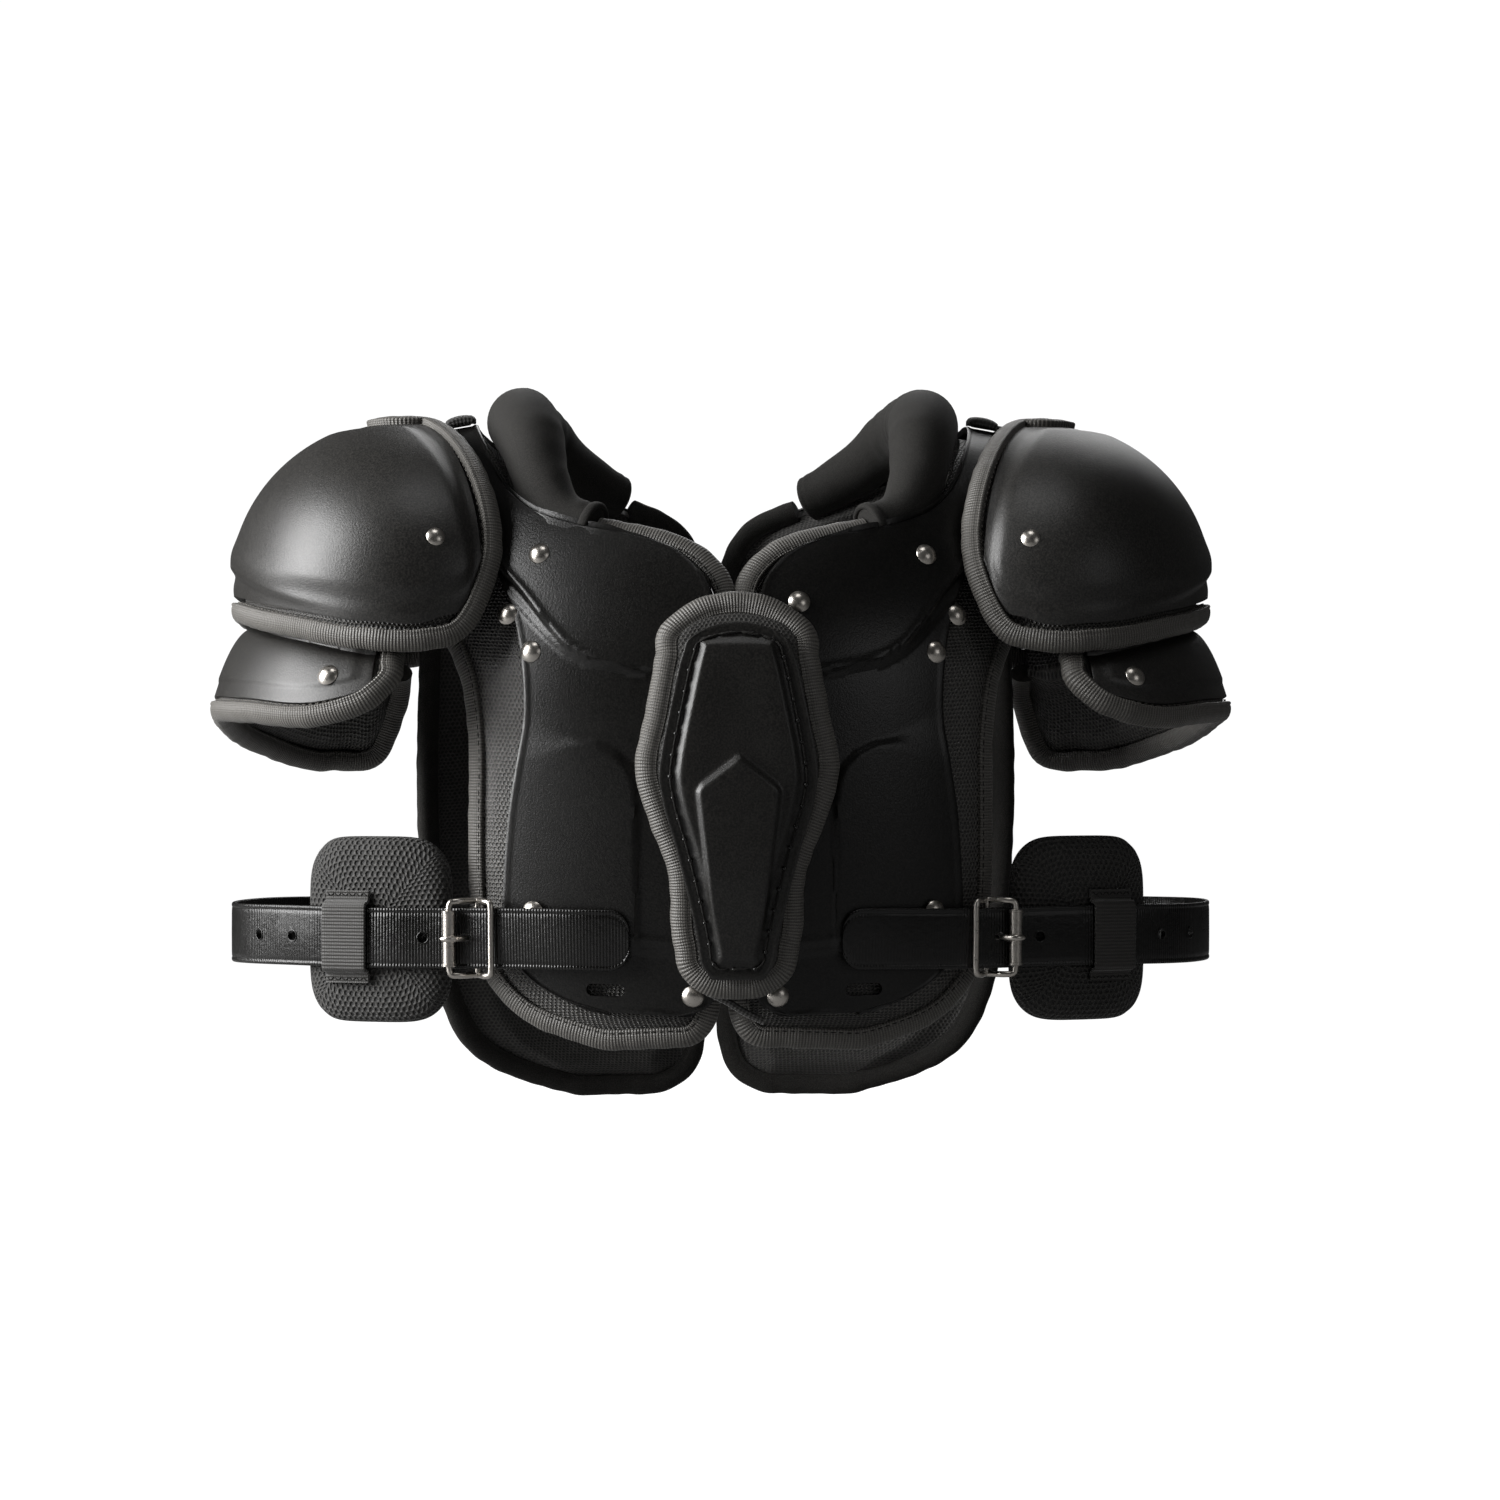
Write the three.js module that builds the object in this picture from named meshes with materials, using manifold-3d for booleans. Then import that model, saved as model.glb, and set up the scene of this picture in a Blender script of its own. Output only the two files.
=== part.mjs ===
// Youth football shoulder pad set, fastened as it is worn. Millimetres, +Z up, chest towards -Y.
// The origin lies midway between the wearer's shoulders, level with the underside of the arches.
import * as THREE from "three";
import Module from "manifold-3d";
import { mergeVertices } from "three/addons/utils/BufferGeometryUtils.js";

const wasm = await Module();
wasm.setup();

// Body form: the inner face of the hard plates
const CHEST_DEPTH = 114;
const BACK_DEPTH = 108;
const HALF_GIRTH = 150;
const CROWN_HEIGHT = 32;
const FRONT_DROP = 240;
const BACK_DROP = 266;
const SHOULDER_FALL = 18;

// Outlines across each half
const PLATE_REACH = 92;
const PLATE_CROWN_REACH = 138;
const PAD_REACH = 108;
const NECK_HALF_WIDTH = 102;
const CENTRE_GAP = 6.5;
const FRONT_SPLIT = -4.5;

// Thicknesses and clearances
const CLEARANCE = 0.3;
const PLATE_WALL = 3;
const PANEL_RAISE = 2.4;
const HEM_RAISE = 1.2;
const PAD_THICKNESS = 12;
const PAD_EDGE = 6.5;
const PAD_GAP = 1.3;
const BINDING_WIDTH = 7;
const BINDING_THICKNESS = 7;

// Collar roll
const ROLL_TOP_RADIUS = 15;
const ROLL_CUFF_RADIUS = 8;
const ROLL_RISE = 1;
const NECK_MARGIN = 2;
const ROLL_STAND_OFF = 1.2;

// Shoulder caps and epaulets
const CAP_BASE_REACH = 30;
const CAP_GIRTH_SHARE = 0.7;
const CAP_CENTRE_X = CAP_BASE_REACH + HALF_GIRTH * CAP_GIRTH_SHARE;
const CAP_CENTRE_Z = -43;
const CAP_SIDE_RADIUS = 73.5;
const CAP_NECK_RADIUS = 85;
const CAP_LENGTH_RADIUS = 100;
const CAP_HEIGHT = 70;
const CAP_WALL = 2.5;
const CAP_LINING = 6;
const CAP_BINDING_WIDTH = 7;
const CAP_BINDING_THICKNESS = 6.5;
const CAP_HALF_ANGLE = 115;
const CAP_NOTCH_ANGLE = 78;
const CAP_HEM_DROP = 26;
const CAP_LIP = 1.6;
const EPAULET_WALL = 2.5;
const EPAULET_LINING = 7;
const EPAULET_HALF_ANGLE = 84;
const EPAULET_TUCK = 6;
const EPAULET_TUCK_ROOM = 2.4;
const EPAULET_FLARE = 10;
const EPAULET_LENGTH = 41;
const EPAULET_REAR_EXTRA = 16;
const HANGER_LENGTH = 33;
const HANGER_WIDTH = 16;
const HANGER_THICKNESS = 3;

// Belt, buckle and side pad
const BELT_WIDTH = 25;
const BELT_THICKNESS = 2;
const BELT_HEIGHT = -190;
const BELT_HOLE = 4.6;
const BELT_HOLE_PITCH = 20;
const TAB_THICKNESS = 1.6;
const TAB_WIDTH = 24;
const BUCKLE_WIRE = 2.6;
const BUCKLE_LENGTH = 18;
const BUCKLE_HEIGHT = 33;
const ROLLER_DIAMETER = 5.4;
const ROLLER_LENGTH = 25;
const PRONG_WIRE = 1.6;
const SIDE_PAD_LENGTH = 66;
const SIDE_PAD_HEIGHT = 76;
const SIDE_PAD_THICKNESS = 13;
const SIDE_PAD_CORNER = 9;
const KEEPER_WIDTH = 20;
const KEEPER_HEIGHT = 38;
const KEEPER_THICKNESS = 1.5;

// Breastbone bumper
const STERNUM_TOP = -49;
const STERNUM_LENGTH = 164;
const STERNUM_HALF_WIDTH = 40.5;
const STERNUM_PAD_THICKNESS = 10;
const STERNUM_PLATE_HALF_WIDTH = 32;
const STERNUM_PLATE_WALL = 3;
const STERNUM_FIELD_RAISE = 1.8;
const STERNUM_EMBOSS_RAISE = 2.2;

// Fasteners
const RIVET_HEAD = 9;
const RIVET_RISE = 1.8;
const RIVET_SHANK = 4;
const SLOT_LENGTH = 16;
const SLOT_WIDTH = 5;
const LACE_THICKNESS = 3;
const BRIDGE_WIDTH = 44;
const BRIDGE_HEIGHT = 26;
const BRIDGE_THICKNESS = 2.5;

const SIDES = [
  { name: "right", sign: -1 },
  { name: "left", sign: 1 },
];

const FINISH = {
  shell: { color: 0x2c2c2a, roughness: 0.45, metalness: 0 },
  mesh: { color: 0x1d1d1e, roughness: 0.9, metalness: 0 },
  binding: { color: 0x34332f, roughness: 0.8, metalness: 0 },
  fleece: { color: 0x252423, roughness: 0.95, metalness: 0 },
  vinyl: { color: 0x101012, roughness: 0.25, metalness: 0 },
  webbing: { color: 0x161616, roughness: 0.85, metalness: 0 },
  nickel: { color: 0xb9b4aa, roughness: 0.28, metalness: 1 },
};

const shoulderPad = new THREE.Group();

function addPiece(name, geometry, finish) {
  const material = new THREE.MeshStandardMaterial(FINISH[finish]);
  const mesh = new THREE.Mesh(geometry, material);
  mesh.name = name;
  shoulderPad.add(mesh);
}

// Small vector and table helpers

const degrees = (angle) => (angle * Math.PI) / 180;
const mix = (a, b, t) => a + (b - a) * t;
const smooth = (t) => t * t * (3 - 2 * t);
const clamp01 = (t) => Math.min(1, Math.max(0, t));

// Reads a column of a table of rows at a position, with an even curve through the rows
function tableAt(rows, place, column, at) {
  let k = 0;
  while (k < rows.length - 2 && at > rows[k + 1][place]) k++;
  const a = rows[k];
  const b = rows[k + 1];
  const before = rows[Math.max(0, k - 1)];
  const after = rows[Math.min(rows.length - 1, k + 2)];
  const t = clamp01((at - a[place]) / (b[place] - a[place]));
  const slopeA = (b[column] - before[column]) / (b[place] - before[place]);
  const slopeB = (after[column] - a[column]) / (after[place] - a[place]);
  const run = b[place] - a[place];
  const t2 = t * t;
  const t3 = t2 * t;
  return (2 * t3 - 3 * t2 + 1) * a[column] + (t3 - 2 * t2 + t) * run * slopeA
    + (3 * t2 - 2 * t3) * b[column] + (t3 - t2) * run * slopeB;
}

// Closed solids from rows of points

function orientedGeometry(positions, triangles) {
  let volume = 0;
  const a = new THREE.Vector3();
  const b = new THREE.Vector3();
  const c = new THREE.Vector3();
  for (let i = 0; i < triangles.length; i += 3) {
    a.fromArray(positions, triangles[i] * 3);
    b.fromArray(positions, triangles[i + 1] * 3);
    c.fromArray(positions, triangles[i + 2] * 3);
    volume += a.dot(b.cross(c));
  }
  const outward = volume > 0 ? triangles : [...triangles].reverse();
  const geometry = new THREE.BufferGeometry();
  geometry.setAttribute("position", new THREE.Float32BufferAttribute(positions, 3));
  geometry.setIndex(outward);
  return geometry;
}

// A slab between two matching grids of points, closed round its rim
function slab(outer, inner) {
  const rows = outer.length;
  const columns = outer[0].length;
  const positions = [];
  const triangles = [];
  for (const grid of [outer, inner]) {
    for (const row of grid) {
      for (const point of row) positions.push(point.x, point.y, point.z);
    }
  }
  const at = (layer, r, c) => layer * rows * columns + r * columns + c;
  const quad = (p, q, r, s) => triangles.push(p, q, r, p, r, s);
  for (let r = 0; r < rows - 1; r++) {
    for (let c = 0; c < columns - 1; c++) {
      quad(at(0, r, c), at(0, r, c + 1), at(0, r + 1, c + 1), at(0, r + 1, c));
      quad(at(1, r, c), at(1, r + 1, c), at(1, r + 1, c + 1), at(1, r, c + 1));
    }
  }
  for (let c = 0; c < columns - 1; c++) {
    quad(at(0, 0, c + 1), at(0, 0, c), at(1, 0, c), at(1, 0, c + 1));
    quad(at(0, rows - 1, c), at(0, rows - 1, c + 1), at(1, rows - 1, c + 1), at(1, rows - 1, c));
  }
  for (let r = 0; r < rows - 1; r++) {
    quad(at(0, r, 0), at(0, r + 1, 0), at(1, r + 1, 0), at(1, r, 0));
    quad(at(0, r + 1, columns - 1), at(0, r, columns - 1), at(1, r, columns - 1), at(1, r + 1, columns - 1));
  }
  return orientedGeometry(positions, triangles);
}

// A solid through rings of points, closed on itself or capped at both ends
function ringSolid(rings, closed) {
  const count = rings[0].length;
  const positions = [];
  const triangles = [];
  for (const ring of rings) {
    for (const point of ring) positions.push(point.x, point.y, point.z);
  }
  const spans = closed ? rings.length : rings.length - 1;
  for (let r = 0; r < spans; r++) {
    const next = (r + 1) % rings.length;
    for (let c = 0; c < count; c++) {
      const d = (c + 1) % count;
      triangles.push(r * count + c, r * count + d, next * count + d);
      triangles.push(r * count + c, next * count + d, next * count + c);
    }
  }
  if (!closed) {
    for (const r of [0, rings.length - 1]) {
      for (let c = 1; c < count - 1; c++) {
        const fan = [r * count, r * count + c + 1, r * count + c];
        triangles.push(...(r === 0 ? fan : fan.reverse()));
      }
    }
  }
  return orientedGeometry(positions, triangles);
}

// An edging or wire along stations that each hold a point, a sideways and an outward direction
function edging(stations, width, thickness, sides, closed) {
  const rings = stations.map((station) => {
    const ring = [];
    for (let k = 0; k < sides; k++) {
      const turn = ((k + 0.5) / sides) * Math.PI * 2;
      ring.push(station.point.clone()
        .addScaledVector(station.side, (Math.cos(turn) * width) / 2)
        .addScaledVector(station.out, (Math.sin(turn) * thickness) / 2));
    }
    return ring;
  });
  return ringSolid(rings, closed);
}

// A round wire along a smooth curve through points
function wire(points, diameter, steps, sides, closed) {
  const curve = new THREE.CatmullRomCurve3(points, closed, "centripetal");
  const frames = curve.computeFrenetFrames(steps, closed);
  const stations = [];
  for (let i = 0; i < (closed ? steps : steps + 1); i++) {
    stations.push({ point: curve.getPointAt(i / steps), side: frames.normals[i], out: frames.binormals[i] });
  }
  return edging(stations, diameter, diameter, sides, closed);
}

// Cutting and joining

function toSolid(geometry) {
  const merged = mergeVertices(geometry, 1e-4);
  return new wasm.Manifold(new wasm.Mesh({
    numProp: 3,
    vertProperties: new Float32Array(merged.attributes.position.array),
    triVerts: new Uint32Array(merged.index.array),
  }));
}

function fromSolid(solid) {
  const mesh = solid.getMesh();
  const geometry = new THREE.BufferGeometry();
  geometry.setAttribute("position", new THREE.Float32BufferAttribute(mesh.vertProperties, 3));
  geometry.setIndex([...mesh.triVerts]);
  return geometry;
}

function cut(geometry, cutters) {
  let solid = toSolid(geometry);
  for (const cutter of cutters) solid = solid.subtract(toSolid(cutter));
  return fromSolid(solid);
}

// A bar with a section of any outline, whose ends are placed at -0.5 and 0.5
function prism(section, place) {
  const outline = section.map(([a, b]) => new THREE.Vector2(a, b));
  const faces = THREE.ShapeUtils.triangulateShape(outline, []);
  const clockwise = THREE.ShapeUtils.isClockWise(outline) ? -1 : 1;
  const count = section.length;
  const positions = [-0.5, 0.5].flatMap((end) => section.flatMap(([a, b]) => place(a, b, end).toArray()));
  const triangles = [];
  for (let c = 0; c < count; c++) {
    const d = (c + 1) % count;
    triangles.push(...[c, d, count + d], ...[c, count + d, count + c]);
  }
  for (const [a, b, c] of faces) {
    triangles.push(...(clockwise > 0 ? [c, b, a, count + a, count + b, count + c]
      : [a, b, c, count + c, count + b, count + a]));
  }
  return orientedGeometry(positions, triangles);
}

// A many-sided peg along a seat's outward direction
function peg(seat, diameter, from, to, sides) {
  const ring = (height) => {
    const points = [];
    for (let k = 0; k < sides; k++) {
      const turn = ((k + 0.5) / sides) * Math.PI * 2;
      points.push(seat.point.clone()
        .addScaledVector(seat.out, height)
        .addScaledVector(seat.side, (Math.cos(turn) * diameter) / 2)
        .addScaledVector(seat.up, (Math.sin(turn) * diameter) / 2));
    }
    return points;
  };
  return ringSolid([ring(from), ring(to)], false);
}

// Body form

// Side view of the form from the chest hem over the shoulder to the back hem. Depths are shares of
// the chest or back depth, and heights shares of the crown height or of the drops.
const PROFILE = [
  { chest: 0.92, back: 0, crown: 0, front: 1.0, rear: 0 },
  { chest: 0.95, back: 0, crown: 0, front: 0.84, rear: 0 },
  { chest: 0.985, back: 0, crown: 0, front: 0.64, rear: 0 },
  { chest: 1.0, back: 0, crown: 0, front: 0.46, rear: 0 },
  { chest: 0.985, back: 0, crown: 0, front: 0.31, rear: 0 },
  { chest: 0.91, back: 0, crown: 0, front: 0.19, rear: 0 },
  { chest: 0.77, back: 0, crown: 0, front: 0.065, rear: 0 },
  { chest: 0.52, back: 0, crown: 0.45, front: 0, rear: 0 },
  { chest: 0.22, back: 0, crown: 0.88, front: 0, rear: 0 },
  { chest: 0, back: 0.1, crown: 1.0, front: 0, rear: 0 },
  { chest: 0, back: 0.44, crown: 0.78, front: 0, rear: 0 },
  { chest: 0, back: 0.72, crown: 0.16, front: 0, rear: 0 },
  { chest: 0, back: 0.92, crown: 0, front: 0, rear: 0.13 },
  { chest: 0, back: 1.0, crown: 0, front: 0, rear: 0.33 },
  { chest: 0, back: 0.99, crown: 0, front: 0, rear: 0.56 },
  { chest: 0, back: 0.95, crown: 0, front: 0, rear: 0.78 },
  { chest: 0, back: 0.9, crown: 0, front: 0, rear: 1.0 },
];
const CROWN_ROW = 9;
const PROFILE_STEPS = 40;

const profileCurve = new THREE.CatmullRomCurve3(PROFILE.map((row) => new THREE.Vector3(
  0,
  row.back * BACK_DEPTH - row.chest * CHEST_DEPTH,
  row.crown * CROWN_HEIGHT - row.front * FRONT_DROP - row.rear * BACK_DROP,
)), false, "centripetal");
const CROWN_SHARE = CROWN_ROW / (PROFILE.length - 1);

// Along runs from -1 at the chest hem through 0 at the crown to 1 at the back hem
function profileAt(along) {
  const share = along < 0 ? CROWN_SHARE * (1 + along) : mix(CROWN_SHARE, 1, along);
  return profileCurve.getPoint(Math.min(1, Math.max(0, share)));
}

const SHOULDER_START = 0.28;
const SHOULDER_END = 0.6;

// Point of the form at a distance across from the centre line, on the wearer's left side
function formBase(along, across) {
  const profile = profileAt(along);
  const turn = Math.sqrt(Math.max(0.02, 1 - (across / HALF_GIRTH) ** 2));
  const onShoulder = 1 - smooth(clamp01((Math.abs(along) - SHOULDER_START) / (SHOULDER_END - SHOULDER_START)));
  const fall = SHOULDER_FALL * (across / HALF_GIRTH) ** 2 * onShoulder;
  return new THREE.Vector3(across, profile.y * turn, profile.z - fall);
}

function formFrame(along, across) {
  const step = 0.004;
  const reach = 1;
  const up = formBase(along + step, across).sub(formBase(along - step, across)).normalize();
  const side = formBase(along, across + reach).sub(formBase(along, across - reach)).normalize();
  const out = new THREE.Vector3().crossVectors(side, up).normalize();
  return { up, side: new THREE.Vector3().crossVectors(up, out), out };
}

// Seat on the form for one side, with its directions
function formSeat(sign, along, across, lift) {
  const frame = formFrame(along, across);
  const point = formBase(along, across).addScaledVector(frame.out, lift);
  const mirror = (v) => new THREE.Vector3(v.x * sign, v.y, v.z);
  return { point: mirror(point), up: mirror(frame.up), side: mirror(frame.side), out: mirror(frame.out) };
}

// Finds how far along the form a height is reached, on the chest or on the back
function alongAtHeight(height, across, half) {
  let high = 0;
  let low = half;
  for (let k = 0; k < PROFILE_STEPS; k++) {
    const middle = (high + low) / 2;
    if (formBase(middle, across).z > height) high = middle;
    else low = middle;
  }
  return (high + low) / 2;
}

// Hard plates

// Neckline stations from the chest V over the shoulder to the back V: place along the form and
// distance from the centre line as a share of the neck's half width
const NECK = [
  { along: -0.447, across: 0.095 },
  { along: -0.405, across: 0.196 },
  { along: -0.377, across: 0.39 },
  { along: -0.36, across: 0.56 },
  { along: -0.325, across: 0.755 },
  { along: -0.26, across: 0.9 },
  { along: -0.17, across: 0.97 },
  { along: -0.08, across: 1.0 },
  { along: 0, across: 1.0 },
  { along: 0.08, across: 0.98 },
  { along: 0.16, across: 0.9 },
  { along: 0.23, across: 0.76 },
  { along: 0.285, across: 0.58 },
  { along: 0.325, across: 0.38 },
  { along: 0.365, across: 0.18 },
  { along: 0.435, across: 0.095 },
];
const NECK_CUFF = 3;
const NECK_BACK = 13;

// Rows across a plate. An end is a share of the plate's reach across and of the drop below the
// shoulders, or a neckline station, or a place along the form.
const PLATE_ROWS = [
  { half: -1, inAcross: 0.24, inDown: 0.921, outAcross: 0.56, outDown: 0.915, raise: 0 },
  { half: -1, inAcross: 0.12, inDown: 0.905, outAcross: 0.78, outDown: 0.888, raise: 0 },
  { half: -1, inAcross: 0.075, inDown: 0.87, outAcross: 0.935, outDown: 0.845, raise: 0 },
  { half: -1, inAcross: 0.07, inDown: 0.815, outAcross: 0.995, outDown: 0.79, raise: 0 },
  { half: -1, inAcross: 0.07, inDown: 0.797, outAcross: 1.0, outDown: 0.772, raise: 0.5 },
  { half: -1, inAcross: 0.07, inDown: 0.6, outAcross: 0.975, outDown: 0.59, raise: 0.5 },
  { half: -1, inAcross: 0.07, inDown: 0.45, outAcross: 0.915, outDown: 0.42, raise: 0.5 },
  { half: -1, inAcross: 0.075, inDown: 0.37, outAcross: 0.93, outDown: 0.3, raise: 0.4 },
  { half: -1, inAcross: 0.08, inDown: 0.345, outAcross: 0.99, outDown: 0.205, raise: 0 },
  { half: -1, inAcross: 0.085, inDown: 0.32, outAcross: 1.03, outDown: 0.172, raise: 1 },
  { half: -1, inAcross: 0.095, inDown: 0.25, outAcross: 1.09, outDown: 0.13, raise: 1 },
  { neck: 0, outAcross: 1.14, outAlong: -0.36, raise: 0.9 },
  { neck: 1, outAcross: 1.165, outAlong: -0.347, raise: 0.8 },
  { neck: 2, outAcross: 1.19, outAlong: -0.333, raise: 0.6 },
  { neck: 3, outAcross: 1.25, outAlong: -0.3, raise: 0.5 },
  { neck: 4, outAcross: 1.4, outAlong: -0.215, raise: 0.3 },
  { neck: 5, outAcross: 1.48, outAlong: -0.14, raise: 0.1 },
  { neck: 6, outAcross: 1.5, outAlong: -0.09, raise: 0 },
  { neck: 7, outAcross: 1.5, outAlong: -0.045, raise: 0 },
  { neck: 8, outAcross: 1.5, outAlong: 0, raise: 0 },
  { neck: 9, outAcross: 1.5, outAlong: 0.045, raise: 0 },
  { neck: 10, outAcross: 1.49, outAlong: 0.1, raise: 0 },
  { neck: 11, outAcross: 1.46, outAlong: 0.16, raise: 0 },
  { neck: 12, outAcross: 1.4, outAlong: 0.22, raise: 0 },
  { neck: 13, outAcross: 1.33, outAlong: 0.27, raise: 0 },
  { neck: 14, outAcross: 1.24, outAlong: 0.33, raise: 0 },
  { neck: 15, outAcross: 1.12, outAlong: 0.4, raise: 0 },
  { half: 1, inAcross: 0.08, inDown: 0.38, outAcross: 1.04, outDown: 0.42, raise: 0 },
  { half: 1, inAcross: 0.08, inDown: 0.6, outAcross: 1.05, outDown: 0.62, raise: 0 },
  { half: 1, inAcross: 0.1, inDown: 0.8, outAcross: 1.0, outDown: 0.79, raise: 0 },
  { half: 1, inAcross: 0.27, inDown: 0.87, outAcross: 0.76, outDown: 0.865, raise: 0 },
];
const PLATE_COLUMNS = 6;

// Where a row's end lies along the form
function rowEnd(row, across, along, down) {
  if (along !== undefined) return along;
  const drop = row.half < 0 ? FRONT_DROP : BACK_DROP;
  return alongAtHeight(-down * drop, across, row.half);
}

// Turns a row's shares across into real distances, narrower rows by the plate's own reach and
// shoulder rows by the reach at the crown
function reachAcross(share) {
  if (share <= 1) return share * PLATE_REACH;
  return PLATE_REACH + ((share - 1) / 0.5) * (PLATE_CROWN_REACH - PLATE_REACH);
}

// A row that starts on the neckline takes its inner end from that station
function innerEnd(row, across, margin) {
  if (row.neck === undefined) return { across, along: rowEnd(row, across, row.inAlong, row.inDown) };
  const station = NECK[row.neck];
  return { across: station.across * NECK_HALF_WIDTH + margin, along: station.along };
}

function plateRow(row) {
  const inside = innerEnd(row, reachAcross(row.inAcross), NECK_MARGIN);
  const outer = reachAcross(row.outAcross);
  const alongOut = rowEnd(row, outer, row.outAlong, row.outDown);
  return { inner: inside.across, outer, alongIn: inside.along, alongOut, raise: row.raise * PANEL_RAISE };
}

const plateRows = PLATE_ROWS.map(plateRow);

function plateRise(along, across) {
  let best = 0;
  for (let k = 0; k < plateRows.length - 1; k++) {
    const a = plateRows[k];
    const b = plateRows[k + 1];
    const at = (row) => mix(row.alongIn, row.alongOut, clamp01((across - row.inner) / (row.outer - row.inner)));
    if (along >= at(a) && along <= at(b)) best = mix(a.raise, b.raise, (along - at(a)) / (at(b) - at(a)));
  }
  return best;
}

function archPlate(sign) {
  const grid = (lift) => plateRows.map((row) => {
    const points = [];
    for (let c = 0; c < PLATE_COLUMNS; c++) {
      const t = c / (PLATE_COLUMNS - 1);
      const along = mix(row.alongIn, row.alongOut, t);
      points.push(formSeat(sign, along, mix(row.inner, row.outer, t), row.raise + lift).point);
    }
    return points;
  });
  return slab(grid(PLATE_WALL), grid(0));
}

// Rivet places on the plate, as shares of the plate's reach and of the front drop
const PLATE_RIVETS = [
  { name: "clavicle", across: 0.835, down: 0.148, sides: [-1, 1] },
  { name: "armhole_upper", across: 0.985, down: 0.243, sides: [-1, 1] },
  { name: "armhole_lower", across: 0.885, down: 0.306, sides: [-1, 1] },
  { name: "tab", across: 0.86, down: 0.744, sides: [-1, 1] },
  { name: "hem", across: 0.185, down: 0.887, sides: [-1, 1] },
  { name: "sternum", across: 0.27, down: 0.23, sides: [1] },
];
const RIVET_SIDES = 6;

function plateSeat(sign, across, down) {
  const x = across * PLATE_REACH;
  const along = alongAtHeight(-down * FRONT_DROP, x, -1);
  return formSeat(sign, along, x, plateRise(along, x) + PLATE_WALL);
}

// A domed head on a shank that passes through a wall
function rivet(seat, wall, proud) {
  const ring = (diameter, height) => {
    const points = [];
    for (let k = 0; k < RIVET_SIDES; k++) {
      const turn = ((k + 0.5) / RIVET_SIDES) * Math.PI * 2;
      points.push(seat.point.clone()
        .addScaledVector(seat.out, height)
        .addScaledVector(seat.side, (Math.cos(turn) * diameter) / 2)
        .addScaledVector(seat.up, (Math.sin(turn) * diameter) / 2));
    }
    return points;
  };
  return ringSolid([
    ring(RIVET_SHANK, -wall),
    ring(RIVET_SHANK, proud + CLEARANCE),
    ring(RIVET_HEAD, proud + CLEARANCE),
    ring(RIVET_HEAD * 0.5, proud + CLEARANCE + RIVET_RISE),
  ], false);
}

function rivetHole(seat, wall) {
  return peg(seat, RIVET_SHANK + 2 * CLEARANCE, -wall * 3, wall * 2, RIVET_SIDES);
}

// Lacing slot near the plate's hem, with round ends
function laceSlot(sign) {
  const seat = plateSeat(sign, 0.565, 0.877);
  const half = (SLOT_LENGTH - SLOT_WIDTH) / 2;
  const ends = 3;
  const ring = (height) => {
    const points = [];
    for (const end of [1, -1]) {
      for (let k = 0; k <= ends; k++) {
        const turn = ((k / ends) - 0.5) * Math.PI + (end < 0 ? Math.PI : 0);
        points.push(seat.point.clone()
          .addScaledVector(seat.out, height)
          .addScaledVector(seat.side, end * half + (Math.cos(turn) * SLOT_WIDTH) / 2)
          .addScaledVector(seat.up, (Math.sin(turn) * SLOT_WIDTH) / 2));
      }
    }
    return points;
  };
  return ringSolid([ring(-PLATE_WALL * 3), ring(PLATE_WALL * 2)], false);
}

// Body pads

// Rows across the front pad, from its hem to the crown, as shares of the pad's reach
const FRONT_PAD_ROWS = [
  { half: -1, inAcross: 0.13, inDown: 0.948, outAcross: 0.48, outDown: 0.955, split: 1 },
  { half: -1, inAcross: 0.085, inDown: 0.915, outAcross: 0.76, outDown: 0.915, split: 1 },
  { half: -1, inAcross: 0.08, inDown: 0.85, outAcross: 0.92, outDown: 0.84, split: 0.8 },
  { half: -1, inAcross: 0.08, inDown: 0.7, outAcross: 0.97, outDown: 0.69, split: 0.4 },
  { half: -1, inAcross: 0.08, inDown: 0.5, outAcross: 0.97, outDown: 0.48, split: 0.1 },
  { half: -1, inAcross: 0.08, inDown: 0.38, outAcross: 1.0, outDown: 0.35, split: 0 },
  { half: -1, inAcross: 0.08, inDown: 0.28, outAcross: 1.09, outDown: 0.25, split: 0 },
  { neck: 0, outAcross: 1.15, outAlong: -0.4, split: 0 },
  { neck: 1, outAcross: 1.165, outAlong: -0.37, split: 0 },
  { neck: 2, outAcross: 1.18, outAlong: -0.34, split: 0 },
  { neck: 3, outAcross: 1.21, outAlong: -0.295, split: 0 },
  { neck: 4, outAcross: 1.25, outAlong: -0.215, split: 0 },
  { neck: 5, outAcross: 1.26, outAlong: -0.14, split: 0 },
  { neck: 6, outAcross: 1.27, outAlong: -0.09, split: 0 },
  { neck: 7, outAcross: 1.27, outAlong: -0.045, split: 0 },
  { neck: 8, outAcross: 1.27, outAlong: -0.008, split: 0 },
];
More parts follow.
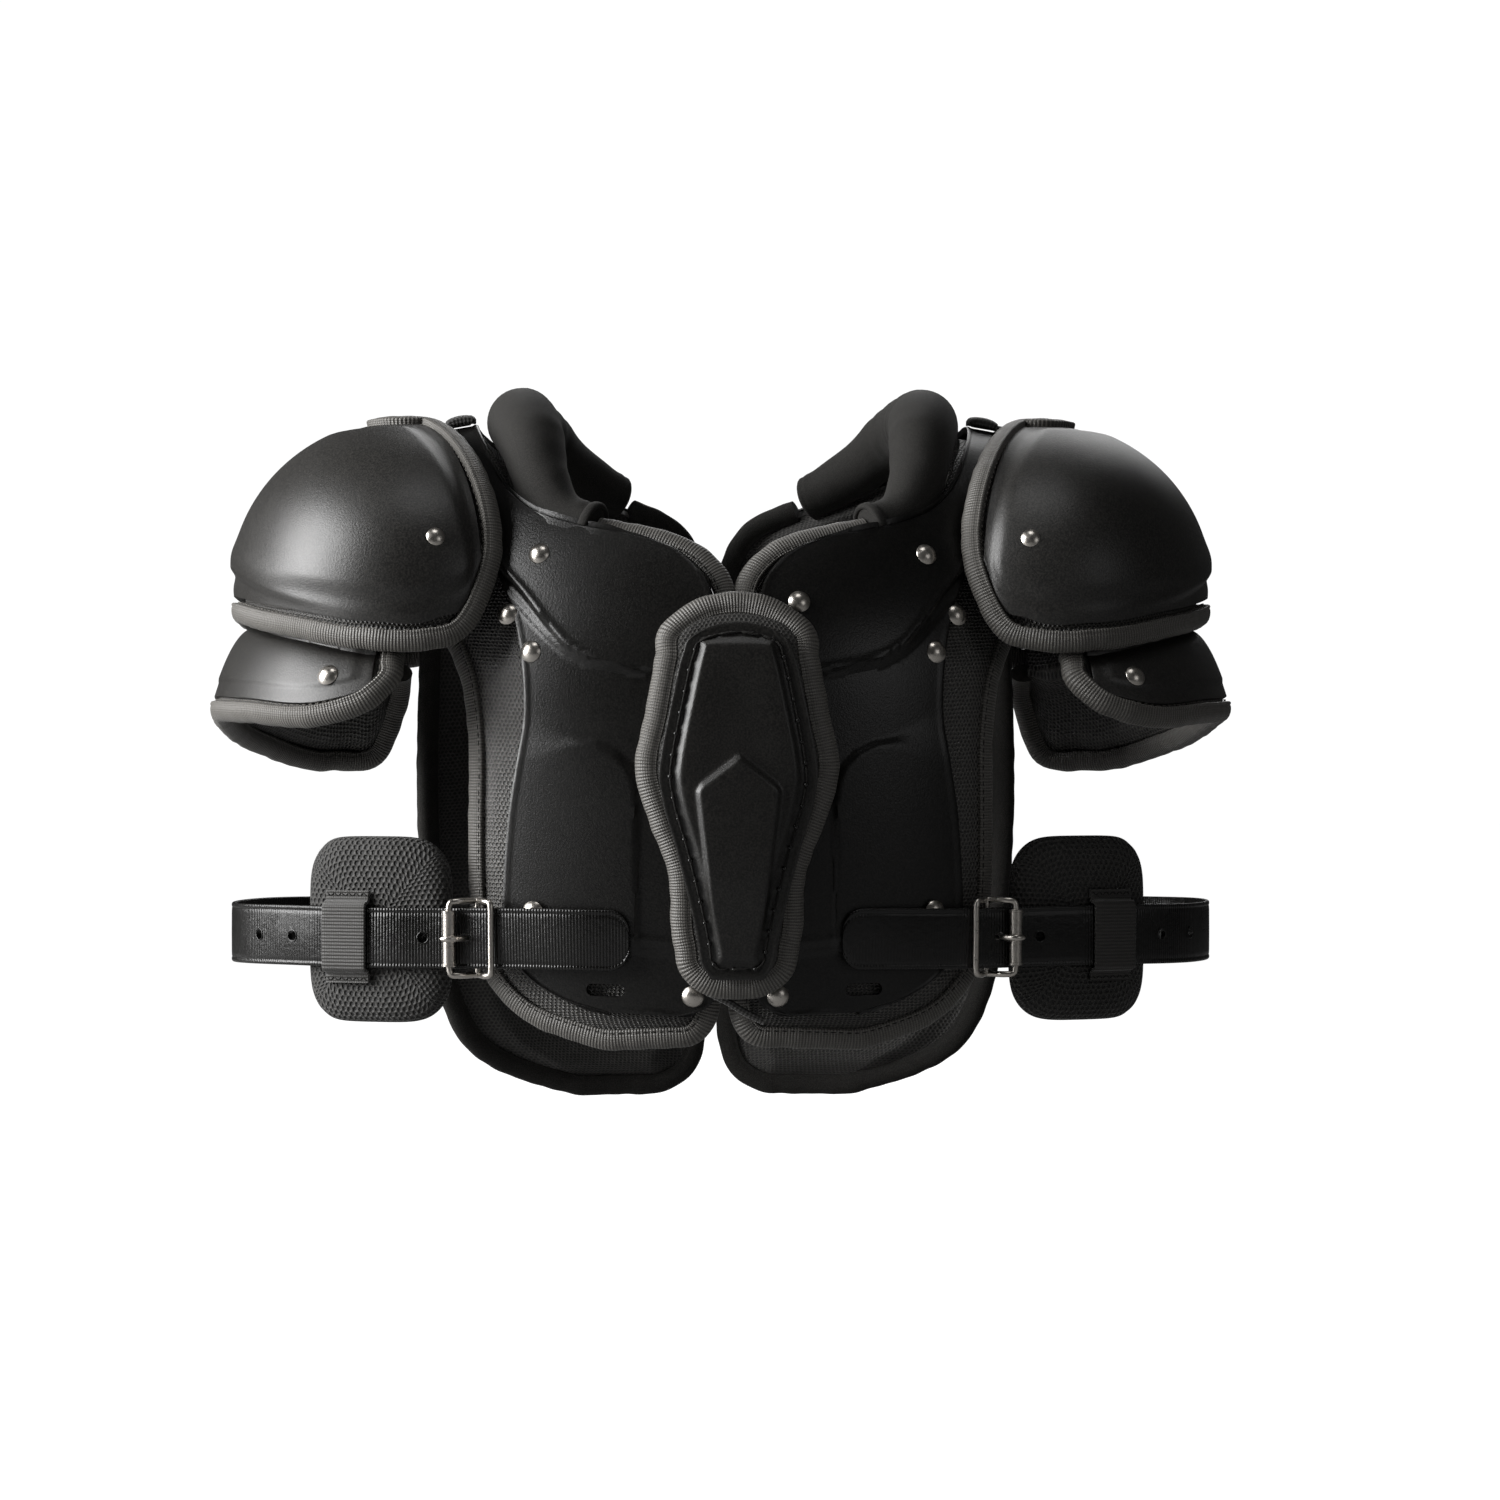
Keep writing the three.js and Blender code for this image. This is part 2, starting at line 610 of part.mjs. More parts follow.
const BACK_PAD_ROWS = [
  { neck: 8, outAcross: 1.27, outAlong: 0.008, split: 0 },
  { neck: 9, outAcross: 1.27, outAlong: 0.045, split: 0 },
  { neck: 10, outAcross: 1.27, outAlong: 0.1, split: 0 },
  { neck: 11, outAcross: 1.26, outAlong: 0.16, split: 0 },
  { neck: 12, outAcross: 1.24, outAlong: 0.22, split: 0 },
  { neck: 13, outAcross: 1.22, outAlong: 0.28, split: 0 },
  { neck: 14, outAcross: 1.2, outAlong: 0.34, split: 0 },
  { neck: 15, outAcross: 1.18, outAlong: 0.42, split: 0 },
  { half: 1, inAcross: 0.08, inDown: 0.36, outAcross: 1.2, outDown: 0.42, split: 0 },
  { half: 1, inAcross: 0.08, inDown: 0.58, outAcross: 1.19, outDown: 0.6, split: 0 },
  { half: 1, inAcross: 0.08, inDown: 0.76, outAcross: 1.14, outDown: 0.77, split: 0 },
  { half: 1, inAcross: 0.09, inDown: 0.9, outAcross: 1.02, outDown: 0.895, split: 0 },
  { half: 1, inAcross: 0.13, inDown: 0.955, outAcross: 0.84, outDown: 0.945, split: 0 },
  { half: 1, inAcross: 0.24, inDown: 0.98, outAcross: 0.56, outDown: 0.98, split: 0 },
];
const PAD_COLUMNS = 5;
const CROWN_GAP = 0.004;

function padRow(sign, row) {
  const shift = FRONT_SPLIT * row.split * sign;
  const inside = innerEnd(row, row.inAcross * PAD_REACH + shift, 0);
  const outer = row.outAcross * PAD_REACH;
  const atCrown = row.neck === 8 ? Math.sign(row.outAlong) * CROWN_GAP : 0;
  return {
    inner: inside.across,
    outer,
    alongIn: inside.along + atCrown,
    alongOut: rowEnd(row, outer, row.outAlong, row.outDown),
  };
}

const hemRow = (table) => (table === FRONT_PAD_ROWS ? 0 : table.length - 1);

// A body pad is full in the middle and thinner where its edging takes hold
function bodyPad(sign, table) {
  const rows = table.map((row) => padRow(sign, row));
  const grid = (face) => rows.map((row, r) => {
    const points = [];
    for (let c = 0; c < PAD_COLUMNS; c++) {
      const t = c / (PAD_COLUMNS - 1);
      const edge = c === 0 || c === PAD_COLUMNS - 1 || r === hemRow(table);
      const depth = edge ? PAD_EDGE : PAD_THICKNESS;
      const lift = face === "outer" ? -PAD_GAP : -PAD_GAP - depth;
      const seat = formSeat(sign, mix(row.alongIn, row.alongOut, t), mix(row.inner, row.outer, t), lift);
      points.push(seat.point);
    }
    return points;
  });
  return slab(grid("outer"), grid("inner"));
}

// Seats round a pad's free edge, from its neck end round the hem to its arm end
function padRim(sign, table, neckSkip) {
  const rows = table.map((row) => padRow(sign, row));
  const fromCrown = hemRow(table) === 0 ? [...rows].reverse() : rows;
  const hem = fromCrown[fromCrown.length - 1];
  const lift = -PAD_GAP - PAD_EDGE / 2;
  const rim = [];
  for (const row of fromCrown.slice(neckSkip)) rim.push(formSeat(sign, row.alongIn, row.inner, lift));
  for (let c = 1; c < PAD_COLUMNS - 1; c++) {
    const t = c / (PAD_COLUMNS - 1);
    rim.push(formSeat(sign, mix(hem.alongIn, hem.alongOut, t), mix(hem.inner, hem.outer, t), lift));
  }
  for (const row of [...fromCrown].reverse()) rim.push(formSeat(sign, row.alongOut, row.outer, lift));
  return rim;
}

// An edging that follows a rim of points with outward directions, its near face a reach away
function rimEdging(rim, width, thickness, closed, reach = width / 2 + CLEARANCE) {
  const count = rim.length;
  const middle = new THREE.Vector3();
  for (const seat of rim) middle.addScaledVector(seat.point, 1 / count);
  const stations = rim.map((seat, k) => {
    const before = closed ? rim[(k + count - 1) % count] : rim[Math.max(0, k - 1)];
    const after = closed ? rim[(k + 1) % count] : rim[Math.min(count - 1, k + 1)];
    const sides = [];
    if (before !== seat) sides.push(seat.point.clone().sub(before.point).cross(seat.out).normalize());
    if (after !== seat) sides.push(after.point.clone().sub(seat.point).cross(seat.out).normalize());
    const side = sides.reduce((sum, one) => sum.add(one), new THREE.Vector3()).normalize();
    const stretch = 1 / Math.max(0.6, side.dot(sides[0].clone().normalize()));
    return { point: seat.point.clone(), side, stretch, out: seat.out.clone() };
  });
  const facing = stations.reduce((sum, one) => sum + one.point.clone().sub(middle).dot(one.side), 0);
  const turn = facing > 0 ? 1 : -1;
  const rings = stations.map((station) => {
    const centre = turn * reach;
    const ring = [];
    for (let k = 0; k < BINDING_SIDES; k++) {
      const angle = ((k + 0.5) / BINDING_SIDES) * Math.PI * 2;
      ring.push(station.point.clone()
        .addScaledVector(station.side, (centre + (Math.cos(angle) * width) / 2) * station.stretch)
        .addScaledVector(station.out, (Math.sin(angle) * thickness) / 2));
    }
    return ring;
  });
  return ringSolid(rings, closed);
}

const BINDING_SIDES = 5;
const FRONT_NECK_SKIP = 8 - NECK_CUFF;
const BACK_NECK_SKIP = NECK_BACK - 8;

function padBinding(sign, table, neckSkip) {
  return rimEdging(padRim(sign, table, neckSkip), BINDING_WIDTH, BINDING_THICKNESS, false);
}

// Collar roll

// Thickness of the roll at neckline stations, as a share between the cuff's and the top's radius
const ROLL_ROWS = [
  { station: 3.07, size: 0, tip: 0.65 },
  { station: 3.14, size: 0.05, tip: 1 },
  { station: 3.7, size: 0.15, tip: 1 },
  { station: 4.5, size: 0.45, tip: 1 },
  { station: 5.5, size: 0.8, tip: 1 },
  { station: 6.5, size: 1, tip: 1 },
  { station: 7.5, size: 1, tip: 1 },
  { station: 8.5, size: 1, tip: 1 },
  { station: 9.5, size: 0.9, tip: 1 },
  { station: 10.5, size: 0.7, tip: 1 },
  { station: 11.5, size: 0.45, tip: 1 },
  { station: 12.5, size: 0.2, tip: 1 },
  { station: 12.8, size: 0.1, tip: 0.6 },
];
const ROLL_SIDES = 7;

function neckSeat(sign, station, lift) {
  const k = Math.min(NECK.length - 2, Math.floor(station));
  const along = mix(NECK[k].along, NECK[k + 1].along, station - k);
  const across = mix(NECK[k].across, NECK[k + 1].across, station - k) * NECK_HALF_WIDTH;
  return formSeat(sign, along, across, lift);
}

function neckRoll(sign) {
  const rings = ROLL_ROWS.map((row) => {
    const radius = mix(ROLL_CUFF_RADIUS, ROLL_TOP_RADIUS, row.size);
    const seat = neckSeat(sign, row.station, mix(0, ROLL_RISE, row.size));
    const ahead = neckSeat(sign, row.station + 0.1, 0).point;
    const behind = neckSeat(sign, row.station - 0.1, 0).point;
    const run = ahead.sub(behind).normalize();
    const side = new THREE.Vector3().crossVectors(run, seat.out).normalize();
    if (side.x * sign > 0) side.negate();
    const out = new THREE.Vector3().crossVectors(side, run).normalize();
    seat.point.addScaledVector(side, radius + CLEARANCE + ROLL_STAND_OFF);
    const ring = [];
    for (let k = 0; k < ROLL_SIDES; k++) {
      const turn = ((k + 0.5) / ROLL_SIDES) * Math.PI * 2;
      ring.push(seat.point.clone()
        .addScaledVector(side, Math.cos(turn) * radius * row.tip)
        .addScaledVector(out, Math.sin(turn) * radius * row.tip));
    }
    return ring;
  });
  return ringSolid(rings, false);
}

// Shoulder cap

// Hem of the cap round the arm: angle from the side of the arm as a share of the cap's half angle,
// depth of the hem below the cap's widest line as a share of its largest
const CAP_HEM = [
  { angle: -1, drop: -0.55 },
  { angle: -0.96, drop: 0.3 },
  { angle: -0.86, drop: 0.85 },
  { angle: -0.7, drop: 1 },
  { angle: -0.4, drop: 0.75 },
  { angle: 0, drop: 0.35 },
  { angle: 0.4, drop: 0.6 },
  { angle: 0.7, drop: 0.85 },
  { angle: 0.86, drop: 0.8 },
  { angle: 0.96, drop: 0.3 },
  { angle: 1, drop: -0.55 },
];

// Point of the cap at an angle round the arm, from 0 at the arm's side to 90 at the front, and at
// a height angle from 0 at the widest line to 90 at the top
function capPoint(sign, angle, rise, inset) {
  const a = degrees(angle);
  const r = degrees(rise);
  const across = (Math.cos(a) > 0 ? CAP_SIDE_RADIUS : CAP_NECK_RADIUS) - inset;
  const x = CAP_CENTRE_X + across * Math.cos(a) * Math.cos(r);
  const y = -(CAP_LENGTH_RADIUS - inset) * Math.sin(a) * Math.cos(r);
  return new THREE.Vector3(sign * x, y, CAP_CENTRE_Z + (CAP_HEIGHT - inset) * Math.sin(r));
}

// Below the widest line the cap hangs as a plain skirt
function capSkirt(sign, angle, depth, inset) {
  const point = capPoint(sign, angle, 0, inset);
  point.z -= depth;
  return point;
}

function capHemDepth(angle) {
  return tableAt(CAP_HEM, "angle", "drop", angle / CAP_HALF_ANGLE) * CAP_HEM_DROP;
}

// A row position runs from 0 at the hem to 1 at the notch on top
function capAt(sign, angle, share, inset, topAngle) {
  const hem = capHemDepth(angle);
  const start = hem > 0 ? 0 : (Math.asin(-hem / CAP_HEIGHT) * 180) / Math.PI;
  const skirt = 0.2;
  if (share < skirt && hem > 0) return capSkirt(sign, angle, hem * (1 - share / skirt), inset);
  const climb = hem > 0 ? (share - skirt) / (1 - skirt) : share;
  return capPoint(sign, angle, mix(start, topAngle, climb), inset);
}

const CAP_ROWS = [0, 0.13, 0.2, 0.4, 0.6, 0.8, 1];
const CAP_LIP_ROWS = 2;
const CAP_ANGLES = [-1, -0.95, -0.84, -0.65, -0.44, -0.22, 0, 0.22, 0.44, 0.65, 0.84, 0.95, 1];

function capGrid(sign, inset, topAngle, rows, lip) {
  return rows.map((share, r) => CAP_ANGLES.map((angle) => {
    const sunk = r < CAP_LIP_ROWS ? inset + lip : inset;
    return capAt(sign, angle * CAP_HALF_ANGLE, share, sunk, topAngle);
  }));
}

function capShell(sign) {
  const outer = capGrid(sign, 0, CAP_NOTCH_ANGLE, CAP_ROWS, CAP_LIP);
  const inner = capGrid(sign, CAP_WALL, CAP_NOTCH_ANGLE, CAP_ROWS, CAP_LIP);
  return slab(outer, inner);
}

const LINING_FIRST_ROW = 2;
const LINING_LAST_ROW = 5;

function capLining(sign) {
  const rows = CAP_ROWS.slice(LINING_FIRST_ROW, LINING_LAST_ROW);
  const grid = (inset) => rows.map((share) => CAP_ANGLES.slice(1, -1).map(
    (angle) => capAt(sign, angle * CAP_HALF_ANGLE, share, inset, CAP_NOTCH_ANGLE)));
  const outerInset = CAP_WALL + CLEARANCE;
  return slab(grid(outerInset), grid(outerInset + CAP_LINING));
}

function capBinding(sign) {
  const seats = [];
  const centre = new THREE.Vector3(sign * CAP_CENTRE_X, 0, CAP_CENTRE_Z);
  const add = (angle, share) => {
    const lip = share < CAP_ROWS[CAP_LIP_ROWS] ? CAP_LIP : 0;
    const point = capAt(sign, angle * CAP_HALF_ANGLE, share, CAP_WALL / 2 + lip, CAP_NOTCH_ANGLE);
    const out = point.clone().sub(centre);
    out.z = Math.max(0, out.z);
    seats.push({ point, out: out.normalize() });
  };
  for (const angle of CAP_ANGLES) add(angle, 0);
  for (const share of CAP_ROWS.slice(1, -1)) add(1, share);
  for (const angle of [...CAP_ANGLES].reverse()) add(angle, 1);
  for (const share of CAP_ROWS.slice(1, -1).reverse()) add(-1, share);
  return rimEdging(seats, CAP_BINDING_WIDTH, CAP_BINDING_THICKNESS, true);
}

function capSeat(sign, angle, share) {
  const at = (a, s) => capAt(sign, a, s, 0, CAP_NOTCH_ANGLE);
  const up = at(angle, share + 0.02).sub(at(angle, share - 0.02)).normalize();
  const side = at(angle + 1, share).sub(at(angle - 1, share)).normalize();
  const out = new THREE.Vector3().crossVectors(side, up).normalize();
  const point = at(angle, share);
  const centre = new THREE.Vector3(sign * CAP_CENTRE_X, 0, CAP_CENTRE_Z);
  if (out.dot(point.clone().sub(centre)) < 0) out.negate();
  return { point, up, side: new THREE.Vector3().crossVectors(up, out), out };
}

const CAP_RIVET_ANGLE = 99;
const CAP_RIVET_SHARE = 0.34;

// Epaulet

// Lower edge of the epaulet round the arm, as shares of its half angle and of its length, with the
// rear end longer by a share of the extra length
const EPAULET_HEM = [
  { angle: -1, drop: 0.5, extra: 0.6 },
  { angle: -0.94, drop: 0.85, extra: 1 },
  { angle: -0.8, drop: 1, extra: 1 },
  { angle: -0.4, drop: 1, extra: 0.7 },
  { angle: 0, drop: 1, extra: 0.1 },
  { angle: 0.4, drop: 1, extra: 0 },
  { angle: 0.8, drop: 0.95, extra: 0 },
  { angle: 0.94, drop: 0.78, extra: 0 },
  { angle: 1, drop: 0.62, extra: 0 },
];

// Share 0 is the hem and 1 the top edge, which is tucked under the cap from the tuck share up
const TUCK_SHARE = 0.75;

function epauletAt(sign, angle, share, inset) {
  const place = angle / EPAULET_HALF_ANGLE;
  const hem = capHemDepth(angle);
  const top = hem - EPAULET_TUCK;
  const length = tableAt(EPAULET_HEM, "angle", "drop", place) * EPAULET_LENGTH
    + tableAt(EPAULET_HEM, "angle", "extra", place) * EPAULET_REAR_EXTRA;
  const bottom = Math.max(hem, 0) * 0.35 + 6 + length;
  const tucked = CAP_WALL / 2 + CAP_LIP + CAP_BINDING_THICKNESS / 2 + EPAULET_TUCK_ROOM;
  const clear = CAP_BINDING_WIDTH + 2;
  const depth = share > TUCK_SHARE
    ? mix(hem + clear, top, (share - TUCK_SHARE) / (1 - TUCK_SHARE))
    : mix(bottom, hem + clear, share / TUCK_SHARE);
  const below = clamp01((depth - hem - clear) / (EPAULET_LENGTH - clear));
  const out = mix(-tucked, EPAULET_FLARE, Math.sqrt(below));
  return capSkirt(sign, angle, depth, inset - out);
}

const EPAULET_ROWS = [0, 0.25, 0.5, TUCK_SHARE, 1];
const EPAULET_ANGLES = [-1, -0.95, -0.83, -0.6, -0.36, -0.12, 0.12, 0.36, 0.6, 0.83, 0.95, 1];

function epauletSheet(sign, fromInset, toInset) {
  const grid = (inset) => EPAULET_ROWS.map((share) => EPAULET_ANGLES.map(
    (angle) => epauletAt(sign, angle * EPAULET_HALF_ANGLE, share, inset)));
  return slab(grid(fromInset), grid(toInset));
}

function epauletBinding(sign) {
  const inset = (EPAULET_WALL + EPAULET_LINING) / 2;
  const seats = [];
  const add = (angle, share) => {
    const point = epauletAt(sign, angle * EPAULET_HALF_ANGLE, share, inset);
    const centre = new THREE.Vector3(sign * CAP_CENTRE_X, 0, point.z);
    seats.push({ point, out: point.clone().sub(centre).normalize() });
  };
  const sideRows = EPAULET_ROWS.slice(1, -1);
  for (const share of [...sideRows].reverse()) add(-1, share);
  for (const angle of EPAULET_ANGLES) add(angle, 0);
  for (const share of sideRows) add(1, share);
  return rimEdging(seats, CAP_BINDING_WIDTH, EPAULET_WALL + EPAULET_LINING - CLEARANCE, false);
}

function epauletSeat(sign, angle, share) {
  const up = epauletAt(sign, angle, share + 0.02, 0).sub(epauletAt(sign, angle, share - 0.02, 0)).normalize();
  const side = epauletAt(sign, angle + 1, share, 0).sub(epauletAt(sign, angle - 1, share, 0)).normalize();
  const out = new THREE.Vector3().crossVectors(side, up).normalize();
  const point = epauletAt(sign, angle, share, 0);
  if (out.dot(point.clone().sub(new THREE.Vector3(sign * CAP_CENTRE_X, 0, point.z))) < 0) out.negate();
  return { point, up, side: new THREE.Vector3().crossVectors(up, out), out };
}

const EPAULET_RIVET_ANGLE = 66;
const EPAULET_RIVET_SHARE = 0.42;

// Webbing tab on top of the arch, level with the cap's middle
const HANGER_ALONG = -0.035;

function capHanger(sign) {
  const start = NECK_HALF_WIDTH + NECK_MARGIN + 2;
  const steps = 4;
  const edges = [-0.5, 0.5];
  const grid = (lift) => {
    const rows = [];
    for (let i = 0; i <= steps; i++) {
      const across = mix(start, start + HANGER_LENGTH, i / steps);
      rows.push(edges.map((edge) => {
        const seat = formSeat(sign, HANGER_ALONG, Math.min(across, PLATE_CROWN_REACH), PLATE_WALL + lift);
        const past = Math.max(0, across - PLATE_CROWN_REACH);
        return seat.point.addScaledVector(seat.up, edge * HANGER_WIDTH).addScaledVector(seat.side, past);
      }));
    }
    return rows;
  };
  return slab(grid(CLEARANCE + HANGER_THICKNESS), grid(CLEARANCE));
}

// Belt

const TAB_LIFT = PLATE_WALL + HEM_RAISE + CLEARANCE;
const BELT_LIFT = TAB_LIFT + TAB_THICKNESS + CLEARANCE + RIVET_RISE + 3 * CLEARANCE;
const BELT_END_LIFT = TAB_LIFT + 1.2;
const BELT_BACK_LIFT = PLATE_WALL + CLEARANCE + 1;

// Plan view of the belt past the plates, as shares of its own reach to the side and of the chest
// or back depth
const BELT_SIDE_REACH = 208;
const BELT_ROUTE = [
  { side: 0.56, chest: 0.76, back: 0 },
  { side: 0.69, chest: 0.69, back: 0 },
  { side: 0.82, chest: 0.57, back: 0 },
  { side: 0.93, chest: 0.39, back: 0 },
  { side: 0.99, chest: 0.16, back: 0 },
  { side: 0.99, chest: 0, back: 0.12 },
  { side: 0.92, chest: 0, back: 0.42 },
  { side: 0.79, chest: 0, back: 0.66 },
  { side: 0.64, chest: 0, back: 0.81 },
];
const BELT_FREE_END = 42;
const BELT_STEPS = 25;
const BACK_ANCHOR = 64;
const BACK_OVERLAP = 24;

function beltRoute(sign) {
  const points = [];
  const onForm = (half, across, lift) => {
    const seat = formSeat(sign, alongAtHeight(BELT_HEIGHT, across, half), across, lift);
    points.push(new THREE.Vector3(seat.point.x, seat.point.y, BELT_HEIGHT));
  };
  onForm(-1, BELT_FREE_END, BELT_END_LIFT);
  onForm(-1, mix(BELT_FREE_END, PLATE_REACH, 0.4), mix(BELT_END_LIFT, BELT_LIFT, 0.7));
  onForm(-1, mix(BELT_FREE_END, PLATE_REACH, 0.85), BELT_LIFT);
  for (const row of BELT_ROUTE) {
    const depth = row.back * BACK_DEPTH - row.chest * CHEST_DEPTH;
    points.push(new THREE.Vector3(sign * row.side * BELT_SIDE_REACH, depth, BELT_HEIGHT));
  }
  onForm(1, BACK_ANCHOR, BELT_BACK_LIFT);
  onForm(1, BACK_ANCHOR - BACK_OVERLAP, BELT_BACK_LIFT);
  return new THREE.CatmullRomCurve3(points, false, "centripetal");
}

// Stations along the belt: a point on its inner face, its run, its upward and outward directions
function beltStation(sign, share) {
  const curve = beltRoute(sign);
  const point = curve.getPointAt(share);
  const run = curve.getTangentAt(share);
  const lean = formFrame(alongAtHeight(BELT_HEIGHT, Math.min(Math.abs(point.x), PLATE_REACH), point.y < 0 ? -1 : 1),
    Math.min(Math.abs(point.x), PLATE_REACH)).up;
  const onPlate = 1 - clamp01((Math.abs(point.x) - PLATE_REACH) / 20);
  const rise = new THREE.Vector3(sign * lean.x, lean.y, lean.z).multiplyScalar(point.y < 0 ? 1 : -1);
  const up = new THREE.Vector3(0, 0, 1).lerp(rise, onPlate).normalize();
  const out = new THREE.Vector3().crossVectors(run, up).normalize();
  if (out.dot(new THREE.Vector3(point.x, point.y, 0)) < 0) out.negate();
  return { point, side: run, up: new THREE.Vector3().crossVectors(out, run).multiplyScalar(sign), out };
}

function beltShare(sign, across) {
  const curve = beltRoute(sign);
  let low = 0;
  let high = 0.5;
  for (let k = 0; k < PROFILE_STEPS; k++) {
    const middle = (low + high) / 2;
    if (Math.abs(curve.getPointAt(middle).x) < across) low = middle;
    else high = middle;
  }
  return (low + high) / 2;
}

const BUCKLE_ACROSS = 106;
const BELT_TIP = 8;

function beltStrap(sign) {
  const length = beltRoute(sign).getLength();
  const shares = [0, BELT_TIP * 0.3 / length, BELT_TIP / length];
  for (let i = 1; i <= BELT_STEPS; i++) shares.push(mix(shares[2], 1, i / BELT_STEPS));
  const rings = shares.map((share, i) => {
    const station = beltStation(sign, share);
    const half = (BELT_WIDTH / 2) * (i === 0 ? 0.45 : i === 1 ? 0.82 : 1);
    return [[-half, 0], [half, 0], [half, BELT_THICKNESS], [-half, BELT_THICKNESS]].map(
      ([rise, lift]) => station.point.clone().addScaledVector(station.up, rise).addScaledVector(station.out, lift));
  });
  const buckle = beltShare(sign, BUCKLE_ACROSS);
  const holes = [0.17, 1.1, 3.1, 4.1, 5.1].map((k) => buckle + (k * BELT_HOLE_PITCH) / length);
  const cutters = holes.map((share) => peg(beltStation(sign, share), BELT_HOLE, -BELT_THICKNESS, BELT_THICKNESS * 2, 6));
  return cut(ringSolid(rings, false), cutters);
}

// Buckle: a wire frame whose rails bow behind the strap to the middle bar

function buckleFrameAxes(sign) {
  const station = beltStation(sign, beltShare(sign, BUCKLE_ACROSS));
  const away = station.side.clone();
  if (away.x * sign < 0) away.negate();
  return (along, rise, lift) => station.point.clone()
    .addScaledVector(away, along)
    .addScaledVector(station.up, rise)
    .addScaledVector(station.out, lift);
}

const WIRE_HALF = BUCKLE_WIRE / 2;
const ROLLER_BAR_LIFT = BELT_THICKNESS + 2 * CLEARANCE + ROLLER_DIAMETER / 2;
const PLAIN_BAR_LIFT = BELT_THICKNESS + 2 * CLEARANCE + WIRE_HALF;
const MIDDLE_BAR_LIFT = -CLEARANCE - TAB_THICKNESS - CLEARANCE - WIRE_HALF;
const BUCKLE_HALF = BUCKLE_LENGTH / 2;
const RAIL_RISE = (BUCKLE_HEIGHT - BUCKLE_WIRE) / 2;
const BAR_REACH = ROLLER_LENGTH / 2 + 0.5;

function buckleFrame(sign) {
  const at = buckleFrameAxes(sign);
  const out = at(0, 0, 1).sub(at(0, 0, 0)).normalize();
  const half = [
    [BUCKLE_HALF, BAR_REACH, ROLLER_BAR_LIFT],
    [BUCKLE_HALF * 0.75, RAIL_RISE, ROLLER_BAR_LIFT * 0.75],
    [0, RAIL_RISE, MIDDLE_BAR_LIFT],
    [-BUCKLE_HALF * 0.75, RAIL_RISE, PLAIN_BAR_LIFT * 0.75],
    [-BUCKLE_HALF, BAR_REACH, PLAIN_BAR_LIFT],
  ];
  const other = [...half].reverse().map(([along, rise, lift]) => [along, -rise, lift]);
  const loop = [...half, ...other].map(([along, rise, lift]) => ({ point: at(along, rise, lift), out }));
  const ring = toSolid(rimEdging(loop, BUCKLE_WIRE, BUCKLE_WIRE, true, 0));
  const bar = toSolid(wire([-RAIL_RISE, 0, RAIL_RISE].map((rise) => at(0, rise, MIDDLE_BAR_LIFT)), BUCKLE_WIRE, 2, 6, false));
  return fromSolid(ring.add(bar));
}

function buckleRoller(sign) {
  const at = buckleFrameAxes(sign);
  const sides = 8;
  const ring = (radius, rise) => {
    const points = [];
    for (let k = 0; k < sides; k++) {
      const turn = (k / sides) * Math.PI * 2;
      points.push(at(BUCKLE_HALF + Math.cos(turn) * radius, rise, ROLLER_BAR_LIFT + Math.sin(turn) * radius));
    }
    return points;
  };
  const bore = WIRE_HALF + CLEARANCE;
  const end = ROLLER_LENGTH / 2 - 1;
  const outside = ROLLER_DIAMETER / 2;
  return ringSolid([ring(outside, -end), ring(outside, end), ring(bore, end), ring(bore, -end)], true);
}

const PRONG_SLOT_REACH = 4.6;
const PRONG_TURN = WIRE_HALF + CLEARANCE + PRONG_WIRE / 2;

function buckleProng(sign) {
  const at = buckleFrameAxes(sign);
  const hook = [170, 230, 290, 350].map((angle) => at(
    Math.cos(degrees(angle)) * PRONG_TURN, 0, MIDDLE_BAR_LIFT + Math.sin(degrees(angle)) * PRONG_TURN));
  const over = ROLLER_BAR_LIFT + ROLLER_DIAMETER / 2 + PRONG_WIRE / 2 + CLEARANCE;
  return wire([
    ...hook,
    at(PRONG_TURN + 0.7, 0, BELT_THICKNESS / 2),
    at(BUCKLE_HALF * 0.48, 0, BELT_THICKNESS + PRONG_WIRE * 2),
    at(BUCKLE_HALF * 0.8, 0, over + 0.1),
    at(BUCKLE_HALF * 1.2, 0, over),
  ], PRONG_WIRE, 8, 4, false);
}

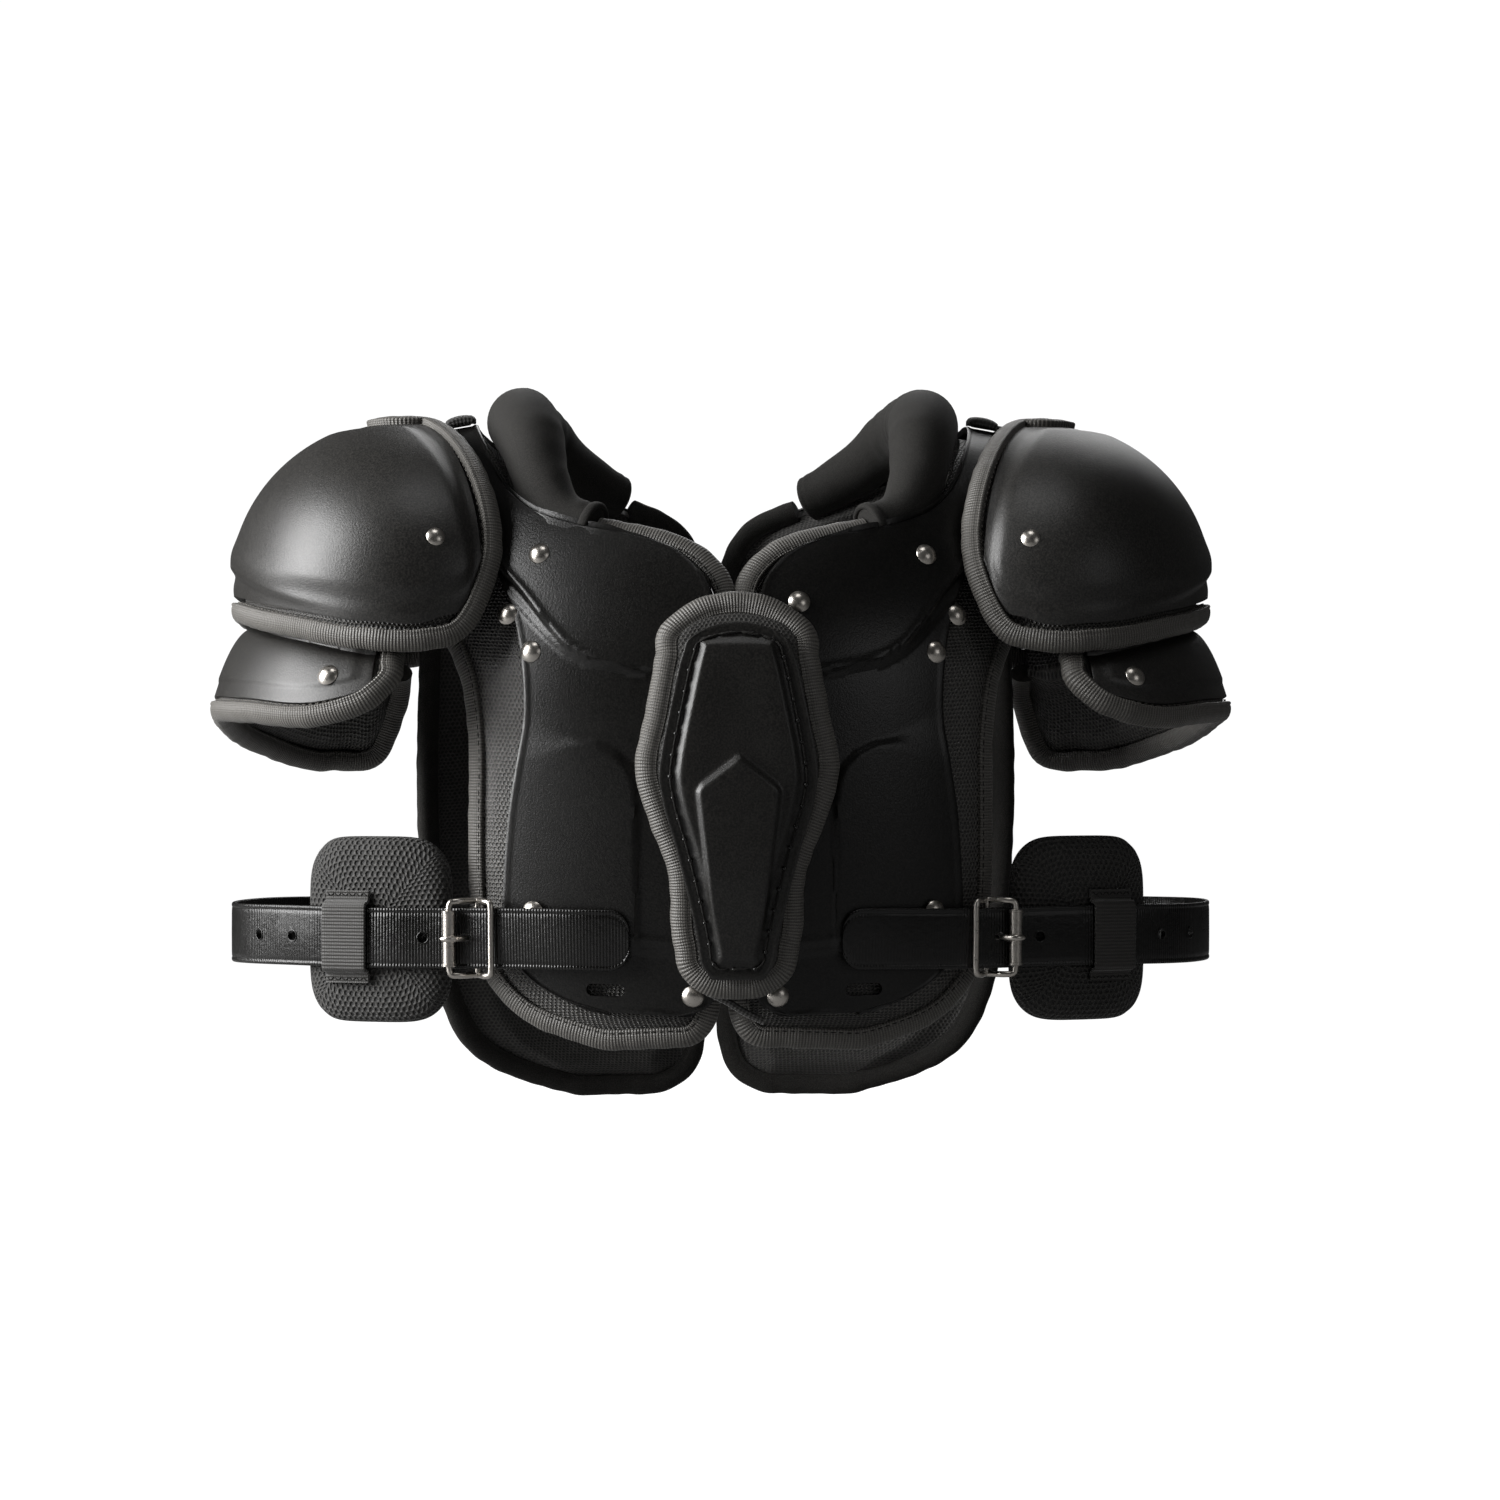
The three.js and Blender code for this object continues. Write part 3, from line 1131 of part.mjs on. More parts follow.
// Tab from the rivet on the plate to an eye round the buckle's middle bar
function buckleTab(sign, rivetSeat) {
  const at = buckleFrameAxes(sign);
  const inner = WIRE_HALF + CLEARANCE;
  const outer = inner + TAB_THICKNESS;
  const half = TAB_WIDTH / 2;
  const anchor = PLATE_RIVETS[3].across * PLATE_REACH - 7;
  const eye = [-90, -30, 30, 90, 150].map(degrees);
  const section = [];
  const inside = [];
  for (const turn of eye) {
    section.push([Math.cos(turn) * outer, MIDDLE_BAR_LIFT + Math.sin(turn) * outer]);
    inside.unshift([Math.cos(turn) * inner, MIDDLE_BAR_LIFT + Math.sin(turn) * inner]);
  }
  const loop = prism([...section, ...inside], (along, lift, end) => at(along, end * TAB_WIDTH, lift));
  const strip = [0, 0.5, 1].map((share) => {
    const across = mix(anchor, PLATE_REACH + 2, share);
    const seat = formSeat(sign, alongAtHeight(BELT_HEIGHT, across, -1), across, TAB_LIFT);
    return [[-half, 0], [half, 0], [half, TAB_THICKNESS], [-half, TAB_THICKNESS]].map(
      ([rise, lift]) => seat.point.clone().addScaledVector(seat.up, rise).addScaledVector(seat.out, lift));
  });
  strip.push([[-half, outer], [half, outer], [half, inner], [-half, inner]].map(
    ([rise, lift]) => at(0.5, rise, MIDDLE_BAR_LIFT - lift)));
  const prongSlot = [MIDDLE_BAR_LIFT - outer - 1, MIDDLE_BAR_LIFT + outer + 1].map((lift) => [
    [-PRONG_SLOT_REACH, -PRONG_WIRE], [PRONG_SLOT_REACH, -PRONG_WIRE],
    [PRONG_SLOT_REACH, PRONG_WIRE], [-PRONG_SLOT_REACH, PRONG_WIRE],
  ].map(([along, rise]) => at(along, rise, lift)));
  const joined = toSolid(loop).add(toSolid(ringSolid(strip, false)));
  const slotted = joined.subtract(toSolid(ringSolid(prongSlot, false)));
  return fromSolid(slotted.subtract(toSolid(rivetHole(rivetSeat, PLATE_WALL))));
}

// Side pad and its elastic keeper

function sidePad(sign) {
  const length = beltRoute(sign).getLength();
  const start = beltShare(sign, PAD_REACH + BINDING_WIDTH + 3);
  const back = CLEARANCE + KEEPER_THICKNESS;
  const columns = [0, 0.13, 0.36, 0.64, 0.87, 1];
  const rows = [-1, -0.76, -0.3, 0.3, 0.76, 1];
  const grid = (face) => rows.map((row) => columns.map((column) => {
    const nearEnd = Math.min(column, 1 - column) === 0;
    const nearEdge = Math.abs(row) === 1;
    const pinch = nearEnd && nearEdge;
    const share = start + (mix(0, SIDE_PAD_LENGTH, column)) / length;
    const station = beltStation(sign, share);
    const clip = pinch ? SIDE_PAD_CORNER : 0;
    const inward = column < 0.5 ? clip : -clip;
    const thin = nearEnd || nearEdge ? 3 : 0;
    const lift = face === "outer" ? -back - thin : -back - SIDE_PAD_THICKNESS + thin;
    const high = row * (SIDE_PAD_HEIGHT / 2) - Math.sign(row) * clip * 0.45;
    return station.point.clone()
      .addScaledVector(station.side, inward * 0.45)
      .addScaledVector(new THREE.Vector3(0, 0, 1), high + 3)
      .addScaledVector(station.out, lift);
  }));
  return slab(grid("outer"), grid("inner"));
}

const KEEPER_PLACE = 43;

function keeperLoop(sign) {
  const length = beltRoute(sign).getLength();
  const start = beltShare(sign, PAD_REACH + BINDING_WIDTH + 3) + KEEPER_PLACE / length;
  const station = beltStation(sign, start);
  const halfBelt = BELT_WIDTH / 2 + 0.8;
  const halfKeeper = KEEPER_HEIGHT / 2;
  const front = BELT_THICKNESS + CLEARANCE;
  const wall = KEEPER_THICKNESS;
  const section = [
    [halfKeeper, -wall], [halfKeeper, 0], [halfBelt + wall, 0], [halfBelt + wall, front + wall],
    [-halfBelt - wall, front + wall], [-halfBelt - wall, 0], [-halfKeeper, 0], [-halfKeeper, -wall],
    [-halfBelt, -wall], [-halfBelt, front], [halfBelt, front], [halfBelt, -wall],
  ];
  return prism(section, (rise, lift, end) => station.point.clone()
    .addScaledVector(station.side, end * KEEPER_WIDTH)
    .addScaledVector(station.up, rise)
    .addScaledVector(station.out, lift));
}

// Breastbone bumper

// Half widths as shares of the bumper's and of the hard plate's largest, at shares of its length
const STERNUM_PAD_ROWS = [
  { down: 0.045, half: 0.44 },
  { down: 0.075, half: 0.58 },
  { down: 0.16, half: 0.64 },
  { down: 0.3, half: 0.74 },
  { down: 0.445, half: 0.84 },
  { down: 0.56, half: 0.7 },
  { down: 0.67, half: 0.53 },
  { down: 0.87, half: 0.45 },
  { down: 0.935, half: 0.36 },
  { down: 0.96, half: 0.2 },
];
const STERNUM_PLATE_ROWS = [
  { down: 0.075, half: 0.5, field: 0, emboss: 0 },
  { down: 0.1, half: 0.63, field: 0, emboss: 0 },
  { down: 0.14, half: 0.69, field: 1, emboss: 0 },
  { down: 0.27, half: 0.84, field: 1, emboss: 0 },
  { down: 0.4, half: 0.97, field: 1, emboss: 0.1, low: 1 },
  { down: 0.42, half: 0.985, field: 1, emboss: 0.15 },
  { down: 0.46, half: 1.0, field: 1, emboss: 0.53 },
  { down: 0.5, half: 0.97, field: 1, emboss: 0.54 },
  { down: 0.65, half: 0.76, field: 1, emboss: 0.56 },
  { down: 0.84, half: 0.53, field: 1, emboss: 0.6 },
  { down: 0.87, half: 0.5, field: 1, emboss: 0.6, low: 1 },
  { down: 0.92, half: 0.45, field: 0, emboss: 0.6, low: 1 },
  { down: 0.955, half: 0.33, field: 0, emboss: 0.6, low: 1 },
];
const STERNUM_BACK_LIFT = PLATE_WALL + PANEL_RAISE + CLEARANCE + 0.4;
const STERNUM_CURL = 0.55;

// Point in front of the chest at a place across and down the bumper
function sternumPoint(across, down, lift) {
  const height = STERNUM_TOP - down * STERNUM_LENGTH;
  const profile = profileAt(alongAtHeight(height, 0, -1));
  const curl = Math.sqrt(1 - (across / HALF_GIRTH) ** 2);
  return new THREE.Vector3(across, profile.y * mix(1, curl, STERNUM_CURL) - STERNUM_BACK_LIFT - lift, height);
}

function sternumPad() {
  const columns = [-1, -0.6, 0, 0.6, 1];
  const grid = (face) => STERNUM_PAD_ROWS.map((row, r) => columns.map((column) => {
    const edge = Math.abs(column) === 1 || r === 0 || r === STERNUM_PAD_ROWS.length - 1;
    const lift = face === "outer" ? STERNUM_PAD_THICKNESS - (edge ? 2 : 0) : (edge ? 1 : 0);
    return sternumPoint(column * row.half * STERNUM_HALF_WIDTH, row.down, lift);
  }));
  return slab(grid("outer"), grid("inner"));
}

function sternumPlate() {
  const grid = (thick) => STERNUM_PLATE_ROWS.map((row) => {
    const columns = [1, 0.86, 0.78, row.emboss + 0.07, row.emboss];
    const marks = [0, 0, 1, 1, 2];
    const points = [];
    const all = [...columns.map((c, k) => [-c, marks[k]]), ...columns.map((c, k) => [c, marks[k]]).reverse()];
    for (const [column, mark] of all) {
      const field = mark >= 1 ? row.field * STERNUM_FIELD_RAISE : 0;
      const raised = mark === 2 && row.emboss > 0 && !row.low ? STERNUM_EMBOSS_RAISE : 0;
      const lift = STERNUM_PAD_THICKNESS + CLEARANCE + thick + field + raised;
      points.push(sternumPoint(column * row.half * STERNUM_PLATE_HALF_WIDTH, row.down, lift));
    }
    return points;
  });
  return slab(grid(STERNUM_PLATE_WALL), grid(0));
}

function sternumBinding() {
  const seats = [];
  const lift = STERNUM_PAD_THICKNESS / 2 - 0.5;
  const out = new THREE.Vector3(0, -1, 0);
  for (const row of STERNUM_PAD_ROWS) {
    seats.push({ point: sternumPoint(row.half * STERNUM_HALF_WIDTH, row.down, lift), out });
  }
  for (const row of [...STERNUM_PAD_ROWS].reverse()) {
    seats.push({ point: sternumPoint(-row.half * STERNUM_HALF_WIDTH, row.down, lift), out });
  }
  return rimEdging(seats, BINDING_WIDTH, STERNUM_PAD_THICKNESS - 1, true);
}

// Knot of the lace that ties the front plates, and the strap that joins the back plates

function frontLace() {
  const height = -0.905 * FRONT_DROP;
  const profile = profileAt(alongAtHeight(height, 0, -1));
  const y = profile.y - PLATE_WALL - HEM_RAISE - LACE_THICKNESS / 2 - CLEARANCE;
  const reach = CENTRE_GAP + 5;
  return wire([
    new THREE.Vector3(-reach, y, height + 6),
    new THREE.Vector3(-CENTRE_GAP / 2, y, height + 2),
    new THREE.Vector3(CENTRE_GAP / 2, y, height - 2),
    new THREE.Vector3(reach, y, height - 6),
  ], LACE_THICKNESS, 4, 5, false);
}

function backBridge() {
  const height = -0.42 * BACK_DROP;
  const profile = profileAt(alongAtHeight(height, 0, 1));
  const y = profile.y + PLATE_WALL + CLEARANCE + BRIDGE_THICKNESS / 2 + 0.3;
  const box = new THREE.BoxGeometry(BRIDGE_WIDTH, BRIDGE_THICKNESS, BRIDGE_HEIGHT);
  box.deleteAttribute("normal");
  box.deleteAttribute("uv");
  box.translate(0, y, height);
  return mergeVertices(box);
}

// Assembly

for (const { name, sign } of SIDES) {
  const plateRivets = PLATE_RIVETS.filter((row) => row.sides.includes(sign));
  const plateSeats = plateRivets.map((row) => plateSeat(sign, row.across, row.down));
  const tabSeat = plateSeats[plateRivets.findIndex((row) => row.name === "tab")];
  const holes = plateSeats.map((seat) => rivetHole(seat, PLATE_WALL));
  addPiece(`arch_plate_${name}`, cut(archPlate(sign), [...holes, laceSlot(sign)]), "shell");
  addPiece(`front_pad_${name}`, bodyPad(sign, FRONT_PAD_ROWS), "mesh");
  addPiece(`back_pad_${name}`, bodyPad(sign, BACK_PAD_ROWS), "mesh");
  addPiece(`front_binding_${name}`, padBinding(sign, FRONT_PAD_ROWS, FRONT_NECK_SKIP), "binding");
  addPiece(`back_binding_${name}`, padBinding(sign, BACK_PAD_ROWS, BACK_NECK_SKIP), "binding");
  addPiece(`neck_roll_${name}`, neckRoll(sign), "fleece");

  const capRivet = capSeat(sign, CAP_RIVET_ANGLE, CAP_RIVET_SHARE);
  addPiece(`cap_shell_${name}`, cut(capShell(sign), [rivetHole(capRivet, CAP_WALL)]), "shell");
  addPiece(`cap_pad_${name}`, capLining(sign), "mesh");
  addPiece(`cap_binding_${name}`, capBinding(sign), "binding");
  addPiece(`cap_hanger_${name}`, capHanger(sign), "webbing");
  addPiece(`cap_rivet_${name}`, rivet(capRivet, CAP_WALL, 0), "nickel");

  const epauletRivet = epauletSeat(sign, EPAULET_RIVET_ANGLE, EPAULET_RIVET_SHARE);
  const epauletShell = epauletSheet(sign, 0, EPAULET_WALL);
  const liningInset = EPAULET_WALL + CLEARANCE;
  addPiece(`epaulet_shell_${name}`, cut(epauletShell, [rivetHole(epauletRivet, EPAULET_WALL)]), "shell");
  addPiece(`epaulet_pad_${name}`, epauletSheet(sign, liningInset, liningInset + EPAULET_LINING), "mesh");
  addPiece(`epaulet_binding_${name}`, epauletBinding(sign), "binding");
  addPiece(`epaulet_rivet_${name}`, rivet(epauletRivet, EPAULET_WALL, 0), "nickel");

  addPiece(`belt_strap_${name}`, beltStrap(sign), "vinyl");
  addPiece(`buckle_frame_${name}`, buckleFrame(sign), "nickel");
  addPiece(`buckle_roller_${name}`, buckleRoller(sign), "nickel");
  addPiece(`buckle_prong_${name}`, buckleProng(sign), "nickel");
  addPiece(`buckle_tab_${name}`, buckleTab(sign, tabSeat), "vinyl");
  addPiece(`side_pad_${name}`, sidePad(sign), "mesh");
  addPiece(`keeper_loop_${name}`, keeperLoop(sign), "webbing");

  plateRivets.forEach((row, k) => {
    const proud = row.name === "tab" ? CLEARANCE + TAB_THICKNESS : 0;
    addPiece(`${row.name}_rivet_${name}`, rivet(plateSeats[k], PLATE_WALL, proud), "nickel");
  });
}
addPiece("sternum_plate", sternumPlate(), "shell");
addPiece("sternum_pad", sternumPad(), "mesh");
addPiece("sternum_binding", sternumBinding(), "binding");
addPiece("front_lace", frontLace(), "webbing");
addPiece("back_bridge", backBridge(), "shell");

export default shoulderPad;
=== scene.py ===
"""Looks of a youth football shoulder pad set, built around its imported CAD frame.

Sizes are in millimetres in the part's frame until a mesh is made: +Z up, chest towards -Y, +X towards
the wearer's left. A form position is `along` (-1 chest hem, 0 crown, 1 back hem) and `across` (mm).
"""
import math

import bmesh
import bpy
import numpy as np
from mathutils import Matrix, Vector


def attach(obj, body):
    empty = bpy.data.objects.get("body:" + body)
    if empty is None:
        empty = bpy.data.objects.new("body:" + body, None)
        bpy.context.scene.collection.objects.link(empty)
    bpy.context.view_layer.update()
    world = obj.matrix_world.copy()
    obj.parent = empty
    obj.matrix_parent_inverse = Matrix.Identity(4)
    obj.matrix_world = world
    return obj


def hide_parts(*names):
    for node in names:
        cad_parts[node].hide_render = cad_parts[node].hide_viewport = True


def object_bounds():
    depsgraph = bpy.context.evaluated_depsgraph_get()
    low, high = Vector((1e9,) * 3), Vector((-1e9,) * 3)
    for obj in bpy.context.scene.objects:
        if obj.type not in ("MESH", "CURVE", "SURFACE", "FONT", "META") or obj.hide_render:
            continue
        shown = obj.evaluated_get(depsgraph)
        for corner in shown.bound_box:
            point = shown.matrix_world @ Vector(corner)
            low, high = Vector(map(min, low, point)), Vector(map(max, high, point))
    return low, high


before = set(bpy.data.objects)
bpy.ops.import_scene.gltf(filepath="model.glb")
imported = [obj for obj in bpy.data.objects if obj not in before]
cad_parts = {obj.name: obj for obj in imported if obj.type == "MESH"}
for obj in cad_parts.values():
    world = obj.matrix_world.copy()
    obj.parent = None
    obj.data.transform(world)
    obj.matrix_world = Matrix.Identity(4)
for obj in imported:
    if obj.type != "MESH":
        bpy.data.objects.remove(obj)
cad_low, cad_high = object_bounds()

MM = 0.001
SIDES = {"right": -1, "left": 1}

# Body form: the inner face of the hard plates
CHEST_DEPTH = 114
BACK_DEPTH = 108
HALF_GIRTH = 150
CROWN_HEIGHT = 32
FRONT_DROP = 240
BACK_DROP = 266
SHOULDER_FALL = 18
PLATE_REACH = 92
PLATE_CROWN_REACH = 138
PAD_REACH = 108
NECK_HALF_WIDTH = 102
FRONT_SPLIT = -4.5
CENTRE_GAP = 6.5

# Walls and clearances
CLEARANCE = 0.3
PLATE_WALL = 3
PAD_THICKNESS = 12
PAD_EDGE = 6.5
PAD_GAP = 1.3
BINDING_WIDTH = 7
NECK_MARGIN = 2

# Side view of the form, from the chest hem over the shoulder to the back hem. Depths are shares of
# the chest or back depth, heights shares of the crown height or of the drops.
PROFILE_COLUMNS = ("chest", "back", "crown", "front", "rear")
PROFILE = (
    (0.92, 0, 0, 1.0, 0),
    (0.95, 0, 0, 0.84, 0),
    (0.985, 0, 0, 0.64, 0),
    (1.0, 0, 0, 0.46, 0),
    (0.985, 0, 0, 0.31, 0),
    (0.91, 0, 0, 0.19, 0),
    (0.77, 0, 0, 0.065, 0),
    (0.52, 0, 0.45, 0, 0),
    (0.22, 0, 0.88, 0, 0),
    (0, 0.1, 1.0, 0, 0),
    (0, 0.44, 0.78, 0, 0),
    (0, 0.72, 0.16, 0, 0),
    (0, 0.92, 0, 0, 0.13),
    (0, 1.0, 0, 0, 0.33),
    (0, 0.99, 0, 0, 0.56),
    (0, 0.95, 0, 0, 0.78),
    (0, 0.9, 0, 0, 1.0),
)
CROWN_ROW = 9
CROWN_SHARE = CROWN_ROW / (len(PROFILE) - 1)


def column(rows, columns, name):
    return np.array([row[columns.index(name)] for row in rows], float)


def spline(points, t):
    """Centripetal curve through points at t from 0 to 1, as rows of coordinates."""
    points = np.asarray(points, float)
    t = np.clip(np.asarray(t, float), 0, 1)
    ends = np.vstack([2 * points[0] - points[1], points, 2 * points[-1] - points[-2]])
    place = t * (len(points) - 1)
    k = np.minimum(place.astype(int), len(points) - 2)
    w = (place - k)[..., None]
    x0, x1, x2, x3 = (ends[k + j] for j in range(4))
    gap = [np.maximum(np.linalg.norm(b - a, axis=-1), 1e-9)[..., None] ** 0.5
           for a, b in ((x0, x1), (x1, x2), (x2, x3))]
    m1 = ((x1 - x0) / gap[0] - (x2 - x0) / (gap[0] + gap[1]) + (x2 - x1) / gap[1]) * gap[1]
    m2 = ((x2 - x1) / gap[1] - (x3 - x1) / (gap[1] + gap[2]) + (x3 - x2) / gap[2]) * gap[1]
    w2, w3 = w * w, w * w * w
    return (2 * w3 - 3 * w2 + 1) * x1 + (w3 - 2 * w2 + w) * m1 + (3 * w2 - 2 * w3) * x2 + (w3 - w2) * m2


def profile_points():
    chest, back, crown, front, rear = (column(PROFILE, PROFILE_COLUMNS, name) for name in PROFILE_COLUMNS)
    return np.stack([back * BACK_DEPTH - chest * CHEST_DEPTH,
                     crown * CROWN_HEIGHT - front * FRONT_DROP - rear * BACK_DROP], axis=1)


PROFILE_SHARES = np.linspace(0, 1, 3201)
PROFILE_LINE = spline(profile_points(), PROFILE_SHARES)


def mix(a, b, t):
    return a + (b - a) * t


def smooth(t):
    t = np.clip(t, 0, 1)
    return t * t * (3 - 2 * t)


def unit(v):
    return v / np.maximum(np.linalg.norm(v, axis=-1, keepdims=True), 1e-12)


def profile_at(along):
    along = np.asarray(along, float)
    share = np.where(along < 0, CROWN_SHARE * (1 + along), mix(CROWN_SHARE, 1, along))
    return (np.interp(share, PROFILE_SHARES, PROFILE_LINE[:, 0]),
            np.interp(share, PROFILE_SHARES, PROFILE_LINE[:, 1]))


SHOULDER_START = 0.28
SHOULDER_END = 0.6
LEAST_TURN = 0.02
FRAME_STEP = 0.004
FRAME_REACH = 1.0
HALVINGS = 40


def form_base(along, across):
    along, across = np.broadcast_arrays(np.asarray(along, float), np.asarray(across, float))
    y, z = profile_at(along)
    turn = np.sqrt(np.maximum(LEAST_TURN, 1 - (across / HALF_GIRTH) ** 2))
    on_shoulder = 1 - smooth((np.abs(along) - SHOULDER_START) / (SHOULDER_END - SHOULDER_START))
    fall = SHOULDER_FALL * (across / HALF_GIRTH) ** 2 * on_shoulder
    return np.stack([across, y * turn, z - fall], axis=-1)


def form_frame(along, across):
    """Upward, sideways and outward directions of the form, for the wearer's left."""
    up = unit(form_base(along + FRAME_STEP, across) - form_base(along - FRAME_STEP, across))
    side = unit(form_base(along, across + FRAME_REACH) - form_base(along, across - FRAME_REACH))
    out = unit(np.cross(side, up))
    return up, np.cross(up, out), out


def form_seat(sign, along, across, lift):
    """Point, upward, sideways and outward directions on one side of the form."""
    along, across = np.broadcast_arrays(np.asarray(along, float), np.asarray(across, float))
    up, side, out = form_frame(along, across)
    flip = np.array([sign, 1, 1], float)
    point = form_base(along, across) + out * np.asarray(lift, float)[..., None]
    return point * flip, up * flip, side * flip, out * flip


def along_at_height(height, across, half):
    """Place along the form at a height, on its chest half (-1) or back half (1)."""
    height, across = np.broadcast_arrays(np.asarray(height, float), np.asarray(across, float))
    high, low = np.zeros(height.shape), np.full(height.shape, float(half))
    for _ in range(HALVINGS):
        middle = (high + low) / 2
        above = form_base(middle, across)[..., 2] > height
        high, low = np.where(above, middle, high), np.where(above, low, middle)
    return (high + low) / 2


# Neckline stations, from the chest V over the shoulder to the back V
NECK_COLUMNS = ("along", "across")
NECK = (
    (-0.447, 0.095),
    (-0.405, 0.196),
    (-0.377, 0.39),
    (-0.36, 0.56),
    (-0.325, 0.755),
    (-0.26, 0.9),
    (-0.17, 0.97),
    (-0.08, 1.0),
    (0, 1.0),
    (0.08, 0.98),
    (0.16, 0.9),
    (0.23, 0.76),
    (0.285, 0.58),
    (0.325, 0.38),
    (0.365, 0.18),
    (0.435, 0.095),
)
NECK_ALONG = column(NECK, NECK_COLUMNS, "along")
NECK_ACROSS = column(NECK, NECK_COLUMNS, "across") * NECK_HALF_WIDTH


CROWN_REACH_SHARE = 1.5


def reach_across(share):
    """Distance across for a share of the plate's reach, where 1.5 is its reach on the crown."""
    if share <= 1:
        return share * PLATE_REACH
    return PLATE_REACH + (share - 1) / (CROWN_REACH_SHARE - 1) * (PLATE_CROWN_REACH - PLATE_REACH)


def hem_row(half, inner, in_down, outer, out_down):
    """Ends of a row below the shoulders, from distances across and shares of the drop."""
    drop = FRONT_DROP if half < 0 else BACK_DROP
    return (inner, outer, float(along_at_height(-in_down * drop, inner, half)),
            float(along_at_height(-out_down * drop, outer, half)))


def neck_row(station, margin, outer, along_out):
    return NECK_ACROSS[station] + margin, outer, NECK_ALONG[station], along_out


# Rows across a plate: half, inner reach, inner drop, outer reach, outer drop below the shoulders, and
# station, outer reach and outer place along for the rows that start on the neckline
PLATE_HEM_ROWS = (
    (-1, 0.24, 0.921, 0.56, 0.915),
    (-1, 0.12, 0.905, 0.78, 0.888),
    (-1, 0.075, 0.87, 0.935, 0.845),
    (-1, 0.07, 0.815, 0.995, 0.79),
    (-1, 0.07, 0.797, 1.0, 0.772),
    (-1, 0.07, 0.6, 0.975, 0.59),
    (-1, 0.07, 0.45, 0.915, 0.42),
    (-1, 0.075, 0.37, 0.93, 0.3),
    (-1, 0.08, 0.345, 0.99, 0.205),
    (-1, 0.085, 0.32, 1.03, 0.172),
    (-1, 0.095, 0.25, 1.09, 0.13),
)
PLATE_NECK_ROWS = (
    (0, 1.14, -0.36),
    (1, 1.165, -0.347),
    (2, 1.19, -0.333),
    (3, 1.25, -0.3),
    (4, 1.4, -0.215),
    (5, 1.48, -0.14),
    (6, 1.5, -0.09),
    (7, 1.5, -0.045),
    (8, 1.5, 0),
    (9, 1.5, 0.045),
    (10, 1.49, 0.1),
    (11, 1.46, 0.16),
    (12, 1.4, 0.22),
    (13, 1.33, 0.27),
    (14, 1.24, 0.33),
    (15, 1.12, 0.4),
)
PLATE_BACK_ROWS = (
    (1, 0.08, 0.38, 1.04, 0.42),
    (1, 0.08, 0.6, 1.05, 0.62),
    (1, 0.1, 0.8, 1.0, 0.79),
    (1, 0.27, 0.87, 0.76, 0.865),
)


def plate_ends():
    def hem_rows(table):
        return [hem_row(h, reach_across(a), d, reach_across(b), e) for h, a, d, b, e in table]

    neck_rows = [neck_row(k, NECK_MARGIN, reach_across(b), along) for k, b, along in PLATE_NECK_ROWS]
    return np.array(hem_rows(PLATE_HEM_ROWS) + neck_rows + hem_rows(PLATE_BACK_ROWS), float)


# Distances across and places along are brought to like sizes before a curve is run through them
ROW_SCALE = np.array([1, 1, 300, 300], float)


def fine_rows(ends, steps):
    """Evenly curved rows between table rows. Distances across and places along curve separately."""
    t = np.linspace(0, 1, (len(ends) - 1) * steps + 1)
    return spline(ends * ROW_SCALE, t) / ROW_SCALE


def row_grid(rows, shares):
    """Places along and across for rows of ends at shares across."""
    shares = np.asarray(shares)[None, :]
    along = mix(rows[:, 2:3], rows[:, 3:4], shares)
    across = mix(rows[:, 0:1], rows[:, 1:2], shares)
    return along, across


# Meshes from grids of points

def finish_mesh(obj, material, sharp=40):
    obj.data.materials.clear()
    obj.data.materials.append(material)
    obj.data.shade_smooth()
    obj.data.set_sharp_from_angle(angle=math.radians(sharp))
    return obj


def mesh_object(name, points, faces, corner_uv=None):
    mesh = bpy.data.meshes.new(name)
    mesh.from_pydata((np.asarray(points) * MM).tolist(), [], faces)
    if corner_uv is not None:
        layer = mesh.uv_layers.new(name="UVMap")
        layer.data.foreach_set("uv", np.asarray(corner_uv, np.float32).ravel())
    obj = bpy.data.objects.new(name, mesh)
    bpy.context.scene.collection.objects.link(obj)
    return obj


def grid_faces(rows, columns, offset=0, flip=False):
    r, c = np.meshgrid(np.arange(rows - 1), np.arange(columns - 1), indexing="ij")
    a = (r * columns + c).ravel() + offset
    quads = np.stack([a, a + 1, a + columns + 1, a + columns], axis=1)
    return quads[:, ::-1] if flip else quads


def grid_runs(points):
    """Distances in the sheet along the rows and up the columns of a grid."""
    across = np.linalg.norm(np.diff(points, axis=1), axis=-1)
    along = np.linalg.norm(np.diff(points, axis=0), axis=-1)
    run = np.concatenate([np.zeros((len(points), 1)), np.cumsum(across, axis=1)], axis=1)
    climb = np.concatenate([np.zeros((1, points.shape[1])), np.cumsum(along, axis=0)], axis=0)
    return run, climb


def arc_uv(points):
    """Run lengths in metres along the columns and the rows of a grid, for cloth patterns."""
    run, climb = grid_runs(points)
    u = run - run.mean(axis=1, keepdims=True)
    v = climb.mean(axis=1)[:, None] + np.zeros_like(u)
    return np.stack([u, v], axis=-1) * MM


def inside_distance(points):
    """Distances in the sheet from a grid's nearer side, its first row and its last row."""
    run, climb = grid_runs(points)
    return np.minimum(run, run[:, -1:] - run), climb, climb[-1:] - climb


def facing(points, out):
    """Whether a grid's faces look along the outward directions."""
    du = points[1:-1, 2:] - points[1:-1, :-2]
    dv = points[2:, 1:-1] - points[:-2, 1:-1]
    return float(np.sum(np.cross(du, dv) * out[1:-1, 1:-1])) > 0


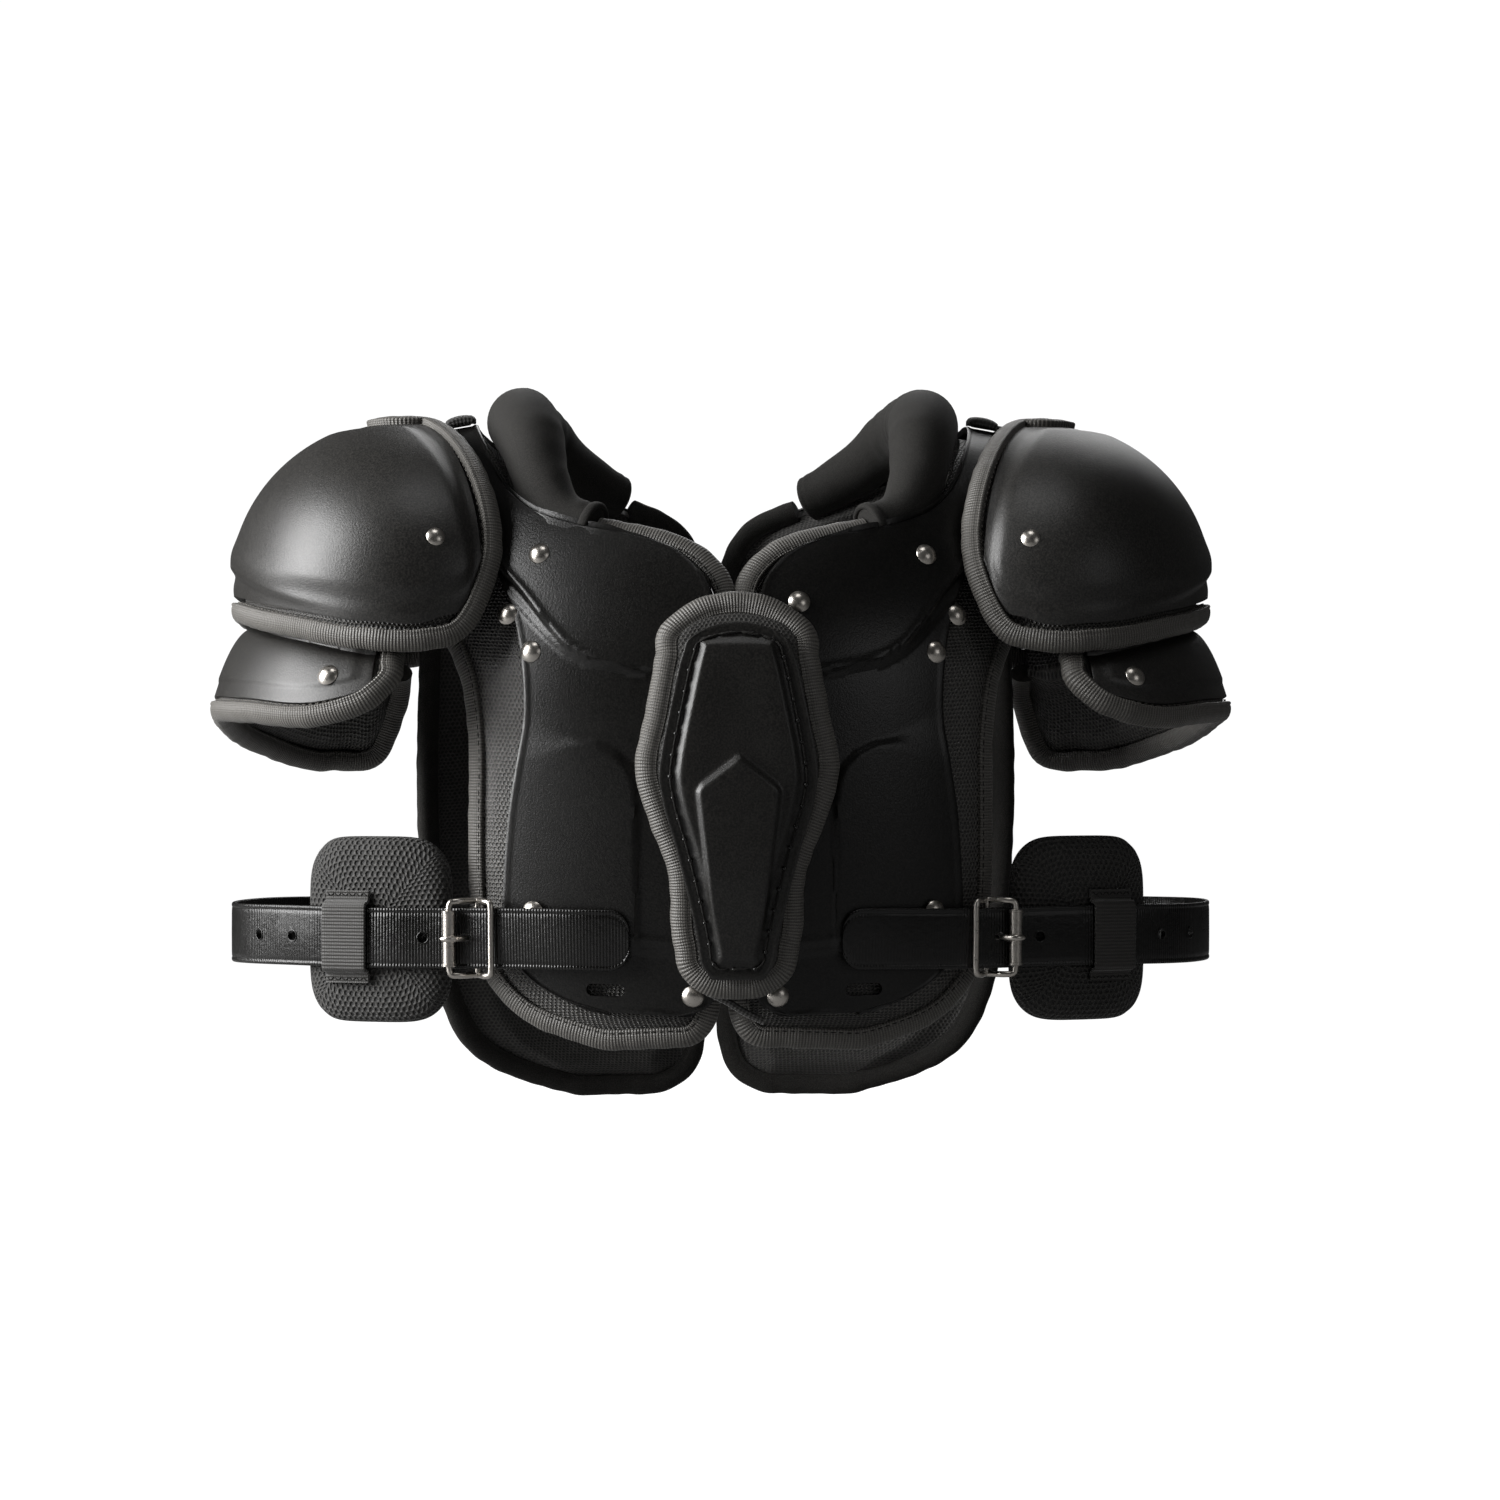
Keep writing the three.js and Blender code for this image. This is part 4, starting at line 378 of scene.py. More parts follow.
def weld(obj, reach=2e-5):
    """Joins points that lie together and turns the faces outward."""
    bm = bmesh.new()
    bm.from_mesh(obj.data)
    bmesh.ops.remove_doubles(bm, verts=bm.verts, dist=reach)
    bmesh.ops.dissolve_degenerate(bm, edges=bm.edges, dist=reach)
    bmesh.ops.recalc_face_normals(bm, faces=bm.faces)
    bm.to_mesh(obj.data)
    bm.free()
    return obj


def applied(obj, cutters=()):
    """Makes what the modifiers show into the object's own mesh, and clears its cutters away."""
    shown = obj.evaluated_get(bpy.context.evaluated_depsgraph_get())
    mesh = bpy.data.meshes.new_from_object(shown)
    obj.modifiers.clear()
    obj.data = mesh
    for cutter in cutters:
        bpy.data.objects.remove(cutter)
    return obj


def cut_with(obj, cutters):
    for cutter in cutters:
        cut = obj.modifiers.new("cut", "BOOLEAN")
        cut.operation = "DIFFERENCE"
        cut.object = cutter
        cut.solver = "EXACT"


RIM_SEGMENTS = 3
RIM_ANGLE = 68


def sheet_object(name, points, out, wall, edge, material, cutters=()):
    """A moulded sheet whose outer face is the grid, with rounded rims."""
    rows, columns = points.shape[:2]
    faces = grid_faces(rows, columns, flip=not facing(points, out))
    uv = arc_uv(points).reshape(-1, 2)[faces.ravel()]
    obj = mesh_object(name, points.reshape(-1, 3), faces.tolist(), uv)
    solidify = obj.modifiers.new("wall", "SOLIDIFY")
    solidify.thickness = wall * MM
    solidify.offset = -1
    solidify.use_even_offset = False
    cut_with(obj, cutters)
    bevel = obj.modifiers.new("edge", "BEVEL")
    bevel.width = edge * MM
    bevel.segments = RIM_SEGMENTS
    bevel.limit_method = "ANGLE"
    bevel.angle_limit = math.radians(RIM_ANGLE)
    return finish_mesh(applied(obj, cutters), material)


def slab_object(name, outer, inner, material, sharp=50):
    """A closed pad between two matching grids."""
    rows, columns = outer.shape[:2]
    count = rows * columns
    uv = arc_uv(outer).reshape(-1, 2)
    faces = [grid_faces(rows, columns), grid_faces(rows, columns, count, flip=True)]
    rim = np.concatenate([
        np.arange(columns), np.arange(1, rows) * columns + columns - 1,
        (rows - 1) * columns + np.arange(columns - 2, -1, -1), np.arange(rows - 2, 0, -1) * columns])
    after = np.roll(rim, -1)
    faces.append(np.stack([after, rim, rim + count, after + count], axis=1))
    faces = np.concatenate(faces)
    points = np.concatenate([outer.reshape(-1, 3), inner.reshape(-1, 3)])
    obj = mesh_object(name, points, faces.tolist(), np.concatenate([uv, uv])[faces.ravel()])
    weld(obj)
    return finish_mesh(obj, material, sharp)


def path_frames(points, outs, closed=False):
    """Directions along a path, sideways and outward, at right angles."""
    if closed:
        tangent = unit(np.roll(points, -1, axis=0) - np.roll(points, 1, axis=0))
    else:
        tangent = unit(np.gradient(points, axis=0))
    side = unit(np.cross(tangent, outs))
    return tangent, side, unit(np.cross(side, tangent))


def resample(points, pitch, closed=False, extra=None):
    """Even steps along a smooth curve through points, with other values carried along."""
    points = np.asarray(points, float)
    if closed:
        points = np.vstack([points[-2:], points, points[:3]])
        if extra is not None:
            extra = np.vstack([extra[-2:], extra, extra[:3]])
    t = np.linspace(0, 1, max(400, len(points) * 24))
    if closed:
        t = np.linspace(2 / (len(points) - 1), (len(points) - 3) / (len(points) - 1), len(t))
    line = spline(points, t)
    run = np.concatenate([[0], np.cumsum(np.linalg.norm(np.diff(line, axis=0), axis=1))])
    count = max(3, int(round(run[-1] / pitch)))
    at = np.linspace(0, run[-1], count + 1)
    if closed:
        at = at[:-1]
    even = np.stack([np.interp(at, run, line[:, k]) for k in range(3)], axis=1)
    if extra is None:
        return even
    carried = spline(extra, t)
    return even, np.stack([np.interp(at, run, carried[:, k]) for k in range(extra.shape[1])], axis=1)


def tube_object(name, points, outs, section, material, closed=False, sharp=60):
    """A piece with a closed section swept along points. Section rows are shares sideways and out."""
    _, side, out = path_frames(points, outs, closed)
    section = np.asarray(section, float)
    if section.ndim == 2:
        section = np.broadcast_to(section, (len(points),) + section.shape)
    ring = points[:, None, :] + side[:, None, :] * section[:, :, 0:1] + out[:, None, :] * section[:, :, 1:2]
    ring = np.concatenate([ring, ring[:, :1]], axis=1)
    if closed:
        ring = np.concatenate([ring, ring[:1]], axis=0)
    rows, columns = ring.shape[:2]
    step = np.linalg.norm(np.diff(ring.mean(axis=1), axis=0), axis=-1)
    run = np.concatenate([[0], np.cumsum(step)])[:, None] + np.zeros((rows, columns))
    round_run = np.linalg.norm(np.diff(ring, axis=1), axis=-1).mean(axis=0)
    about = np.concatenate([[0], np.cumsum(round_run)])[None, :] + np.zeros((rows, columns))
    uv = (np.stack([run, about], axis=-1) * MM).reshape(-1, 2)
    quads = grid_faces(rows, columns)
    faces = quads.tolist()
    corner = [uv[quads.ravel()]]
    if not closed:
        for first in (0, (rows - 1) * columns):
            cap = list(range(first, first + columns - 1))
            faces.append(cap)
            corner.append(uv[cap])
    obj = mesh_object(name, ring.reshape(-1, 3), faces, np.concatenate(corner))
    weld(obj)
    return finish_mesh(obj, material, sharp)


def oval(width, height, count=20, power=2.0):
    """A round section, nearer to a rectangle with a higher power."""
    turn = (np.arange(count) + 0.5) / count * 2 * math.pi
    c, s = np.cos(turn), np.sin(turn)
    return np.stack([np.sign(c) * np.abs(c) ** (2 / power) * width / 2,
                     np.sign(s) * np.abs(s) ** (2 / power) * height / 2], axis=1)


# Shared shader effects, each a node group built once

class Tree:
    """Short ways to add and join nodes."""

    def __init__(self, tree):
        self.tree = tree

    def node(self, kind, **settings):
        node = self.tree.nodes.new(kind)
        for key, value in settings.items():
            setattr(node, key, value)
        return node

    def join(self, source, socket):
        if hasattr(source, "is_output"):
            self.tree.links.new(source, socket)
        else:
            socket.default_value = source

    def math(self, operation, *values):
        node = self.node("ShaderNodeMath", operation=operation)
        for value, socket in zip(values, node.inputs):
            self.join(value, socket)
        return node.outputs[0]

    def remap(self, value, low, high, to_low=0.0, to_high=1.0):
        node = self.node("ShaderNodeMapRange", interpolation_type="SMOOTHSTEP")
        for source, socket in zip((value, low, high, to_low, to_high), node.inputs):
            self.join(source, socket)
        return node.outputs[0]

    def noise(self, vector, scale, detail=2.0, roughness=0.5):
        node = self.node("ShaderNodeTexNoise")
        self.join(vector, node.inputs["Vector"])
        self.join(scale, node.inputs["Scale"])
        self.join(detail, node.inputs["Detail"])
        self.join(roughness, node.inputs["Roughness"])
        return node.outputs["Fac"]

    def blend(self, share, a, b):
        node = self.node("ShaderNodeMix", data_type="RGBA", blend_type="MIX")
        self.join(share, node.inputs[0])
        self.join(a, node.inputs[6])
        self.join(b, node.inputs[7])
        return node.outputs[2]


FLOAT, VECTOR = "NodeSocketFloat", "NodeSocketVector"
SHADER, GEOMETRY = "ShaderNodeTree", "GeometryNodeTree"


def node_group(name, inputs, outputs, kind=SHADER):
    tree = bpy.data.node_groups.new(name, kind)
    for label, socket_kind, value in inputs:
        socket = tree.interface.new_socket(label, in_out="INPUT", socket_type=socket_kind)
        if value is not None:
            socket.default_value = value
    for label, socket_kind in outputs:
        tree.interface.new_socket(label, in_out="OUTPUT", socket_type=socket_kind)
    t = Tree(tree)
    return t, t.node("NodeGroupInput").outputs, t.node("NodeGroupOutput").inputs


HOLE_ROW_STEP = 0.87
HOLE_RIM = 1.45
HOLE_DRIFT = 0.5


def mesh_weave_group():
    """Rows of staggered round holes in a knitted cloth."""
    t, given, made = node_group("Air mesh", [
        ("Place", VECTOR, None), ("Pitch", FLOAT, 0.0016), ("Hole", FLOAT, 0.3)],
        [("Hole", FLOAT), ("Height", FLOAT), ("Strand", FLOAT)])
    parts = t.node("ShaderNodeSeparateXYZ")
    t.join(given["Place"], parts.inputs[0])
    wobble = t.noise(given["Place"], 260.0, 1.0)
    drift = t.math("MULTIPLY", t.math("SUBTRACT", wobble, 0.5), HOLE_DRIFT)
    row_pitch = t.math("MULTIPLY", given["Pitch"], HOLE_ROW_STEP)
    v = t.math("ADD", t.math("DIVIDE", parts.outputs[1], row_pitch), drift)
    row = t.math("FLOOR", v)
    stagger = t.math("MULTIPLY", t.math("MODULO", t.math("ABSOLUTE", row), 2.0), 0.5)
    u = t.math("ADD", t.math("ADD", t.math("DIVIDE", parts.outputs[0], given["Pitch"]), stagger), drift)
    du = t.math("SUBTRACT", t.math("FRACT", u), 0.5)
    dv = t.math("MULTIPLY", t.math("SUBTRACT", t.math("FRACT", v), 0.5), HOLE_ROW_STEP)
    away = t.math("SQRT", t.math("ADD", t.math("MULTIPLY", du, du), t.math("MULTIPLY", dv, dv)))
    edge = t.math("MULTIPLY", given["Hole"], HOLE_RIM)
    t.join(t.remap(away, given["Hole"], edge, 1.0, 0.0), made["Hole"])
    t.join(t.remap(away, t.math("MULTIPLY", given["Hole"], 0.6), 0.52), made["Height"])
    fine = t.noise(given["Place"], 5200.0, 1.0)
    t.join(t.remap(fine, 0.52, 0.74), made["Strand"])
    return t.tree


def ribs_group():
    """Fine even ribs across a tape, with a finer cross weave, and a tone that paints shade into the rib valleys,
    mixed with random fuzz.
    """
    t, given, made = node_group("Ribs", [
        ("Place", VECTOR, None), ("Pitch", FLOAT, 0.0009), ("Cross", FLOAT, 0.35)],
        [("Height", FLOAT), ("Rib shade and fuzz", FLOAT)])
    parts = t.node("ShaderNodeSeparateXYZ")
    t.join(given["Place"], parts.inputs[0])
    turn = t.math("MULTIPLY", t.math("DIVIDE", parts.outputs[0], given["Pitch"]), 2 * math.pi)
    wave = t.math("ADD", t.math("MULTIPLY", t.math("SINE", turn), 0.5), 0.5)
    cross = t.math("MULTIPLY", t.math("DIVIDE", parts.outputs[1], given["Pitch"]), 2 * math.pi * 1.3)
    weave = t.math("ADD", t.math("MULTIPLY", t.math("SINE", cross), 0.5), 0.5)
    height = t.math("ADD", t.math("MULTIPLY", wave, t.math("SUBTRACT", 1.0, given["Cross"])),
                    t.math("MULTIPLY", weave, given["Cross"]))
    t.join(height, made["Height"])
    fuzz = t.noise(given["Place"], 2600.0, 2.0)
    # The tone follows the rib height, so the valleys get painted shade and the crests painted light; the fuzz is
    # random tone.
    t.join(t.math("MULTIPLY", t.math("ADD", height, fuzz), 0.5), made["Rib shade and fuzz"])
    return t.tree


def grain_group():
    """Fine moulded or fabric grain with broad slow unevenness."""
    t, given, made = node_group("Grain", [
        ("Place", VECTOR, None), ("Scale", FLOAT, 1800.0)],
        [("Fine", FLOAT), ("Broad", FLOAT)])
    t.join(t.noise(given["Place"], given["Scale"], 2.0, 0.6), made["Fine"])
    t.join(t.noise(given["Place"], 14.0, 3.0, 0.55), made["Broad"])
    return t.tree


MESH_WEAVE = mesh_weave_group()
RIBS = ribs_group()
GRAIN = grain_group()


def place(t, kind):
    return t.node("ShaderNodeTexCoord").outputs[kind]


def use_group(t, tree, **values):
    node = t.node("ShaderNodeGroup", node_tree=tree)
    for key, value in values.items():
        t.join(value, node.inputs[key.capitalize()])
    return node.outputs


COAT_ROUGHNESS = 0.12
SHEEN_ROUGHNESS = 0.4


def start_material(name, color, roughness, metallic=0.0, coat=0.0, sheen=0.0, specular=0.5):
    material = bpy.data.materials.new(name)
    material.use_nodes = True
    inputs = material.node_tree.nodes["Principled BSDF"].inputs
    values = {"Base Color": (*color, 1), "Roughness": roughness, "Metallic": metallic, "Coat Weight": coat,
              "Coat Roughness": COAT_ROUGHNESS, "Sheen Weight": sheen, "Sheen Roughness": SHEEN_ROUGHNESS,
              "Specular IOR Level": specular}
    for label, value in values.items():
        inputs[label].default_value = value
    material.diffuse_color = (*color, 1)
    return material, Tree(material.node_tree), inputs


def bump(t, inputs, height, distance, strength=1.0):
    node = t.node("ShaderNodeBump")
    node.inputs["Strength"].default_value = strength
    node.inputs["Distance"].default_value = distance
    t.join(height, node.inputs["Height"])
    t.join(node.outputs[0], inputs["Normal"])


WARMTH = 0.06
COOLING = 1.6


def grey(level):
    """A slightly warm grey."""
    return (level * (1 + WARMTH), level, level * (1 - WARMTH * COOLING))


def tinted(t, inputs, share, low, high):
    t.join(t.blend(share, (*low, 1), (*high, 1)), inputs["Base Color"])


def shell_material(name, level, specular, rough):
    material, t, inputs = start_material(name, grey(level), rough, specular=specular)
    grain = use_group(t, GRAIN, place=place(t, "Object"), scale=1300.0)
    t.join(t.remap(grain["Broad"], 0.3, 0.7, rough - 0.03, rough + 0.04), inputs["Roughness"])
    tinted(t, inputs, t.remap(grain["Fine"], 0.35, 0.68), grey(level * 0.45), grey(level * 1.9))
    bump(t, inputs, grain["Fine"], 0.00016, 0.7)
    return material


BRIGHT_STRAND = 3.2


def weave_material(name, pitch, low, high, depth, roughness=0.7, sheen=0.1, specular=0.5, hole=0.24):
    material, t, inputs = start_material(name, high, roughness, sheen=sheen, specular=specular)
    weave = use_group(t, MESH_WEAVE, place=place(t, "UV"), pitch=pitch, hole=hole)
    thread = t.blend(weave["Strand"], (*high, 1), (*[c * BRIGHT_STRAND for c in high], 1))
    t.join(t.blend(weave["Hole"], thread, (*low, 1)), inputs["Base Color"])
    bump(t, inputs, weave["Height"], depth)
    return material


def ribbed_material(name, pitch, low, high, depth, cross, roughness=0.62, sheen=0.25):
    material, t, inputs = start_material(name, high, roughness, sheen=sheen)
    ribs = use_group(t, RIBS, place=place(t, "UV"), pitch=pitch, cross=cross)
    # Base colour from the rib tone: painted shade in the rib valleys, with random fuzz.
    tinted(t, inputs, ribs["Rib shade and fuzz"], low, high)
    bump(t, inputs, ribs["Height"], depth)
    return material


def fleece_material(name, level):
    material, t, inputs = start_material(name, grey(level), 0.85, sheen=0.04, specular=0.25)
    grain = use_group(t, GRAIN, place=place(t, "Object"), scale=2600.0)
    tinted(t, inputs, t.remap(grain["Fine"], 0.35, 0.7), grey(level * 0.55), grey(level * 1.9))
    bump(t, inputs, grain["Fine"], 0.00012)
    return material


def vinyl_material():
    material, t, inputs = start_material("Ribbed vinyl", grey(0.004), 0.24, coat=0.1, specular=0.35)
    ribs = use_group(t, RIBS, place=place(t, "UV"), pitch=0.0013, cross=0.0)
    grain = use_group(t, GRAIN, place=place(t, "Object"), scale=420.0)
    t.join(t.remap(grain["Broad"], 0.3, 0.7, 0.2, 0.36), inputs["Roughness"])
    uneven = t.math("ADD", t.math("MULTIPLY", ribs["Height"], 0.6), t.math("MULTIPLY", grain["Fine"], 0.8))
    bump(t, inputs, uneven, 0.00022)
    return material


def nickel_material():
    material, t, inputs = start_material("Nickel", (0.52, 0.49, 0.45), 0.3, metallic=1.0)
    grain = use_group(t, GRAIN, place=place(t, "Object"), scale=700.0)
    t.join(t.remap(grain["Fine"], 0.3, 0.75, 0.27, 0.34), inputs["Roughness"])
    return material


SHELL = shell_material("Satin shell", 0.009, 0.42, 0.37)
PLATE_SHELL = shell_material("Satin plate", 0.004, 0.34, 0.32)
CAP_SHELL = shell_material("Satin cap", 0.012, 0.5, 0.42)
AIR_MESH = weave_material("Air mesh cloth", 0.0019, grey(0.002), grey(0.045), 0.0005, roughness=0.48,
                          sheen=0.0, specular=0.8)
BACK_MESH = weave_material("Back mesh cloth", 0.0019, grey(0.004), grey(0.024), 0.0002)
CHUNKY_MESH = weave_material("Chunky mesh cloth", 0.0025, grey(0.002), grey(0.018), 0.0008)
BINDING = ribbed_material("Grosgrain edging", 0.00125, grey(0.003), grey(0.15), 0.00032, 0.2,
                          roughness=0.5, sheen=0.08)
DARK_BINDING = fleece_material("Dark edging", 0.014)
FLEECE = fleece_material("Fine fleece", 0.012)
WEBBING = ribbed_material("Webbing", 0.0016, grey(0.006), grey(0.022), 0.0003, 0.45)
ELASTIC = ribbed_material("Elastic", 0.0014, grey(0.008), grey(0.04), 0.0003, 0.15)
VINYL = vinyl_material()
NICKEL = nickel_material()
THREAD = fleece_material("Black thread", 0.008)
PALE_THREAD = fleece_material("Grey thread", 0.09)


# Repeated small shapes, placed by one geometry node group

def placing_group():
    """Stands a shape on every point, turned to the point's own directions and sizes."""
    t, given, made = node_group("Place shapes", [
        ("Geometry", "NodeSocketGeometry", None), ("Shape", "NodeSocketObject", None),
        ("Uneven size", FLOAT, None), ("Seed", "NodeSocketInt", None),
        ("Material", "NodeSocketMaterial", None)],
        [("Geometry", "NodeSocketGeometry")], GEOMETRY)

    def named(label):
        node = t.node("GeometryNodeInputNamedAttribute", data_type="FLOAT_VECTOR")
        node.inputs["Name"].default_value = label
        return node.outputs["Attribute"]

    info = t.node("GeometryNodeObjectInfo")
    t.join(given["Shape"], info.inputs["Object"])
    turn = t.node("FunctionNodeAxesToRotation", primary_axis="Z", secondary_axis="X")
    t.join(named("out"), turn.inputs["Primary Axis"])
    t.join(named("run"), turn.inputs["Secondary Axis"])
    uneven = t.node("FunctionNodeRandomValue", data_type="FLOAT")
    low = t.math("SUBTRACT", 1.0, given["Uneven size"])
    t.join(low, uneven.inputs[2])
    t.join(t.math("ADD", 1.0, given["Uneven size"]), uneven.inputs[3])
    t.join(given["Seed"], uneven.inputs["Seed"])
    size = t.node("ShaderNodeVectorMath", operation="SCALE")
    t.join(named("size"), size.inputs[0])
    t.join(uneven.outputs[1], size.inputs["Scale"])
    instance = t.node("GeometryNodeInstanceOnPoints")
    t.join(given["Geometry"], instance.inputs["Points"])
    t.join(info.outputs["Geometry"], instance.inputs["Instance"])
    t.join(turn.outputs[0], instance.inputs["Rotation"])
    t.join(size.outputs[0], instance.inputs["Scale"])
    real = t.node("GeometryNodeRealizeInstances")
    t.join(instance.outputs[0], real.inputs[0])
    paint = t.node("GeometryNodeSetMaterial")
    t.join(real.outputs[0], paint.inputs["Geometry"])
    t.join(given["Material"], paint.inputs["Material"])
    t.join(paint.outputs[0], made["Geometry"])
    return t.tree


PLACING = placing_group()
PLACING_SEED = 7


def place_shapes(name, shape, points, outs, runs, sizes, material, uneven=0.04):
    """A copy of a shape on each point, stood on its outward direction and turned to its run."""
    obj = mesh_object(name, points, [])
    for label, rows in (("out", outs), ("run", runs), ("size", np.broadcast_to(sizes, points.shape))):
        attribute = obj.data.attributes.new(label, "FLOAT_VECTOR", "POINT")
        attribute.data.foreach_set("vector", np.ascontiguousarray(rows, np.float32).ravel())
    modifier = obj.modifiers.new("place", "NODES")
    modifier.node_group = PLACING
    values = {"Shape": shape, "Uneven size": uneven, "Seed": PLACING_SEED, "Material": material}
    for item in PLACING.interface.items_tree:
        if item.in_out == "INPUT" and item.name in values:
            modifier[item.identifier] = values[item.name]
    applied(obj)
    return finish_mesh(obj, material, 50)


def lathe_shape(name, profile, turns):
    """A round shape in millimetre units of its own, kept out of the picture."""
    profile = np.asarray(profile, float)
    turn = np.arange(turns) / turns * 2 * math.pi
    ring = np.stack([profile[:, None, 0] * np.cos(turn), profile[:, None, 0] * np.sin(turn),
                     profile[:, None, 1] + np.zeros(turns)], axis=-1)
    ring = np.concatenate([ring, ring[:, :1]], axis=1)
    faces = grid_faces(len(profile), turns + 1)
    obj = mesh_object(name, ring.reshape(-1, 3), faces.tolist())
    weld(obj, 1e-7)
    obj.data.shade_smooth()
    obj.data.set_sharp_from_angle(angle=math.radians(55))
    obj.hide_render = True
    obj.hide_viewport = True
    return obj


RIVET_PROFILE = ((0, 2.2), (0.8, 2.15), (1.6, 2.0), (2.4, 1.72), (3.1, 1.35), (3.7, 0.9), (4.2, 0.42),
                 (4.5, 0.12), (4.55, 0))
STITCH_PROFILE = ((0, 0.5), (0.3, 0.42), (0.47, 0.22), (0.5, 0), (0.47, -0.22), (0.3, -0.42), (0, -0.5))
RIVET_SHAPE = lathe_shape("shape_rivet", RIVET_PROFILE, 28)
STITCH_SHAPE = lathe_shape("shape_stitch", STITCH_PROFILE, 10)


def keep(obj, nodes):
    """Puts a finished piece on the object's body, for the CAD nodes that it stands for."""
    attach(obj, "root")
    if nodes:
        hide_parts(*nodes)
    return obj


def on_both_sides(*makers):
    """Runs functions of a side's name and sign for the right side, then the left."""
    for name, sign in SIDES.items():
        for maker in makers:
            maker(name, sign)


def stitch_line(name, points, outs, pitch, length, width, material=None, closed=False, zigzag=0.0):
    """A row of stitches along a path."""
    even, up = resample(points, pitch, closed, outs)
    tangent, side, out = path_frames(even, unit(up), closed)
    if zigzag:
        swing = np.where(np.arange(len(even)) % 2 == 0, 1.0, -1.0)[:, None]
        tangent = unit(tangent + side * swing * zigzag)
    sizes = np.array([length, width, width * 0.8])
    stitches = place_shapes(name, STITCH_SHAPE, even, out, tangent, sizes, material or THREAD)
    return keep(stitches, [])


# Hard plates

PLATE_ENDS = plate_ends()
CLAVICLE_UPPER = ((115, -8), (95.3, -37.4), (83.6, -51.1), (75.6, -62), (67.7, -71.2), (59.9, -76),
                  (50, -79.2), (34.3, -81.9), (10, -84))
CLAVICLE_LOWER = ((115, -17), (95.3, -46.7), (83.5, -58.6), (74.6, -68.6), (67.7, -74.6), (59.9, -78.6),
                  (50, -81.2), (34.3, -83.2), (10, -85))
ARCH_LINE = ((39.4, -215), (39.4, -133.5), (40.6, -125.3), (42.6, -119.9), (48, -114), (55.4, -110.3),
             (65, -108.7), (95, -106))
HEM_RIDGE_HEIGHT = -192.5
PANEL_STEP = 2.3
SECOND_STEP = 1.4
LOWER_PANEL = 1.5
HEM_STEP = 1.0
PLATE_LIP = 0.45
PANEL_WELT = 0.6
WELT_PLACE = 1.4
WELT_SIZE = 1.3
SLOT_PLACE = (52, -210.5)
SLOT_LENGTH = 16
SLOT_WIDTH = 5
PLATE_RIM = 0.85
PLATE_COLUMNS = 72
FRONT_PITCH = 1.3
BACK_PITCH = 5.0


def line_distance(x, z, line):
    """Signed distance from a line in the front view, positive to the left of its run."""
    line = np.asarray(line, float)
    best = np.full(x.shape, 1e9)
    sign = np.ones(x.shape)
    for a, b in zip(line[:-1], line[1:]):
        run = b - a
        t = np.clip(((x - a[0]) * run[0] + (z - a[1]) * run[1]) / (run @ run), 0, 1)
        dx, dz = x - (a[0] + run[0] * t), z - (a[1] + run[1] * t)
        d = np.hypot(dx, dz)
        left = np.where(run[0] * dz - run[1] * dx > 0, 1.0, -1.0)
        closer = d < best
        best, sign = np.where(closer, d, best), np.where(closer, left, sign)
    return best * sign


def ramp(distance, width):
    """From 0 to 1 over a width, half way up where the distance is 0."""
    return smooth(distance / width + 0.5)


def bell(distance, width):
    return np.exp(-(distance / width) ** 2)


def plate_relief(along, across):
    """Raised panels on the chest side of a plate."""
    base = form_base(along, across)
    x, z = base[..., 0], base[..., 2]
    chest = smooth((10 - z) / 30) * (np.asarray(along) < 0)
    upper, under = line_distance(x, z, CLAVICLE_UPPER), line_distance(x, z, CLAVICLE_LOWER)
    panel = PANEL_STEP * ramp(-upper, 2.0) + SECOND_STEP * ramp(-under, 1.3)
    panel = panel + PANEL_WELT * bell(upper + WELT_PLACE, WELT_SIZE)
    blur = mix(1.8, 22, smooth((x - 58) / 26))
    lower = LOWER_PANEL * ramp(-line_distance(x, z, ARCH_LINE), blur)
    ridge = HEM_RIDGE_HEIGHT + (x - 26) * 0.12
    hem = HEM_STEP * (ramp(z - ridge, 1.6) + ramp(z - ridge + 4, 1.6))
    hem = hem + PANEL_WELT * bell(z - ridge - WELT_PLACE, WELT_SIZE)
    return chest * (panel + hem * 0.5 + lower * ramp(z - ridge + 2, 4))


def even_rows(ends):
    """Rows of a plate at an even pitch, finer on the chest than on the back."""
    rows = fine_rows(ends, 40)
    along, across = row_grid(rows, [0.5])
    points = form_base(along[:, 0], across[:, 0])
    step = np.linalg.norm(np.diff(points, axis=0), axis=1)
    front = ((rows[1:, 2] + rows[1:, 3]) / 2 < -0.02)
    run = np.concatenate([[0], np.cumsum(step / np.where(front, FRONT_PITCH, BACK_PITCH))])
    at = np.linspace(0, run[-1], int(round(run[-1])) + 1)
    return np.stack([np.interp(at, run, rows[:, k]) for k in range(4)], axis=1)


def plate_seat(sign, x, height, lift=0.0):
    """Where something stands on a plate's chest side, and its directions there."""
    along = along_at_height(height, x, -1)
    return form_seat(sign, along, x, PLATE_WALL + plate_relief(along, np.asarray(x, float)) + lift)


def peg_cutter(rings, outs, low, high):
    """Pegs in one mesh, each with a ring of points as its section, from low to high along its out."""
    points, faces = [], []
    for ring, out in zip(rings, outs):
        count = len(ring)
        first = list(range(len(points), len(points) + count))
        last = [k + count for k in first]
        points.extend([*(ring + out * low), *(ring + out * high)])
        faces += [first[::-1], last]
        faces += [[first[k - 1], first[k], last[k], last[k - 1]] for k in range(count)]
    return weld(mesh_object("cutter", np.array(points), faces))


